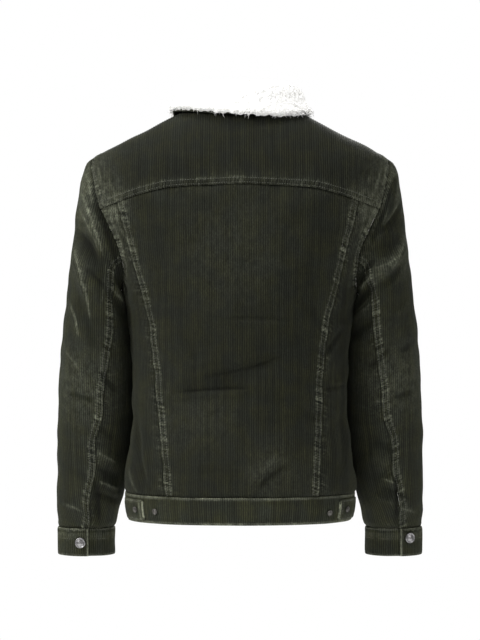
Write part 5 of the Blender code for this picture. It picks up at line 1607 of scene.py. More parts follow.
@dataclass(frozen=True)
class Corduroy:
    """Wide-wale corduroy: pile ribs with painted shade in the grooves, paler where worn along the seams, and painted
    light and shade of puckers and folds.
    """

    name: str = "corduroy"
    shift: tuple = (0.0, 0.0, 0.0)
    groove: tuple = (0.0027, 0.0029, 0.0019)
    grey: tuple = (0.0164, 0.0184, 0.0126)
    olive: tuple = (0.0214, 0.0225, 0.0104)
    deep: tuple = (0.0085, 0.0096, 0.0062)
    # pale colour of worn pile, also used for painted highlights on crests and puckers
    worn: tuple = (0.124, 0.131, 0.094)
    tone: float = 1.0             # how much paler this copy is painted, standing in for how brightly its part is lit
    crisp: float = 0.0            # how much darker its grooves are painted, as shade

    def _toned(self, colour: tuple) -> tuple:
        """A colour made as pale as this copy's painted light."""
        return tuple(part * self.tone for part in colour) + (1.0,)

    def material(self) -> bpy.types.Material:
        """Builds the material."""
        book = NodeBook(self.name)
        groove, worn_and_lit_cloth = self._toned(self.groove), self._toned(self.worn)
        cloth = book.add("ShaderNodeUVMap", {"uv_map": "Cloth"})
        place = book.stretched(cloth, (1, 1, 0), self.shift)

        def field(across: float, along: float, detail: float, low: float, high: float) -> Wire:
            """A noise over the cloth, spread from 0 to 1 between two of its levels."""
            grey = book.noise(book.stretched(place, (across, along, 0)), 1.0, detail)
            return book.add("ShaderNodeMapRange", None, {0: grey, 1: low, 2: high})

        across = book.add("ShaderNodeSeparateXYZ", None, {0: cloth}, 0)
        wander = book.noise(book.stretched(place, (0.35, 0.12, 0)), 1.0, 1.0) - 0.5
        rib = book.maths("FRACT", across + wander * 0.14)
        away = book.maths("ABSOLUTE", rib * 2 - 1)
        crest = 1 - away ** 2.2
        fibre = field(3.1, 1.1, 3.0, 0.28, 0.72)
        clump = field(0.85, 0.42, 2.0, 0.30, 0.70)
        streak = field(0.62, 0.020, 2.0, 0.30, 0.70)
        smudge = field(0.060, 0.22, 3.0, 0.32, 0.68)
        patch = field(0.13, 0.11, 4.0, 0.40, 0.60)
        crisp = field(0.055, 0.035, 2.0, 0.35, 0.65) + self.crisp
        blotch = field(0.46, 0.34, 3.0, 0.36, 0.64)
        pile = book.blend(patch, self._toned(self.grey), self._toned(self.olive))
        pile = book.blend(0.66 - clump * 0.42 - smudge * 0.34, pile, self._toned(self.deep))
        light = 0.34 - crisp * 0.20 + crest * (0.56 + crisp * 0.22)
        light = light * (0.46 + fibre * 0.62)
        light = light * (0.70 - crisp * 0.10 + streak * (0.50 + crisp * 0.20))
        colour = book.blend(book.maths("MINIMUM", light, 1.0), groove, pile)
        wear = book.add("ShaderNodeAttribute", {"attribute_name": "wear"}, None, "Fac")
        # Below zero the attribute is painted shade, mixed towards the groove colour
        dark = book.maths("MAXIMUM", wear * -1.0, 0.0)
        colour = book.blend(book.maths("MINIMUM", dark, 0.9), colour, groove)
        # Above zero it is worn pile and painted highlight, mixed towards the pale colour
        rubbed_and_lit = book.maths("MAXIMUM", wear, 0.0) * (0.40 + crest * 0.70) * (0.15 + fibre * 1.3)
        rubbed_and_lit = rubbed_and_lit * (0.45 + blotch * 1.15)
        colour = book.blend(book.maths("MINIMUM", rubbed_and_lit, 0.92), colour, worn_and_lit_cloth)
        height = crest * 0.5 + fibre * 0.4
        bump = book.add("ShaderNodeBump", None,
                        {"Height": height, "Strength": 0.55, "Distance": 0.0004})
        return book.finish(Base_Color=colour, Roughness=0.93, Normal=bump, Sheen_Weight=0.045,
                           Sheen_Roughness=0.45, Sheen_Tint=(0.62, 0.66, 0.50, 1),
                           Specular_IOR_Level=0.11)


@dataclass(frozen=True)
class Fleece:
    """Curly off-white pile, painted darker between its curls as shade."""

    name: str = "fleece"
    light: tuple = (0.95, 0.945, 0.93, 1)
    deep: tuple = (0.84, 0.83, 0.79, 1)
    curl: float = 260.0
    relief: float = 0.0012

    def material(self) -> bpy.types.Material:
        """Builds the material."""
        book = NodeBook(self.name)
        place = book.add("ShaderNodeTexCoord", None, None, "Object")
        curls = book.noise(place, self.curl, 3.0)
        curls = book.add("ShaderNodeMapRange", None, {0: curls, 1: 0.30, 2: 0.66})
        broad = book.noise(place, self.curl * 0.12, 2.0)
        # The colour deepens where the curls' bump is low: painted shade between the curls; the lining's copy is
        # painted much darker there
        colour = book.blend(book.maths("MINIMUM", curls * 0.9 + broad * 0.5, 1.0),
                            self.deep, self.light)
        bump = book.add("ShaderNodeBump", None,
                        {"Height": curls, "Strength": 0.6, "Distance": self.relief})
        return book.finish(Base_Color=colour, Roughness=0.96, Normal=bump, Sheen_Weight=0.25,
                           Sheen_Roughness=0.6, Specular_IOR_Level=0.2)


@dataclass(frozen=True)
class Thread:
    """Sewing thread, paler than the cloth."""

    name: str = "thread"
    colour: tuple = (0.060, 0.063, 0.044, 1)
    dark: tuple = (0.021, 0.022, 0.015, 1)

    def material(self) -> bpy.types.Material:
        """Builds the material."""
        book = NodeBook(self.name)
        place = book.add("ShaderNodeTexCoord", None, None, "Object")
        uneven = book.noise(place, 90.0, 2.0)
        colour = book.blend(uneven, self.dark, self.colour)
        return book.finish(Base_Color=colour, Roughness=0.75, Sheen_Weight=0.1)


@dataclass(frozen=True)
class AgedMetal:
    """Dull nickel over brass, darker in uneven stains."""

    name: str = "button_metal"
    bright: tuple = (0.27, 0.265, 0.27, 1)
    dull: tuple = (0.11, 0.107, 0.105, 1)
    rough: float = 0.27

    def material(self) -> bpy.types.Material:
        """Builds the material."""
        book = NodeBook(self.name)
        place = book.add("ShaderNodeTexCoord", None, None, "Object")
        stain = book.noise(place, 420.0, 4.0)
        grain = book.noise(place, 2600.0, 2.0)
        colour = book.blend(stain, self.dull, self.bright)
        rough = self.rough + stain * 0.22
        bump = book.add("ShaderNodeBump", None,
                        {"Height": grain, "Strength": 0.15, "Distance": 0.0002})
        return book.finish(Base_Color=colour, Roughness=rough, Metallic=1.0, Normal=bump)


class Wardrobe:
    """The finishes that the pieces share."""

    def __init__(self) -> None:
        """Makes each material once."""
        # Each part's copy of the corduroy is painted paler or darker, standing in for how brightly that part is lit,
        # with its own depth of painted groove shade
        self.corduroy = {
            "back": Corduroy("corduroy_back", tone=0.97, crisp=0.3).material(),
            "yoke": Corduroy("corduroy_yoke", (31, 17, 0), tone=0.86, crisp=1.2).material(),
            "side": Corduroy("corduroy_side", (11, 57, 0), tone=0.96, crisp=1.7).material(),
            "sleeve": Corduroy("corduroy_sleeve", (71, 7, 0), tone=1.24, crisp=1.4).material(),
            "band": Corduroy("corduroy_band", (5, 91, 0), tone=1.53, crisp=0.6).material(),
        }
        self.fleece = Fleece().material()
        self.lining = Fleece("lining", deep=(0.56, 0.54, 0.49, 1), curl=170.0,
                             relief=0.0030).material()
        self.thread = Thread().material()
        self.metal = AgedMetal().material()
        self.dark_metal = AgedMetal("small_button_metal", (0.13, 0.125, 0.115, 1),
                                    (0.030, 0.029, 0.026, 1), 0.34).material()


# ---------------------------------------------------------------- meshes


def make_object(name: str, vertices: Array, triangles: Array,
                materials: Sequence[bpy.types.Material],
                slots: Array | None = None) -> bpy.types.Object:
    """A named object from arrays of points and triangles.

    Args:
        name: the piece's name.
        vertices: points, one a row.
        triangles: corners of the faces, three a row.
        materials: its materials.
        slots: which material each face has.

    Returns:
        The object, linked and shaded smooth.
    """
    mesh = bpy.data.meshes.new(name)
    count = len(triangles)
    mesh.vertices.add(len(vertices))
    mesh.vertices.foreach_set("co", np.asarray(vertices, np.float32).ravel())
    mesh.loops.add(3 * count)
    mesh.loops.foreach_set("vertex_index", np.asarray(triangles, np.int32).ravel())
    mesh.polygons.add(count)
    mesh.polygons.foreach_set("loop_start", np.arange(0, 3 * count, 3, dtype=np.int32))
    for material in materials:
        mesh.materials.append(material)
    if slots is not None:
        mesh.polygons.foreach_set("material_index", np.asarray(slots, np.int32))
    mesh.update(calc_edges=True)
    mesh.validate()
    mesh.shade_smooth()
    piece = bpy.data.objects.new(name, mesh)
    bpy.context.scene.collection.objects.link(piece)
    return piece


def wall(ring: Array, offset: int) -> Array:
    """Faces between a ring of points and the same ring further on in the list."""
    ahead = np.roll(ring, -1)
    return np.concatenate((np.stack((ahead, ring, ring + offset), axis=-1),
                           np.stack((ahead, ring + offset, ahead + offset), axis=-1)))


def rectangle(left: float, bottom: float, right: float, top: float, count: int) -> list[Array]:
    """The sides of a rectangle, from its lower left corner against the clock."""
    corners = np.array(((left, bottom), (right, bottom), (right, top), (left, top)))
    return [np.linspace(a, b, count) for a, b in zip(corners, np.roll(corners, -1, axis=0))]


def add_map(piece: bpy.types.Object, name: str, corners: Array) -> None:
    """Gives a piece a UV map from one place for each face corner."""
    layer = piece.data.uv_layers.new(name=name)
    layer.data.foreach_set("uv", np.asarray(corners, np.float32).ravel())


def hand_over(piece: bpy.types.Object, slot: str, *nodes: str) -> None:
    """Puts a piece on the jacket's body, in place of its solids."""
    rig.ride(piece, "root")
    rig.slot(piece, slot)
    if nodes:
        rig.replaces(piece, *nodes)
    LOG.info("%s: %d triangles", piece.name, len(piece.data.polygons))


@dataclass
class Stitching:
    """Rows of stitches, gathered into one mesh."""

    name: str
    material: bpy.types.Material
    stitch: float = 0.0030
    gap: float = 0.0009
    width: float = 0.00042
    proud: float = 0.00042
    chains: list[tuple[Array, Array, Array]] = field(default_factory=list)

    def run(self, points: Array, normals: Array) -> None:
        """Adds a row of stitches.

        Args:
            points: the row's line on the cloth.
            normals: the cloth's outward directions along it.
        """
        length = lengths_along(points)
        count = int(length[-1] // (self.stitch + self.gap))
        if count < 1:
            return
        starts = np.arange(count) * (self.stitch + self.gap)
        marks = starts[:, None] + self.stitch * np.array((0.0, 0.22, 0.78, 1.0))
        at, out = read_line(points, marks, length), unit(read_line(normals, marks, length))
        self.chains.append((at, out, unit(at[:, 3] - at[:, 0])))

    def build(self) -> bpy.types.Object:
        """Makes the stitches' mesh.

        Returns:
            The piece.
        """
        at, out, run = (np.concatenate([chain[k] for chain in self.chains]) for k in range(3))
        aside = unit(np.cross(run[:, None], out)) * self.width
        over, under = out * self.proud, out * -0.0003
        rings = [at[:, k, None] + np.stack((aside[:, k], over[:, k], -aside[:, k],
                                            under[:, k]), axis=1) for k in (1, 2)]
        tips = [at[:, k, None] + under[:, k, None] * 0.5 for k in (0, 3)]
        vertices = np.concatenate((tips[0], rings[0], rings[1], tips[1]), axis=1)
        faces = []
        for c in range(4):
            d = (c + 1) % 4
            faces += [(0, 1 + d, 1 + c), (1 + c, 1 + d, 5 + d), (1 + c, 5 + d, 5 + c),
                      (9, 5 + c, 5 + d)]
        faces = np.array(faces)[None] + 10 * np.arange(len(vertices))[:, None, None]
        piece = make_object(self.name, vertices.reshape(-1, 3), faces.reshape(-1, 3),
                            [self.material])
        hand_over(piece, "corduroy")
        return piece


# ---------------------------------------------------------------- cloth pieces


@dataclass
class ClothPiece:
    """A piece of corduroy with its pile lining, cut flat and worn."""

    name: str
    node: str
    chart: Chart
    edges: list[Edge]
    outside: bpy.types.Material
    inside: bpy.types.Material
    thickness: float = CLOTH
    fine: bool = True
    calm: float = 1.0
    rests_on: tuple[str, ...] = ()
    seams: list[Edge] = field(default_factory=list)     # lapped seams inside the outline

    def __post_init__(self) -> None:
        """Turns the outline the right way round and lays its points."""
        if self._area(np.concatenate([edge.line for edge in self.edges])) < 0:
            self.edges = [edge.reversed() for edge in self.edges[::-1]]
        self.guides = [self._guide(edge.line) for edge in self.edges]
        self.seam_guides = [self._guide(seam.line) for seam in self.seams]
        lines = [self._reach_out(edge) for edge in self.edges]
        lines = [self._with_ribs(line) for line in lines]
        self.owner = np.concatenate([np.full(len(line), k) for k, line in enumerate(lines)])
        outline = np.concatenate(lines)
        gap = np.linalg.norm(outline - np.roll(outline, 1, axis=0), axis=-1)
        self.outline, self.owner = outline[gap > CLOSEST], self.owner[gap > CLOSEST]

    @staticmethod
    def _area(outline: Array) -> float:
        """The area inside an outline, positive where it runs against the clock."""
        x, y = outline.T
        return float((x * np.roll(y, -1) - y * np.roll(x, -1)).sum() / 2)

    @staticmethod
    def _guide(line: Array) -> Array:
        """A plainer line to measure distances from."""
        total = lengths_along(line)[-1]
        return read_line(line, np.linspace(0, total, max(int(total / GUIDE_STEP), 2) + 1))

    @staticmethod
    def _reach_out(edge: Edge) -> Array:
        """A lapped edge moved out over its neighbour."""
        if edge.kind is not EdgeKind.LAPPED:
            return edge.line
        run = unit(np.gradient(edge.line, axis=0))
        return edge.line + np.stack((run[:, 1], -run[:, 0]), axis=-1) * LAP

    @staticmethod
    def _with_ribs(line: Array) -> Array:
        """A line's points at even steps and wherever it crosses a column of the ribs."""
        length = lengths_along(line)
        total = length[-1]
        fine = np.linspace(0, total, max(int(total / FINE_STEP), 8))
        ribs = np.interp(fine, length, line[:, 0]) / WALE
        marks = [np.linspace(0, total, max(int(total / EDGE_STEP), 1) + 1)]
        for phase in WALE_PHASES:
            step = np.floor(ribs - phase)
            marks.append(fine[1:][np.diff(step) != 0])
        marks = np.sort(np.concatenate(marks))
        keep = np.concatenate(([True], np.diff(marks) > MARK_GAP))
        marks = marks[keep]
        if total - marks[-1] < MARK_GAP:
            marks[-1] = total
        return read_line(line, marks)

    def _inside(self) -> Array:
        """Places along the ribs' columns inside the outline."""
        u, v = self.outline.T
        next_u, next_v = np.roll(u, -1), np.roll(v, -1)
        first, last = math.floor(u.min() / WALE) - 1, math.ceil(u.max() / WALE) + 1
        columns = ((np.arange(first, last)[:, None] + WALE_PHASES) * WALE).ravel()
        found, rows = [], []
        for at in columns[(columns > u.min()) & (columns < u.max())]:
            cuts = (u > at) != (next_u > at)
            share = (at - u[cuts]) / (next_u[cuts] - u[cuts])
            ends = np.sort(v[cuts] + share * (next_v[cuts] - v[cuts]))
            for low, high in zip(ends[::2], ends[1::2]):
                row = np.arange(math.ceil((low + OUTLINE_GAP) / ROW),
                                math.floor((high - OUTLINE_GAP) / ROW) + 1)
                found.append(np.stack((np.full(len(row), at), row * ROW), axis=-1))
                rows.append(row)
        places, rows = np.concatenate(found), np.concatenate(rows)
        keep = rows % ROWS_APART == 0
        if self.fine:
            for edge, guide in zip(self.edges + self.seams, self.guides + self.seam_guides):
                if edge.pucker > 0:
                    keep |= beside(places, guide)[0] < NEAR_SEAM
            points, _ = self.chart.surface(places)
            keep |= near_fold(SHARP, self.chart.part, points) < NEAR_FOLD
            keep |= (near_fold(CREASES, self.chart.part, points) < NEAR_FOLD) & (rows % 2 == 0)
        places = places[keep]
        return places[self._from_outline(places) > OUTLINE_GAP]

    def _from_outline(self, places: Array) -> Array:
        """How far places lie from the outline."""
        return beside(places, self._guide(np.concatenate((self.outline, self.outline[:1]))))[0]

    def rise(self, places: Array, points: Array, ribs: bool = True) -> Array:
        """How far the cloth stands over its chart's surface.

        Args:
            places: places on the flat cut.
            points: their points on the worn jacket.
            ribs: whether the ribs count.

        Returns:
            The rise at each place.
        """
        rise = ripple_rise(points) * self.calm
        for edge, guide in zip(self.edges, self.guides):
            aside, along = beside(places, guide)
            rise += edge_rise(edge, aside, along)
        for seam, guide in zip(self.seams, self.seam_guides):
            aside, along, left = measured(places, guide)
            rise += np.where(left, edge_rise(seam, aside, along), -0.0009 * bell(aside, 0.0016))
        if ribs:
            away = np.abs(2 * np.mod(places[:, 0] / WALE, 1) - 1)
            rise += WALE_CREST - WALE_DEPTH * away ** 2.2
        return rise

    def _wear(self, places: Array, points: Array, normals: Array) -> Array:
        """How worn the cloth is at places, with the light and shade painted beside its edges, seams and folds."""
        worn = np.zeros(len(places))
        dark = np.zeros(len(places))
        for edge, guide in zip(self.edges, self.guides):
            here = edge_wear_and_shading(edge, *beside(places, guide))
            worn, dark = np.maximum(worn, here), np.minimum(dark, here)
        for seam, guide in zip(self.seams, self.seam_guides):
            aside, along, left = measured(places, guide)
            # dark line painted as shadow under a lapped seam's edge
            here = np.where(left, edge_wear_and_shading(seam, aside, along), -0.6 * bell(aside, 0.0020))
            worn, dark = np.maximum(worn, here), np.minimum(dark, here)
        # painted shade and highlight of the folds
        worn += dark + fold_rise(PAINTED_FOLD_SHADING, self.chart.part, points, normals)
        for patch in WORN_AND_LIT_PATCHES:
            far = np.linalg.norm(points - (patch.x, patch.y, patch.z), axis=-1)
            worn += patch.strength * bell(far, patch.radius)
        return np.clip(worn, -1, 1)

    @staticmethod
    def _triangles(outline: Array, inside: Array, squeeze: float) -> Array:
        """Triangles between an outline and the points in it; both keep their order."""
        places = np.concatenate((outline, inside)) * (1, squeeze)
        found = delaunay_2d_cdt([Vector(place) for place in places.tolist()], [],
                                [list(range(len(outline)))], 1, 1e-9)
        owners = np.array([group[0] if group else -1 for group in found[3]])
        return owners[np.array([face for face in found[2] if len(face) == 3])]

    def build(self) -> bpy.types.Object:
        """Makes the worn piece, with its lining side and its flat size.

        Returns:
            The piece.
        """
        inside = self._inside()
        places = np.concatenate((self.outline, inside))
        points, normals = self.chart.surface(places)
        face = points + normals * self.rise(places, points)[:, None]
        skin = self._triangles(self.outline, inside, FLAT_CDT)
        edge_count = len(self.outline)

        low, high = self.outline.min(axis=0), self.outline.max(axis=0)
        grid = np.stack(np.meshgrid(np.arange(low[0], high[0], LINING_STEP),
                                    np.arange(low[1], high[1], LINING_STEP)), axis=-1)
        grid = grid.reshape(-1, 2)
        grid = grid[self._is_inside(grid)]
        grid = grid[self._from_outline(grid) > LINING_MARGIN]
        thin = np.array([edge.kind in (EdgeKind.LAPPED, EdgeKind.TUCKED) for edge in self.edges])
        rim_thickness = np.where(thin[self.owner], THIN_RIM, self.thickness)
        rim = face[:edge_count] - normals[:edge_count] * rim_thickness[:, None]
        grid_points, grid_normals = self.chart.surface(grid)
        lining = self._triangles(self.outline, grid, 1.0)
        sink = LINING_SINK * bell(near_fold(CREASES, self.chart.part, grid_points), 3.0)
        out = ripple_rise(grid_points) * self.calm - self.thickness - LINING_CLEAR - sink
        deep = grid_points + grid_normals * out[:, None]

        vertices = np.concatenate((face, rim, deep))
        base = len(face)
        side = wall(np.arange(edge_count), base)
        triangles = np.concatenate((skin, lining[:, ::-1] + base, side))
        a, b, c = (face[skin[:, k]] for k in range(3))
        if (np.cross(b - a, c - a) * normals[skin[:, 0]]).sum() < 0:
            triangles = triangles[:, ::-1]
        hidden = np.concatenate((np.zeros(len(skin)), np.ones(len(lining)), np.zeros(len(side))))
        lined = np.array([edge.lined for edge in self.edges])[self.owner]
        wrapped = np.array([edge.wrapped for edge in self.edges])[self.owner]
        bare = np.append(~lined, False)[np.minimum(lining, edge_count)].any(axis=1)
        slots = np.concatenate((np.zeros(len(skin)), ~bare, np.tile(wrapped, 2)))
        piece = make_object(self.name, vertices, triangles, (self.outside, self.inside), slots)

        everywhere = np.concatenate((places, self.outline, grid))
        add_map(piece, "Cloth", everywhere[triangles.ravel()] / WALE)
        self._add_bake_map(piece, everywhere, triangles, hidden, base, edge_count)
        wear = np.zeros(len(vertices))
        wear[:base] = self._wear(places, points, normals)
        wear[base:base + edge_count] = wear[:edge_count] * 0.5
        piece.data.attributes.new("wear", "FLOAT", "POINT").data.foreach_set(
            "value", wear.astype(np.float32))
        hand_over(piece, "corduroy", self.node)
        width, length = high - low
        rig.sheet(piece, flat=(float(width), float(length)), held="hung",
                 rests_on=self.rests_on, area=abs(self._area(self.outline)))
        return piece

    def _is_inside(self, places: Array) -> Array:
        """Whether places lie inside the outline."""
        u, v = self.outline.T
        next_u, next_v = np.roll(u, -1), np.roll(v, -1)
        inside = np.zeros(len(places), bool)
        for a, b, c, d in zip(u, v, next_u, next_v):
            if a != c:
                crosses = (a > places[:, 0]) != (c > places[:, 0])
                inside ^= crosses & (places[:, 1] < b + (places[:, 0] - a) * (d - b) / (c - a))
        return inside

    def _add_bake_map(self, piece: bpy.types.Object, places: Array, triangles: Array,
                      hidden: Array, base: int, edge_count: int) -> None:
        """A UV map with the face, its edges and the lining side by side."""
        margin = 0.002
        low = self.outline.min(axis=0) - margin
        size = self.outline.max(axis=0) + margin - low
        corners = places.copy()
        run = unit(np.roll(self.outline, -1, axis=0) - np.roll(self.outline, 1, axis=0))
        out = np.stack((run[:, 1], -run[:, 0]), axis=-1) * margin * 0.7
        corners[base:base + edge_count] += out
        corners = (corners - low) / size
        wide = corners[triangles.ravel()] * (0.86, 1.0)
        narrow = ((places - low) / size)[triangles.ravel()] * (0.12, 0.5) + (0.87, 0.01)
        lining = np.repeat(hidden == 1, 3)[:, None]
        add_map(piece, "OFBake", np.where(lining, narrow, wide))

    def sew(self, thread: Stitching) -> None:
        """Adds the piece's rows of stitches.

        Args:
            thread: the stitching that the rows join.
        """
        for k, edge in enumerate(self.edges + self.seams):
            for row in edge.rows:
                run = unit(np.gradient(edge.line, axis=0))
                line = edge.line + np.stack((-run[:, 1], run[:, 0]), axis=-1) * row
                total = lengths_along(line)[-1]
                line = read_line(line, np.arange(0, total, SEWN_STEP))
                keep = self._is_inside(line)
                for other, guide in enumerate(self.guides):
                    if other != k:
                        keep &= beside(line, guide)[0] > SEWN_CLEAR
                if keep.sum() > 3:
                    line = line[keep]
                    points, normals = self.chart.surface(line)
                    rise = self.rise(line, points, ribs=False) + WALE_CREST * 0.5
                    thread.run(points + normals * rise[:, None], normals)


# ---------------------------------------------------------------- the body


@dataclass
class Body:
    """The yoke, the three back pieces and the two fronts."""

    torso: Torso
    wardrobe: Wardrobe
    rows: tuple[float, float] = (0.0018, 0.0088)
    placket_rows: tuple[float, float] = (0.0030, 0.0320)

    def _arm(self, start: float, end: float, side: int, count: int = 80) -> Array:
        """A stretch of an armhole."""
        return self.torso.armhole(np.linspace(start, end, count), side)

    def yoke(self) -> ClothPiece:
        """The back yoke, over the shoulders, with the neck cut out."""
        torso = self.torso
        chart = BodyChart(torso, Facing.BACK)
        ends = {side: torso.armhole(torso.yoke_angle, side) for side in (-1, +1)}
        corners = {side: torso.yoke_corner(side) for side in (-1, +1)}
        bottom = np.concatenate((
            torso.yoke_stretch(ends[-1], corners[-1], 14)[:-1],
            torso.yoke_stretch(corners[-1], corners[+1], 70)[:-1],
            torso.yoke_stretch(corners[+1], ends[+1], 14)))
        neck = torso.neck_point(
            np.linspace(torso.shoulder_neck_angle, -torso.shoulder_neck_angle, 90), +1)
        arms = {side: self._arm(torso.yoke_angle, torso.shoulder_angle, side) for side in (-1, 1)}
        edges = [
            Edge(chart.find(bottom), EdgeKind.LAPPED, self.rows, 0.95, 0.45, 0.3),
            Edge(chart.find(arms[+1]), EdgeKind.LAPPED, self.rows, 1.0, 1.3, 1.3, 2.2),
            Edge(chart.find(torso.shoulder_seam(+1)[::-1]), EdgeKind.LAPPED, self.rows, 0.5, 0.5,
                 2.3),
            Edge(chart.find(neck), EdgeKind.BUTTED, (), 0.0, 0.0, 0.0, wrapped=True),
            Edge(chart.find(torso.shoulder_seam(-1)), EdgeKind.LAPPED, self.rows, 0.5, 0.5, 3.3),
            Edge(chart.find(arms[-1][::-1]), EdgeKind.LAPPED, self.rows, 1.0, 1.3, 4.3, 2.2),
        ]
        return self._piece("yoke_cloth", "back_yoke", chart, edges, "yoke", calm=0.5)

    def centre(self) -> ClothPiece:
        """The back's centre piece, between the long seams."""
        torso = self.torso
        chart = BodyChart(torso, Facing.BACK)
        seams = {side: chart.find(torso.long_back_seam(side)) for side in (-1, +1)}
        top = torso.yoke_stretch(torso.yoke_corner(+1), torso.yoke_corner(-1), 70)
        edges = [
            Edge(np.linspace(seams[-1][0], seams[+1][0], 60), EdgeKind.TUCKED, (), 0.6, 0.5, 0.7),
            Edge(seams[+1], EdgeKind.LAPPED, self.rows, 1.15, 1.1, 1.7),
            Edge(chart.find(top), EdgeKind.TUCKED, (), 0.6, 0.5, 2.7, wrapped=True),
            Edge(seams[-1][::-1], EdgeKind.LAPPED, self.rows, 1.25, 1.1, 3.7),
        ]
        return self._piece("back_centre_cloth", "back_centre", chart, edges, "back")

    def side(self, side: int, word: str) -> ClothPiece:
        """A back side piece, between a long seam, the armhole and the side seam."""
        torso = self.torso
        chart = BodyChart(torso, Facing.BACK)
        seam = chart.find(torso.long_back_seam(side))
        outer = chart.find(torso.side_seam(side))
        end = torso.armhole(torso.yoke_angle, side)
        top = torso.yoke_stretch(end, torso.yoke_corner(side), 24)
        edges = [
            Edge(np.linspace(seam[0], outer[0], 24), EdgeKind.TUCKED, (), 0.6, 0.5, 0.9),
            Edge(outer, EdgeKind.BUTTED, (), 0.7, 1.0, 1.9),
            Edge(chart.find(self._arm(180.0, torso.yoke_angle, side)), EdgeKind.LAPPED, self.rows,
                 1.0, 1.5, 2.9, 2.6),
            Edge(chart.find(top), EdgeKind.TUCKED, (), 0.6, 0.5, 3.9),
            Edge(seam[::-1], EdgeKind.TUCKED, (), 1.0, 1.2, 1.7, 1.8),
        ]
        return self._piece(f"back_side_{word}_cloth", f"back_side_{word}", chart, edges, "side")

    def front(self, side: int, word: str) -> ClothPiece:
        """A front, whose edge reaches past the centre front."""
        torso = self.torso
        chart = BodyChart(torso, Facing.FRONT, side)
        angles = np.linspace(torso.front_neck_angle, torso.shoulder_neck_angle, 50)
        neck = torso.neck_point(angles, side)
        corner_x, corner_z = -side * FRONT_OVERLAP, neck[0][2] - CORNER_DROP
        heights = np.linspace(BAND_TOP, corner_z, 80)
        x = np.full_like(heights, corner_x)
        edge = np.stack((x, torso.face_y(x, heights, -1), heights), axis=-1)
        free, outer = chart.find(edge), chart.find(torso.side_seam(side))
        neck_line = chart.find(neck)
        edges = [
            Edge(np.linspace(free[0], outer[0], 60), EdgeKind.TUCKED, (), 0.6, 0.5, 0.5),
            Edge(outer, EdgeKind.BUTTED, (), 0.7, 1.0, 1.9),
            Edge(chart.find(self._arm(-180.0, torso.shoulder_angle, side)), EdgeKind.LAPPED,
                 self.rows, 0.8, 1.0, 2.5),
            Edge(chart.find(torso.shoulder_seam(side)[::-1]), EdgeKind.TUCKED, (), 0.5, 0.5, 3.5,
                 wrapped=True, tuck=0.0008),
            Edge(neck_line[::-1], EdgeKind.BUTTED, (), 0.0, 0.0, 0.0, wrapped=True),
            Edge(np.linspace(neck_line[0], free[-1], 8), EdgeKind.TURNED, (), 0.5, 0.0, 0.0,
                 lined=False),
            Edge(free[::-1], EdgeKind.TURNED, self.placket_rows, 0.6, 0.6, 4.5, lined=False),
        ]
        return self._piece(f"front_{word}_cloth", f"front_{word}", chart, edges, "back",
                           seams=self._front_seams(chart, side))

    def _front_seams(self, chart: BodyChart, side: int) -> list[Edge]:
        """A front's level chest seam and the long seam below it."""
        across = np.linspace(side * CHEST_SEAM[0].across, side * CHEST_SEAM[1].across, 60)
        level = np.interp(np.abs(across), [point.across for point in CHEST_SEAM],
                          [point.height for point in CHEST_SEAM])
        down = np.linspace(0, 1, 80)
        x = side * (LONG_FRONT_SEAM[0].across * (1 - down) + LONG_FRONT_SEAM[1].across * down)
        z = LONG_FRONT_SEAM[0].height * (1 - down) + LONG_FRONT_SEAM[1].height * down
        lines = [chart.find(np.stack((wide, self.torso.face_y(wide, high, -1), high), axis=-1))
                 for wide, high in ((across, level), (x, z))]
        if side < 0:
            lines[0] = lines[0][::-1]
        else:
            lines[1] = lines[1][::-1]
        return [Edge(lines[0], EdgeKind.LAPPED, self.rows, 0.9, 0.6, 1.1 + side),
                Edge(lines[1], EdgeKind.LAPPED, self.rows, 0.9, 1.0, 2.1 + side)]

    def _piece(self, name: str, node: str, chart: Chart, edges: list[Edge], cloth: str,
               calm: float = 1.0, seams: Sequence[Edge] = ()) -> ClothPiece:
        """A body piece in one of the cloths."""
        return ClothPiece(name, node, chart, edges, self.wardrobe.corduroy[cloth],
                          self.wardrobe.lining, calm=calm, seams=list(seams))

    def build(self, thread: Stitching) -> None:
        """Makes and sews every body piece."""
        pieces = [self.yoke(), self.centre()]
        for side, word in ((+1, "left"), (-1, "right")):
            pieces += [self.side(side, word), self.front(side, word)]
        for piece in pieces:
            piece.build()
            piece.sew(thread)


# ---------------------------------------------------------------- sleeves and cuffs


class CuffButton(NamedTuple):
    """Where a cuff's button sits, from the cuff's free end."""
    from_edge: float
    height: float


CUFF_BUTTONS = {+1: CuffButton(0.0125, -0.6850), -1: CuffButton(0.0145, -0.6775)}


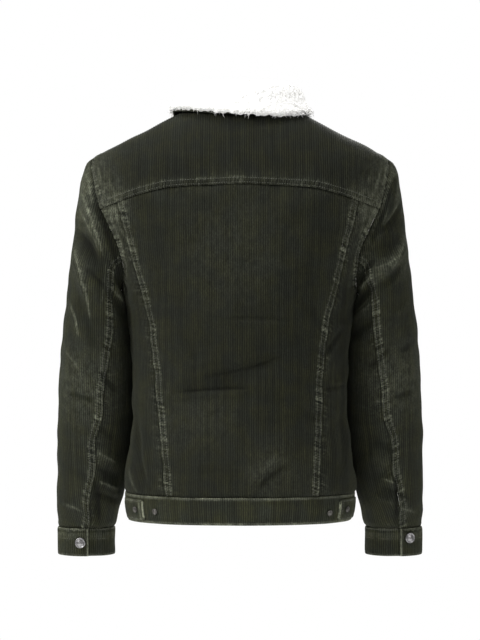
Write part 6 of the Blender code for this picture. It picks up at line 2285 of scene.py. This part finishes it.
@dataclass
class Sleeve:
    """A two-piece sleeve with its buttoned cuff."""

    form: SleeveForm
    wardrobe: Wardrobe
    rows: tuple[float, float] = (0.0018, 0.0080)
    cuff_rows: tuple[float, ...] = (0.0018, 0.0165)

    def _long_seam(self, chart: SleeveChart, name: str, turn: float = 0.0) -> Array:
        """Places of a long seam from the armhole to the cuff."""
        share = np.linspace(0, 1, 110)
        return chart.place(share, self.form.seam_angle(name, share) + turn)

    def _angle(self, name: str, share: float) -> float:
        """The angle of a long seam at one share of the sleeve."""
        return float(self.form.seam_angle(name, np.full(1, share))[0])

    def top(self) -> ClothPiece:
        """The top sleeve, over the outside of the arm."""
        chart = SleeveChart(self.form, False)
        back, front = self._long_seam(chart, "back"), self._long_seam(chart, "front")
        start = np.linspace(self._angle("front", 0.0), self._angle("back", 0.0), 120)
        end = np.linspace(self._angle("back", 1.0), self._angle("front", 1.0), 80)
        edges = [
            Edge(chart.place(0.0, start), EdgeKind.TUCKED, (), 0.55, 1.3, 0.6, 2.0, tuck=0.0006),
            Edge(back, EdgeKind.LAPPED, self.rows, 1.0, 1.0, 1.6, lined=False),
            Edge(chart.place(1.0, end), EdgeKind.TUCKED, (), 0.8, 0.8, 2.6),
            Edge(front[::-1], EdgeKind.LAPPED, self.rows, 0.8, 1.0, 3.6, lined=False),
        ]
        return self._piece("sleeve_top", chart, edges)

    def under(self) -> ClothPiece:
        """The under sleeve, against the body."""
        chart = SleeveChart(self.form, True)
        back, front = self._long_seam(chart, "back"), self._long_seam(chart, "front", 360.0)
        ends = [np.linspace(self._angle("back", share), self._angle("front", share) + 360, 60)
                for share in (0.0, 1.0)]
        edges = [
            Edge(chart.place(0.0, ends[0]), EdgeKind.TUCKED, (), 0.6, 1.0, 0.8, tuck=0.0006),
            Edge(front, EdgeKind.TUCKED, (), 0.8, 1.0, 3.6, tuck=0.0008, lined=False),
            Edge(chart.place(1.0, ends[1][::-1]), EdgeKind.TUCKED, (), 0.8, 0.8, 2.8),
            Edge(back[::-1], EdgeKind.TUCKED, (), 0.8, 1.0, 1.6, tuck=0.0008, lined=False),
        ]
        return self._piece("sleeve_under", chart, edges)

    def _piece(self, name: str, chart: Chart, edges: list[Edge]) -> ClothPiece:
        """A sleeve piece."""
        node = f"{name}_{self.form.word}"
        return ClothPiece(node + "_cloth", node, chart, edges, self.wardrobe.corduroy["sleeve"],
                          self.wardrobe.lining, calm=0.7)

    def cuff_sheet(self) -> tuple[Sheet, float]:
        """The cuff's surface over its length round the wrist and its height.

        Returns:
            The sheet and the cuff's length.
        """
        radius, side = self.form.wrist_radius, self.form.side
        start = float(self.form.seams[self.form.word](CUFF_TOP))
        total = math.radians(360) * radius + CUFF_OVERLAP
        round_it = np.arange(-0.006, total + 0.0075, 0.003)
        turn = start - np.degrees(round_it / radius)
        ring = self.form.point(np.ones_like(turn), turn)
        normal = unit(self.form.normal(np.ones_like(turn), turn) * (1, 1, 0))
        tucked = ease(start - CUFF_TUCK[0], start - CUFF_TUCK[1], turn)
        out = CUFF_LIFT - (BAND_CLOTH + 2 * SEAM_GAP) * tucked
        flat = ring + normal * out[:, None]
        heights = np.arange(CUFF_BOTTOM - 0.008, CUFF_TOP + 0.009, 0.004)
        points = np.repeat(flat[:, None], len(heights), axis=1)
        points[..., 2] = heights
        return Sheet(round_it, heights, points, -side), total

    def cuff(self) -> ClothPiece:
        """The cuff, whose free end lies on its other end."""
        sheet, total = self.cuff_sheet()
        lines = rectangle(0.0, CUFF_BOTTOM, total, CUFF_TOP, 60)
        edges = [
            Edge(lines[0], EdgeKind.TURNED, (0.0030,), 0.5, 0.6, 0.4),
            Edge(lines[1], EdgeKind.TURNED, (), 0.2, 0.0, 1.4),
            Edge(lines[2], EdgeKind.TURNED, self.cuff_rows, 1.1, 1.0, 2.4, 1.0, 0.0165, 0.09),
            Edge(lines[3], EdgeKind.TURNED, (0.0024,), 1.2, 0.6, 3.4, 1.0, 0.0042, 0.22),
        ]
        node = "cuff_" + self.form.word
        return ClothPiece(node + "_cloth", node, SheetChart(sheet), edges,
                          self.wardrobe.corduroy["band"], self.wardrobe.corduroy["band"],
                          thickness=BAND_CLOTH, calm=0.3)

    def button(self, buttons: "Buttons") -> None:
        """The button that closes the cuff."""
        spot = CUFF_BUTTONS[self.form.side]
        buttons.on_sheet("cuff_button_" + self.form.word, self.cuff_sheet()[0],
                         (spot.from_edge, spot.height), CLEAR, SHANK_BUTTON)

    def build(self, thread: Stitching, buttons: "Buttons") -> None:
        """Makes and sews the sleeve and its cuff."""
        for piece in (self.top(), self.under(), self.cuff()):
            piece.build()
            piece.sew(thread)
        self.button(buttons)


# ---------------------------------------------------------------- waistband and tabs


class Tab(NamedTuple):
    """A waist tab and its two buttons, by how far they lie from the centre back."""
    side: int
    word: str
    end_x: float
    button_x: float
    spare_x: float
    spare_z: float
    strip: float                  # width of the paler strip at its free end: rubbed pile and a painted highlight on the rolled end


TABS = (
    Tab(+1, "left", +0.1490, +0.1600, +0.1313, -0.6248, 0.0105),
    Tab(-1, "right", -0.1535, -0.1640, -0.1385, -0.6275, 0.0070),
)
TAB_TOP = -0.6085
TAB_BOTTOM = -0.6400
TAB_LENGTH = 0.066
TAB_CORNER = 0.007
TAB_ROUNDING = 0.6
BAND_BUTTON_HEIGHT = -0.6235


class Waistband:
    """The waistband, lapped at the front, with a tab at each side."""

    def __init__(self, torso: Torso, wardrobe: Wardrobe) -> None:
        """Lays the band's surface.

        Args:
            torso: the body that it runs round.
            wardrobe: the finishes.
        """
        self.torso, self.wardrobe = torso, wardrobe
        self.total = self._ring(BAND_TOP)[2][-1]
        count = round((self.total + 0.06) / 0.004)
        round_it = np.linspace(-0.03, self.total + 0.03, count + 1)
        heights = np.arange(BAND_BOTTOM - 0.010, BAND_TOP + 0.011, 0.005)
        points = np.stack([self._row(round_it, height) for height in heights], axis=1)
        self.sheet = Sheet(round_it, heights, points, 1)
        middle = self.sheet.normal(np.array([self.total / 2]), np.array([BAND_TOP]))[0]
        self.sheet.outward = 1 if middle[1] > 0 else -1

    def _ring(self, height: float) -> tuple[Array, Array, Array]:
        """A whole level section from the centre front, by the left, with its length."""
        x_back, y_back, _ = self.torso.section_curve(height, +1)
        x_front, y_front, _ = self.torso.section_curve(height, -1)
        turn = np.linspace(0, math.pi / 2 + SIDE_REACH, CURVE_POINTS)
        quarter = int(np.searchsorted(turn, math.pi / 2))
        half_x = np.concatenate((x_front[:quarter], x_back[:quarter][::-1]))
        half_y = np.concatenate((y_front[:quarter], y_back[:quarter][::-1]))
        x = np.concatenate((half_x, -half_x[-2::-1]))
        y = np.concatenate((half_y, half_y[-2::-1]))
        return x, y, lengths_along(np.stack((x, y), axis=-1))

    def _row(self, u: Array, height: float) -> Array:
        """A level row of the band's surface, parted where its ends overlap."""
        x, y, length = self._ring(height)
        total = length[-1]
        u = u * total / self.total
        here = self._read(x, y, length, u)
        tangent = self._read(x, y, length, u + 0.004) - self._read(x, y, length, u - 0.004)
        normal = unit(np.stack((tangent[:, 1], -tangent[:, 0]), axis=-1))
        at_front = 1 - ease(*LIFT_FADE, np.abs(u - np.where(u > total / 2, total, 0)))
        lift = BAND_LIFT * at_front * np.where(u > total / 2, -1, 1)
        flat = here + normal * lift[:, None]
        return np.concatenate((flat, np.full((len(u), 1), height)), axis=-1)

    @staticmethod
    def _read(x: Array, y: Array, length: Array, at: Array) -> Array:
        """Points of a closed section at running lengths."""
        at = np.mod(at, length[-1])
        return np.stack((np.interp(at, length, x), np.interp(at, length, y)), axis=-1)

    def u_at(self, x: float) -> float:
        """Where along the band a point of the back lies."""
        xs, ys, length = self._ring((BAND_TOP + BAND_BOTTOM) / 2)
        back = ys > 0
        order = np.argsort(xs[back])
        along = float(np.interp(x, xs[back][order], length[back][order]))
        return along * self.total / length[-1]

    def band(self) -> ClothPiece:
        """The band itself."""
        lines = rectangle(-FRONT_OVERLAP, BAND_BOTTOM, self.total + FRONT_OVERLAP, BAND_TOP, 200)
        edges = [
            Edge(lines[0], EdgeKind.TURNED, (0.0032,), 0.7, 0.7, 0.2),
            Edge(lines[1], EdgeKind.TURNED, (0.0030,), 0.3, 0.0, 1.2),
            Edge(lines[2], EdgeKind.TURNED, (0.0018,), 0.8, 1.0, 2.2),
            Edge(lines[3], EdgeKind.TURNED, (0.0030,), 0.8, 0.0, 3.2),
        ]
        cloth = self.wardrobe.corduroy["band"]
        return ClothPiece("waistband_cloth", "waistband", SheetChart(self.sheet, BAND_STAND),
                          edges, cloth, cloth, thickness=BAND_CLOTH, fine=False, calm=0.4)

    def tab(self, tab: Tab) -> ClothPiece:
        """A waist tab that lies on the band."""
        end = self.u_at(tab.end_x)
        reach = np.concatenate((np.linspace(0, TAB_CORNER, 14), [TAB_LENGTH]))
        taper = np.clip(reach / TAB_CORNER, 0, 1)
        trim = TAB_CORNER * (1 - np.sqrt(1 - (1 - taper) ** 2)) * TAB_ROUNDING
        u = end - tab.side * reach
        upper = np.stack((u, TAB_TOP - trim), axis=-1)
        lower = np.stack((u, TAB_BOTTOM + trim), axis=-1)
        edges = [
            # The free end's pale strip stands for its wear and paints the lit face of its rolled end
            Edge(np.linspace(lower[0], upper[0], 12), EdgeKind.TURNED, (0.0070,), 1.4, 0.0, 0.1,
                 1.0, tab.strip, 0.36),
            Edge(upper, EdgeKind.TURNED, (0.0022,), 0.4, 0.0, 1.1),
            Edge(np.linspace(upper[-1], lower[-1], 12), EdgeKind.TUCKED, (), 0.0, 0.0, 2.1),
            Edge(lower[::-1], EdgeKind.TURNED, (0.0022,), 0.4, 0.0, 3.1),
        ]
        cloth = self.wardrobe.corduroy["band"]
        out = BAND_STAND + CLEAR + TAB_CLOTH
        return ClothPiece(f"tab_{tab.word}_cloth", f"waist_tab_{tab.word}",
                          SheetChart(self.sheet, out), edges, cloth, cloth,
                          thickness=TAB_CLOTH, fine=False, calm=0.2)

    def build(self, thread: Stitching, buttons: "Buttons") -> None:
        """Makes and sews the band, its tabs and their buttons."""
        pieces = [self.band()] + [self.tab(tab) for tab in TABS]
        for piece in pieces:
            piece.build()
            piece.sew(thread)
        lift = BAND_STAND + CLEAR
        spots = [("waistband_button", 0.0, BAND_BUTTON_HEIGHT, lift, SHANK_BUTTON)]
        for tab in TABS:
            spots.append(("tab_button_" + tab.word, self.u_at(tab.button_x), BAND_BUTTON_HEIGHT,
                          lift + TAB_CLOTH + CLEAR, SMALL_BUTTON))
            spots.append(("spare_button_" + tab.word, self.u_at(tab.spare_x), tab.spare_z,
                          lift, SMALL_BUTTON))
        for name, along, height, out, size in spots:
            buttons.on_sheet(name, self.sheet, (along, height), out, size)


# ---------------------------------------------------------------- collar


@dataclass
class Collar:
    """The fold-over collar: a corduroy under side and a curly pile side."""

    form: CollarForm
    wardrobe: Wardrobe
    nub: float = 0.0042           # spacing of the curls
    step: float = 0.0014          # spacing of the pile's points
    tufts: int = 7400
    edge_tufts: int = 1500        # those along the fall's edge
    seed: int = 7
    cells: tuple[int, int] = (97, 89)     # how many curls before their pattern repeats

    def under(self) -> ClothPiece:
        """The corduroy under side."""
        sheet = self.form.sheet(0.0)
        sheet.outward = self._outward(sheet, -1)
        lines = rectangle(0.0, 0.0, sheet.across[-2], sheet.along[-2], 80)
        edges = [
            Edge(lines[0], EdgeKind.BUTTED, (), 0.0, 0.0, 0.0),
            Edge(lines[1], EdgeKind.TURNED, (0.0030,), 0.6, 0.0, 1.0),
            Edge(lines[2], EdgeKind.TURNED, (0.0030,), 0.6, 0.3, 2.0),
            Edge(lines[3], EdgeKind.TURNED, (0.0030,), 0.6, 0.0, 3.0),
        ]
        cloth = self.wardrobe.corduroy["band"]
        return ClothPiece("undercollar_cloth", "undercollar", SheetChart(sheet, COLLAR_CLOTH),
                          edges, cloth, cloth, thickness=COLLAR_CLOTH, fine=False, calm=0.0)

    def _outward(self, sheet: Sheet, wanted: int) -> int:
        """The sign that turns a sheet's normal to the pile side, or away from it."""
        middle = np.array([sheet.across[-1] / 2]), np.array([sheet.along[-1] * 0.9])
        backward = sheet.normal(*middle)[0][1] * sheet.outward > 0
        return wanted if backward else -wanted

    def _pile_sheet(self) -> tuple[Sheet, float, float]:
        """The pile side's surface, its length round the neck and its depth."""
        sheet = self.form.sheet(SEAM_GAP)
        sheet.outward = self._outward(sheet, +1)
        return sheet, sheet.across[-2], sheet.along[-2]

    @staticmethod
    def _rounding(edge: Array) -> Array:
        """How full the pile stands beside its edges, from near 0 to 1."""
        return np.sqrt(np.clip(1 - (1 - np.clip(edge / PILE_ROUNDING, 0, 1)) ** 2, 0.02, 1))

    def _nubs(self, u: Array, v: Array) -> Array:
        """Rounded curls, from 0 between them to 1 on top."""
        random = np.random.default_rng(self.seed)
        shifts = random.uniform(0.1, 0.9, (*self.cells, 2))
        sizes = random.uniform(0.55, 0.95, self.cells)
        x, y = u / self.nub, v / self.nub
        cell_x, cell_y = np.floor(x).astype(int), np.floor(y).astype(int)
        best = np.zeros(len(u))
        for a in (-1, 0, 1):
            for b in (-1, 0, 1):
                i, j = (cell_x + a) % self.cells[0], (cell_y + b) % self.cells[1]
                dx = cell_x + a + shifts[i, j, 0] - x
                dy = cell_y + b + shifts[i, j, 1] - y
                bulge = 1 - (dx * dx + dy * dy) / sizes[i, j] ** 2
                best = np.maximum(best, np.sqrt(np.maximum(bulge, 0)) * (0.7 + 0.3 * sizes[i, j]))
        return best

    def _fall(self, u: Array, width: float, length: float) -> Array:
        """How much longer than even the pile hangs round the neck, as a share of its length."""
        middle = width / 2
        ragged = 0.0006 * np.sin(u / 0.0041) + 0.0005 * np.sin(u / 0.0017 + 1.3)
        extra = (0.0052 * bell(u - middle + 0.085, 0.055) - 0.0015 * bell(u - middle - 0.085, 0.05)
                 + ragged)
        return 1 + extra / length

    def pile(self) -> bpy.types.Object:
        """The pile side: a thick wall with a face of curls and round edges.

        Returns:
            The piece.
        """
        sheet, width, length = self._pile_sheet()
        columns, rows = int(width / self.step), int(length / self.step)
        u, v = np.meshgrid(np.linspace(0, width, columns + 1), np.linspace(0, length, rows + 1),
                           indexing="ij")
        shape, u, v = u.shape, u.ravel(), v.ravel()
        v = v * self._fall(u, width, length)
        points, normals = sheet.at(u, v), sheet.normal(u, v)
        edge = np.minimum(np.minimum(u, width - u), length * self._fall(u, width, length) - v)
        body = PILE * (0.62 + 0.38 * self._nubs(u, v)) * self._rounding(edge)
        over = points + normals * body[:, None]
        over[:, 2] -= NECK_LIP * (1 - np.clip(v / NECK_LIP, 0, 1))
        count = len(u)
        index = np.arange(count).reshape(shape)
        a, b, c, d = index[:-1, :-1], index[1:, :-1], index[1:, 1:], index[:-1, 1:]
        skin = np.concatenate((np.stack((a, b, c), axis=-1).reshape(-1, 3),
                               np.stack((a, c, d), axis=-1).reshape(-1, 3)))
        ring = np.concatenate((index[:, 0], index[-1, 1:], index[-2::-1, -1], index[0, -2:0:-1]))
        triangles = np.concatenate((skin, skin[:, ::-1] + count, wall(ring, count)))
        if sheet.outward < 0:
            triangles = triangles[:, ::-1]
        piece = make_object("collar_pile", np.concatenate((over, points)), triangles,
                            [self.wardrobe.fleece])
        hand_over(piece, "fleece", "collar")
        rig.sheet(piece, flat=(float(width), float(length)), held="folded",
                 rests_on=("undercollar_cloth",))
        return piece

    def fur(self) -> bpy.types.Object:
        """Loose curls that stand out of the pile and soften its edges.

        Returns:
            The piece.
        """
        sheet, width, length = self._pile_sheet()
        random = np.random.default_rng(self.seed + 1)
        u = random.uniform(0.0006, width - 0.0006, self.tufts)
        v = random.uniform(0.12, 1.0, self.tufts) * (length - 0.0006)
        at_edge = np.arange(self.tufts) < self.edge_tufts
        v[at_edge] = length - random.uniform(0.0004, 0.0040, self.edge_tufts)
        v = v * self._fall(u, width, length)
        left = length * self._fall(u, width, length) - v
        edge = np.minimum(np.minimum(u, width - u), left)
        points, normals = sheet.at(u, v), sheet.normal(u, v)
        across, along = sheet.slopes(u, v)
        across, along = unit(across), unit(along)
        root = points + normals * (PILE * 0.72 * self._rounding(edge))[:, None]
        way = random.uniform(0, 2 * math.pi, self.tufts)
        lean = across * np.cos(way)[:, None] + along * np.sin(way)[:, None]
        outward = unit(along) * (1 - np.clip(left / 0.006, 0, 1))[:, None]
        reach = random.uniform(0.0016, 0.0030, self.tufts) * np.where(at_edge, 1.7, 1.0)
        curl = random.uniform(1.6, 3.4, self.tufts)
        rings = []
        base_aside = unit(np.cross(lean, normals))
        for k in range(5):
            t = k / 4
            turn = curl * t
            way_out = (normals * (np.sin(turn) * 0.8 + 0.25 * t)[:, None]
                       + lean * (1 - np.cos(turn))[:, None] * 0.6
                       + outward * (0.55 * t) + lean * (0.25 * t))
            centre = root + way_out * reach[:, None]
            radius = 0.00042 * (1 - 0.72 * t)
            around = [centre + radius * (base_aside * math.cos(a) + normals * math.sin(a))
                      for a in (0.0, 2.1, 4.2)]
            rings.append(np.stack(around, axis=1))
        vertices = np.concatenate(rings, axis=1)
        faces = []
        for k in range(4):
            for c in range(3):
                d = (c + 1) % 3
                faces += [(3 * k + c, 3 * k + d, 3 * k + 3 + d),
                          (3 * k + c, 3 * k + 3 + d, 3 * k + 3 + c)]
        faces += [(0, 2, 1), (12, 13, 14)]
        faces = np.array(faces)[None] + 15 * np.arange(self.tufts)[:, None, None]
        piece = make_object("collar_curls", vertices.reshape(-1, 3), faces.reshape(-1, 3),
                            [self.wardrobe.fleece])
        hand_over(piece, "fleece")
        return piece

    def build(self, thread: Stitching) -> None:
        """Makes both sides of the collar and its loose curls."""
        under = self.under()
        under.build()
        under.sew(thread)
        self.pile()
        self.fur()


# ---------------------------------------------------------------- buttons


class ButtonSize(NamedTuple):
    """Half a button's diameter and how far its head stands up."""
    radius: float
    height: float


SHANK_BUTTON = ButtonSize(0.0085, 0.0052)
SMALL_BUTTON = ButtonSize(0.0045, 0.0030)


class ProfilePoint(NamedTuple):
    """A point of a button's half outline, as shares of its radius and its height."""
    out: float
    up: float


BUTTON_PROFILE = table(
    ProfilePoint,
    (0.66, 0.0), (0.7, 0.16), (0.94, 0.3), (0.99, 0.42), (1.0, 0.56), (0.98, 0.72), (0.93, 0.84),
    (0.87, 0.86), (0.82, 0.8), (0.78, 0.72), (0.72, 0.7), (0.62, 0.75), (0.54, 0.82), (0.5, 0.8),
    (0.46, 0.84), (0.3, 0.93), (0.14, 0.98),
)
FRONT_BUTTON_HEIGHTS = (-0.104, -0.205, -0.306, -0.407, -0.508)


@dataclass
class Buttons:
    """Turned metal buttons."""

    wardrobe: Wardrobe
    sides: int = 40
    beads: int = 20               # small raised marks round the rim

    def make(self, node: str, place: Array, outward: Array, size: ButtonSize) -> None:
        """Makes one button in place of its solid.

        Args:
            node: the solid's name.
            place: the middle of its foot.
            outward: the way that it faces.
            size: its size.
        """
        turns = np.linspace(0, 2 * math.pi, self.sides, endpoint=False)
        rows = []
        for point in BUTTON_PROFILE:
            bead = 0.02 * np.sin(self.beads * turns) if 0.80 < point.out < 0.95 else 0.0
            rows.append(np.stack((np.cos(turns) * point.out * size.radius,
                                  np.sin(turns) * point.out * size.radius,
                                  np.full(self.sides, point.up) * size.height
                                  + bead * size.height), axis=-1))
        vertices = np.concatenate(rows + [np.array(((0, 0, 0), (0, 0, size.height)))])
        foot, dome = len(vertices) - 2, len(vertices) - 1
        faces = []
        for c in range(self.sides):
            d = (c + 1) % self.sides
            for row in range(len(BUTTON_PROFILE) - 1):
                a, b = row * self.sides, (row + 1) * self.sides
                faces += [(a + c, a + d, b + d), (a + c, b + d, b + c)]
            last = (len(BUTTON_PROFILE) - 1) * self.sides
            faces += [(foot, d, c), (dome, last + c, last + d)]
        turn = Vector(outward).to_track_quat("Z", "Y").to_matrix()
        vertices = vertices @ np.array(turn).T + place
        metal = self.wardrobe.dark_metal if size is SMALL_BUTTON else self.wardrobe.metal
        piece = make_object(node + "_metal", vertices, np.array(faces), [metal])
        hand_over(piece, "button_metal", node)

    def on_sheet(self, node: str, sheet: Sheet, place: tuple[float, float], out: float,
                 size: ButtonSize) -> None:
        """Makes a button at a place of a sheet, moved out by a fixed amount."""
        u, v = np.array([place[0]]), np.array([place[1]])
        normal = sheet.normal(u, v)[0]
        self.make(node, sheet.at(u, v)[0] + normal * out, normal, size)

    def front_row(self, torso: Torso) -> None:
        """The buttons down the front."""
        sheet = torso.sheets[Facing.FRONT]
        for count, height in enumerate(FRONT_BUTTON_HEIGHTS, 1):
            point = np.array([[0.0, float(torso.face_y(0.0, height, -1)), height]])
            normal = sheet.normal(*sheet.find(point).T)[0]
            place = point[0] + normal * (FRONT_LIFT + CLEAR + SEAM_GAP)
            self.make(f"front_button_{count}", place, normal, SHANK_BUTTON)


# ---------------------------------------------------------------- floor, light and camera


@dataclass
class Studio:
    """A pale floor and backdrop, soft light and the camera."""

    camera_away: float = VIEW_DISTANCE
    camera_height: float = VIEW_HEIGHT
    sensor: float = 36.0
    seen_height: float = 1.024
    floor_height: float = -1.05

    def build(self) -> None:
        """Makes the floor, the lights and the camera."""
        scene = bpy.context.scene
        scene.view_settings.view_transform = "Standard"
        self._floor()
        self._world()
        self._light("key", (2.4, 1.25, 1.2), 0.9, 122)
        self._light("fill", (-2.0, 2.2, 0.8), 1.7, 42)
        self._light("top", (0.2, 0.5, 2.4), 0.9, 56)
        self._light("front", (-0.6, -2.9, 1.0), 1.6, 120)
        camera = bpy.data.cameras.new("camera")
        camera.sensor_fit, camera.sensor_width = "AUTO", self.sensor
        camera.lens = self.sensor * self.camera_away / self.seen_height
        stand = bpy.data.objects.new("camera", camera)
        stand.location = (0, self.camera_away, self.camera_height)
        stand.rotation_euler = (math.radians(90), 0, math.radians(180))
        scene.collection.objects.link(stand)
        scene.camera = stand

    def _floor(self) -> None:
        """A plain pale floor."""
        half = 1.15
        corners = np.array([(-half, -half, 0), (half, -half, 0),
                            (half, half, 0), (-half, half, 0)])
        book = NodeBook("floor")
        floor = make_object("floor", corners + (0, 0, self.floor_height),
                            np.array([(0, 1, 2), (0, 2, 3)]),
                            [book.finish(Base_Color=(0.9, 0.9, 0.9, 1), Roughness=0.9,
                                         Emission_Color=(1, 1, 1, 1), Emission_Strength=0.75)])
        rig.stage(floor)

    @staticmethod
    def _world() -> None:
        """Soft light from all round, with a white backdrop."""
        world = bpy.data.worlds.new("studio")
        world.use_nodes = True
        tree = world.node_tree
        background = tree.nodes["Background"]
        background.inputs["Strength"].default_value = 0.33
        backdrop = tree.nodes.new("ShaderNodeBackground")
        backdrop.inputs["Color"].default_value = (1, 1, 1, 1)
        background.inputs["Color"].default_value = (1, 1, 1, 1)
        path = tree.nodes.new("ShaderNodeLightPath")
        mix = tree.nodes.new("ShaderNodeMixShader")
        tree.links.new(path.outputs["Is Camera Ray"], mix.inputs[0])
        tree.links.new(background.outputs[0], mix.inputs[1])
        tree.links.new(backdrop.outputs[0], mix.inputs[2])
        tree.links.new(mix.outputs[0], tree.nodes["World Output"].inputs["Surface"])
        bpy.context.scene.world = world

    @staticmethod
    def _light(name: str, place: tuple, size: float, power: float) -> None:
        """A soft light that faces the jacket."""
        lamp = bpy.data.lights.new(name, "AREA")
        lamp.shape, lamp.size, lamp.energy = "DISK", size, power
        stand = bpy.data.objects.new(name, lamp)
        stand.location = place
        aim = Vector((0, 0, -0.33)) - Vector(place)
        stand.rotation_euler = aim.to_track_quat("-Z", "Y").to_euler()
        bpy.context.scene.collection.objects.link(stand)


# ---------------------------------------------------------------- the jacket


def write_sizes(solid: tuple[Vector, Vector]) -> None:
    sizes = {"cad": [list(corner) for corner in solid],
             "visual": [list(corner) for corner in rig.bounds()]}
    with open("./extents.json", "w") as file:
        json.dump(sizes, file)


def main() -> None:
    """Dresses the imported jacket."""
    logging.basicConfig(level=logging.INFO, format="%(name)s %(message)s")
    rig.load()
    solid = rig.bounds()
    Studio().build()
    wardrobe = Wardrobe()
    torso = Torso()
    buttons = Buttons(wardrobe)
    body_thread = Stitching("body_stitching", wardrobe.thread)
    sleeve_thread = Stitching("sleeve_stitching", wardrobe.thread)
    Body(torso, wardrobe).build(body_thread)
    for side in (+1, -1):
        Sleeve(SleeveForm(torso, side), wardrobe).build(sleeve_thread, buttons)
    Waistband(torso, wardrobe).build(body_thread, buttons)
    Collar(CollarForm(torso), wardrobe).build(body_thread)
    buttons.front_row(torso)
    body_thread.build()
    sleeve_thread.build()
    write_sizes(solid)


if __name__ == "__main__":
    main()
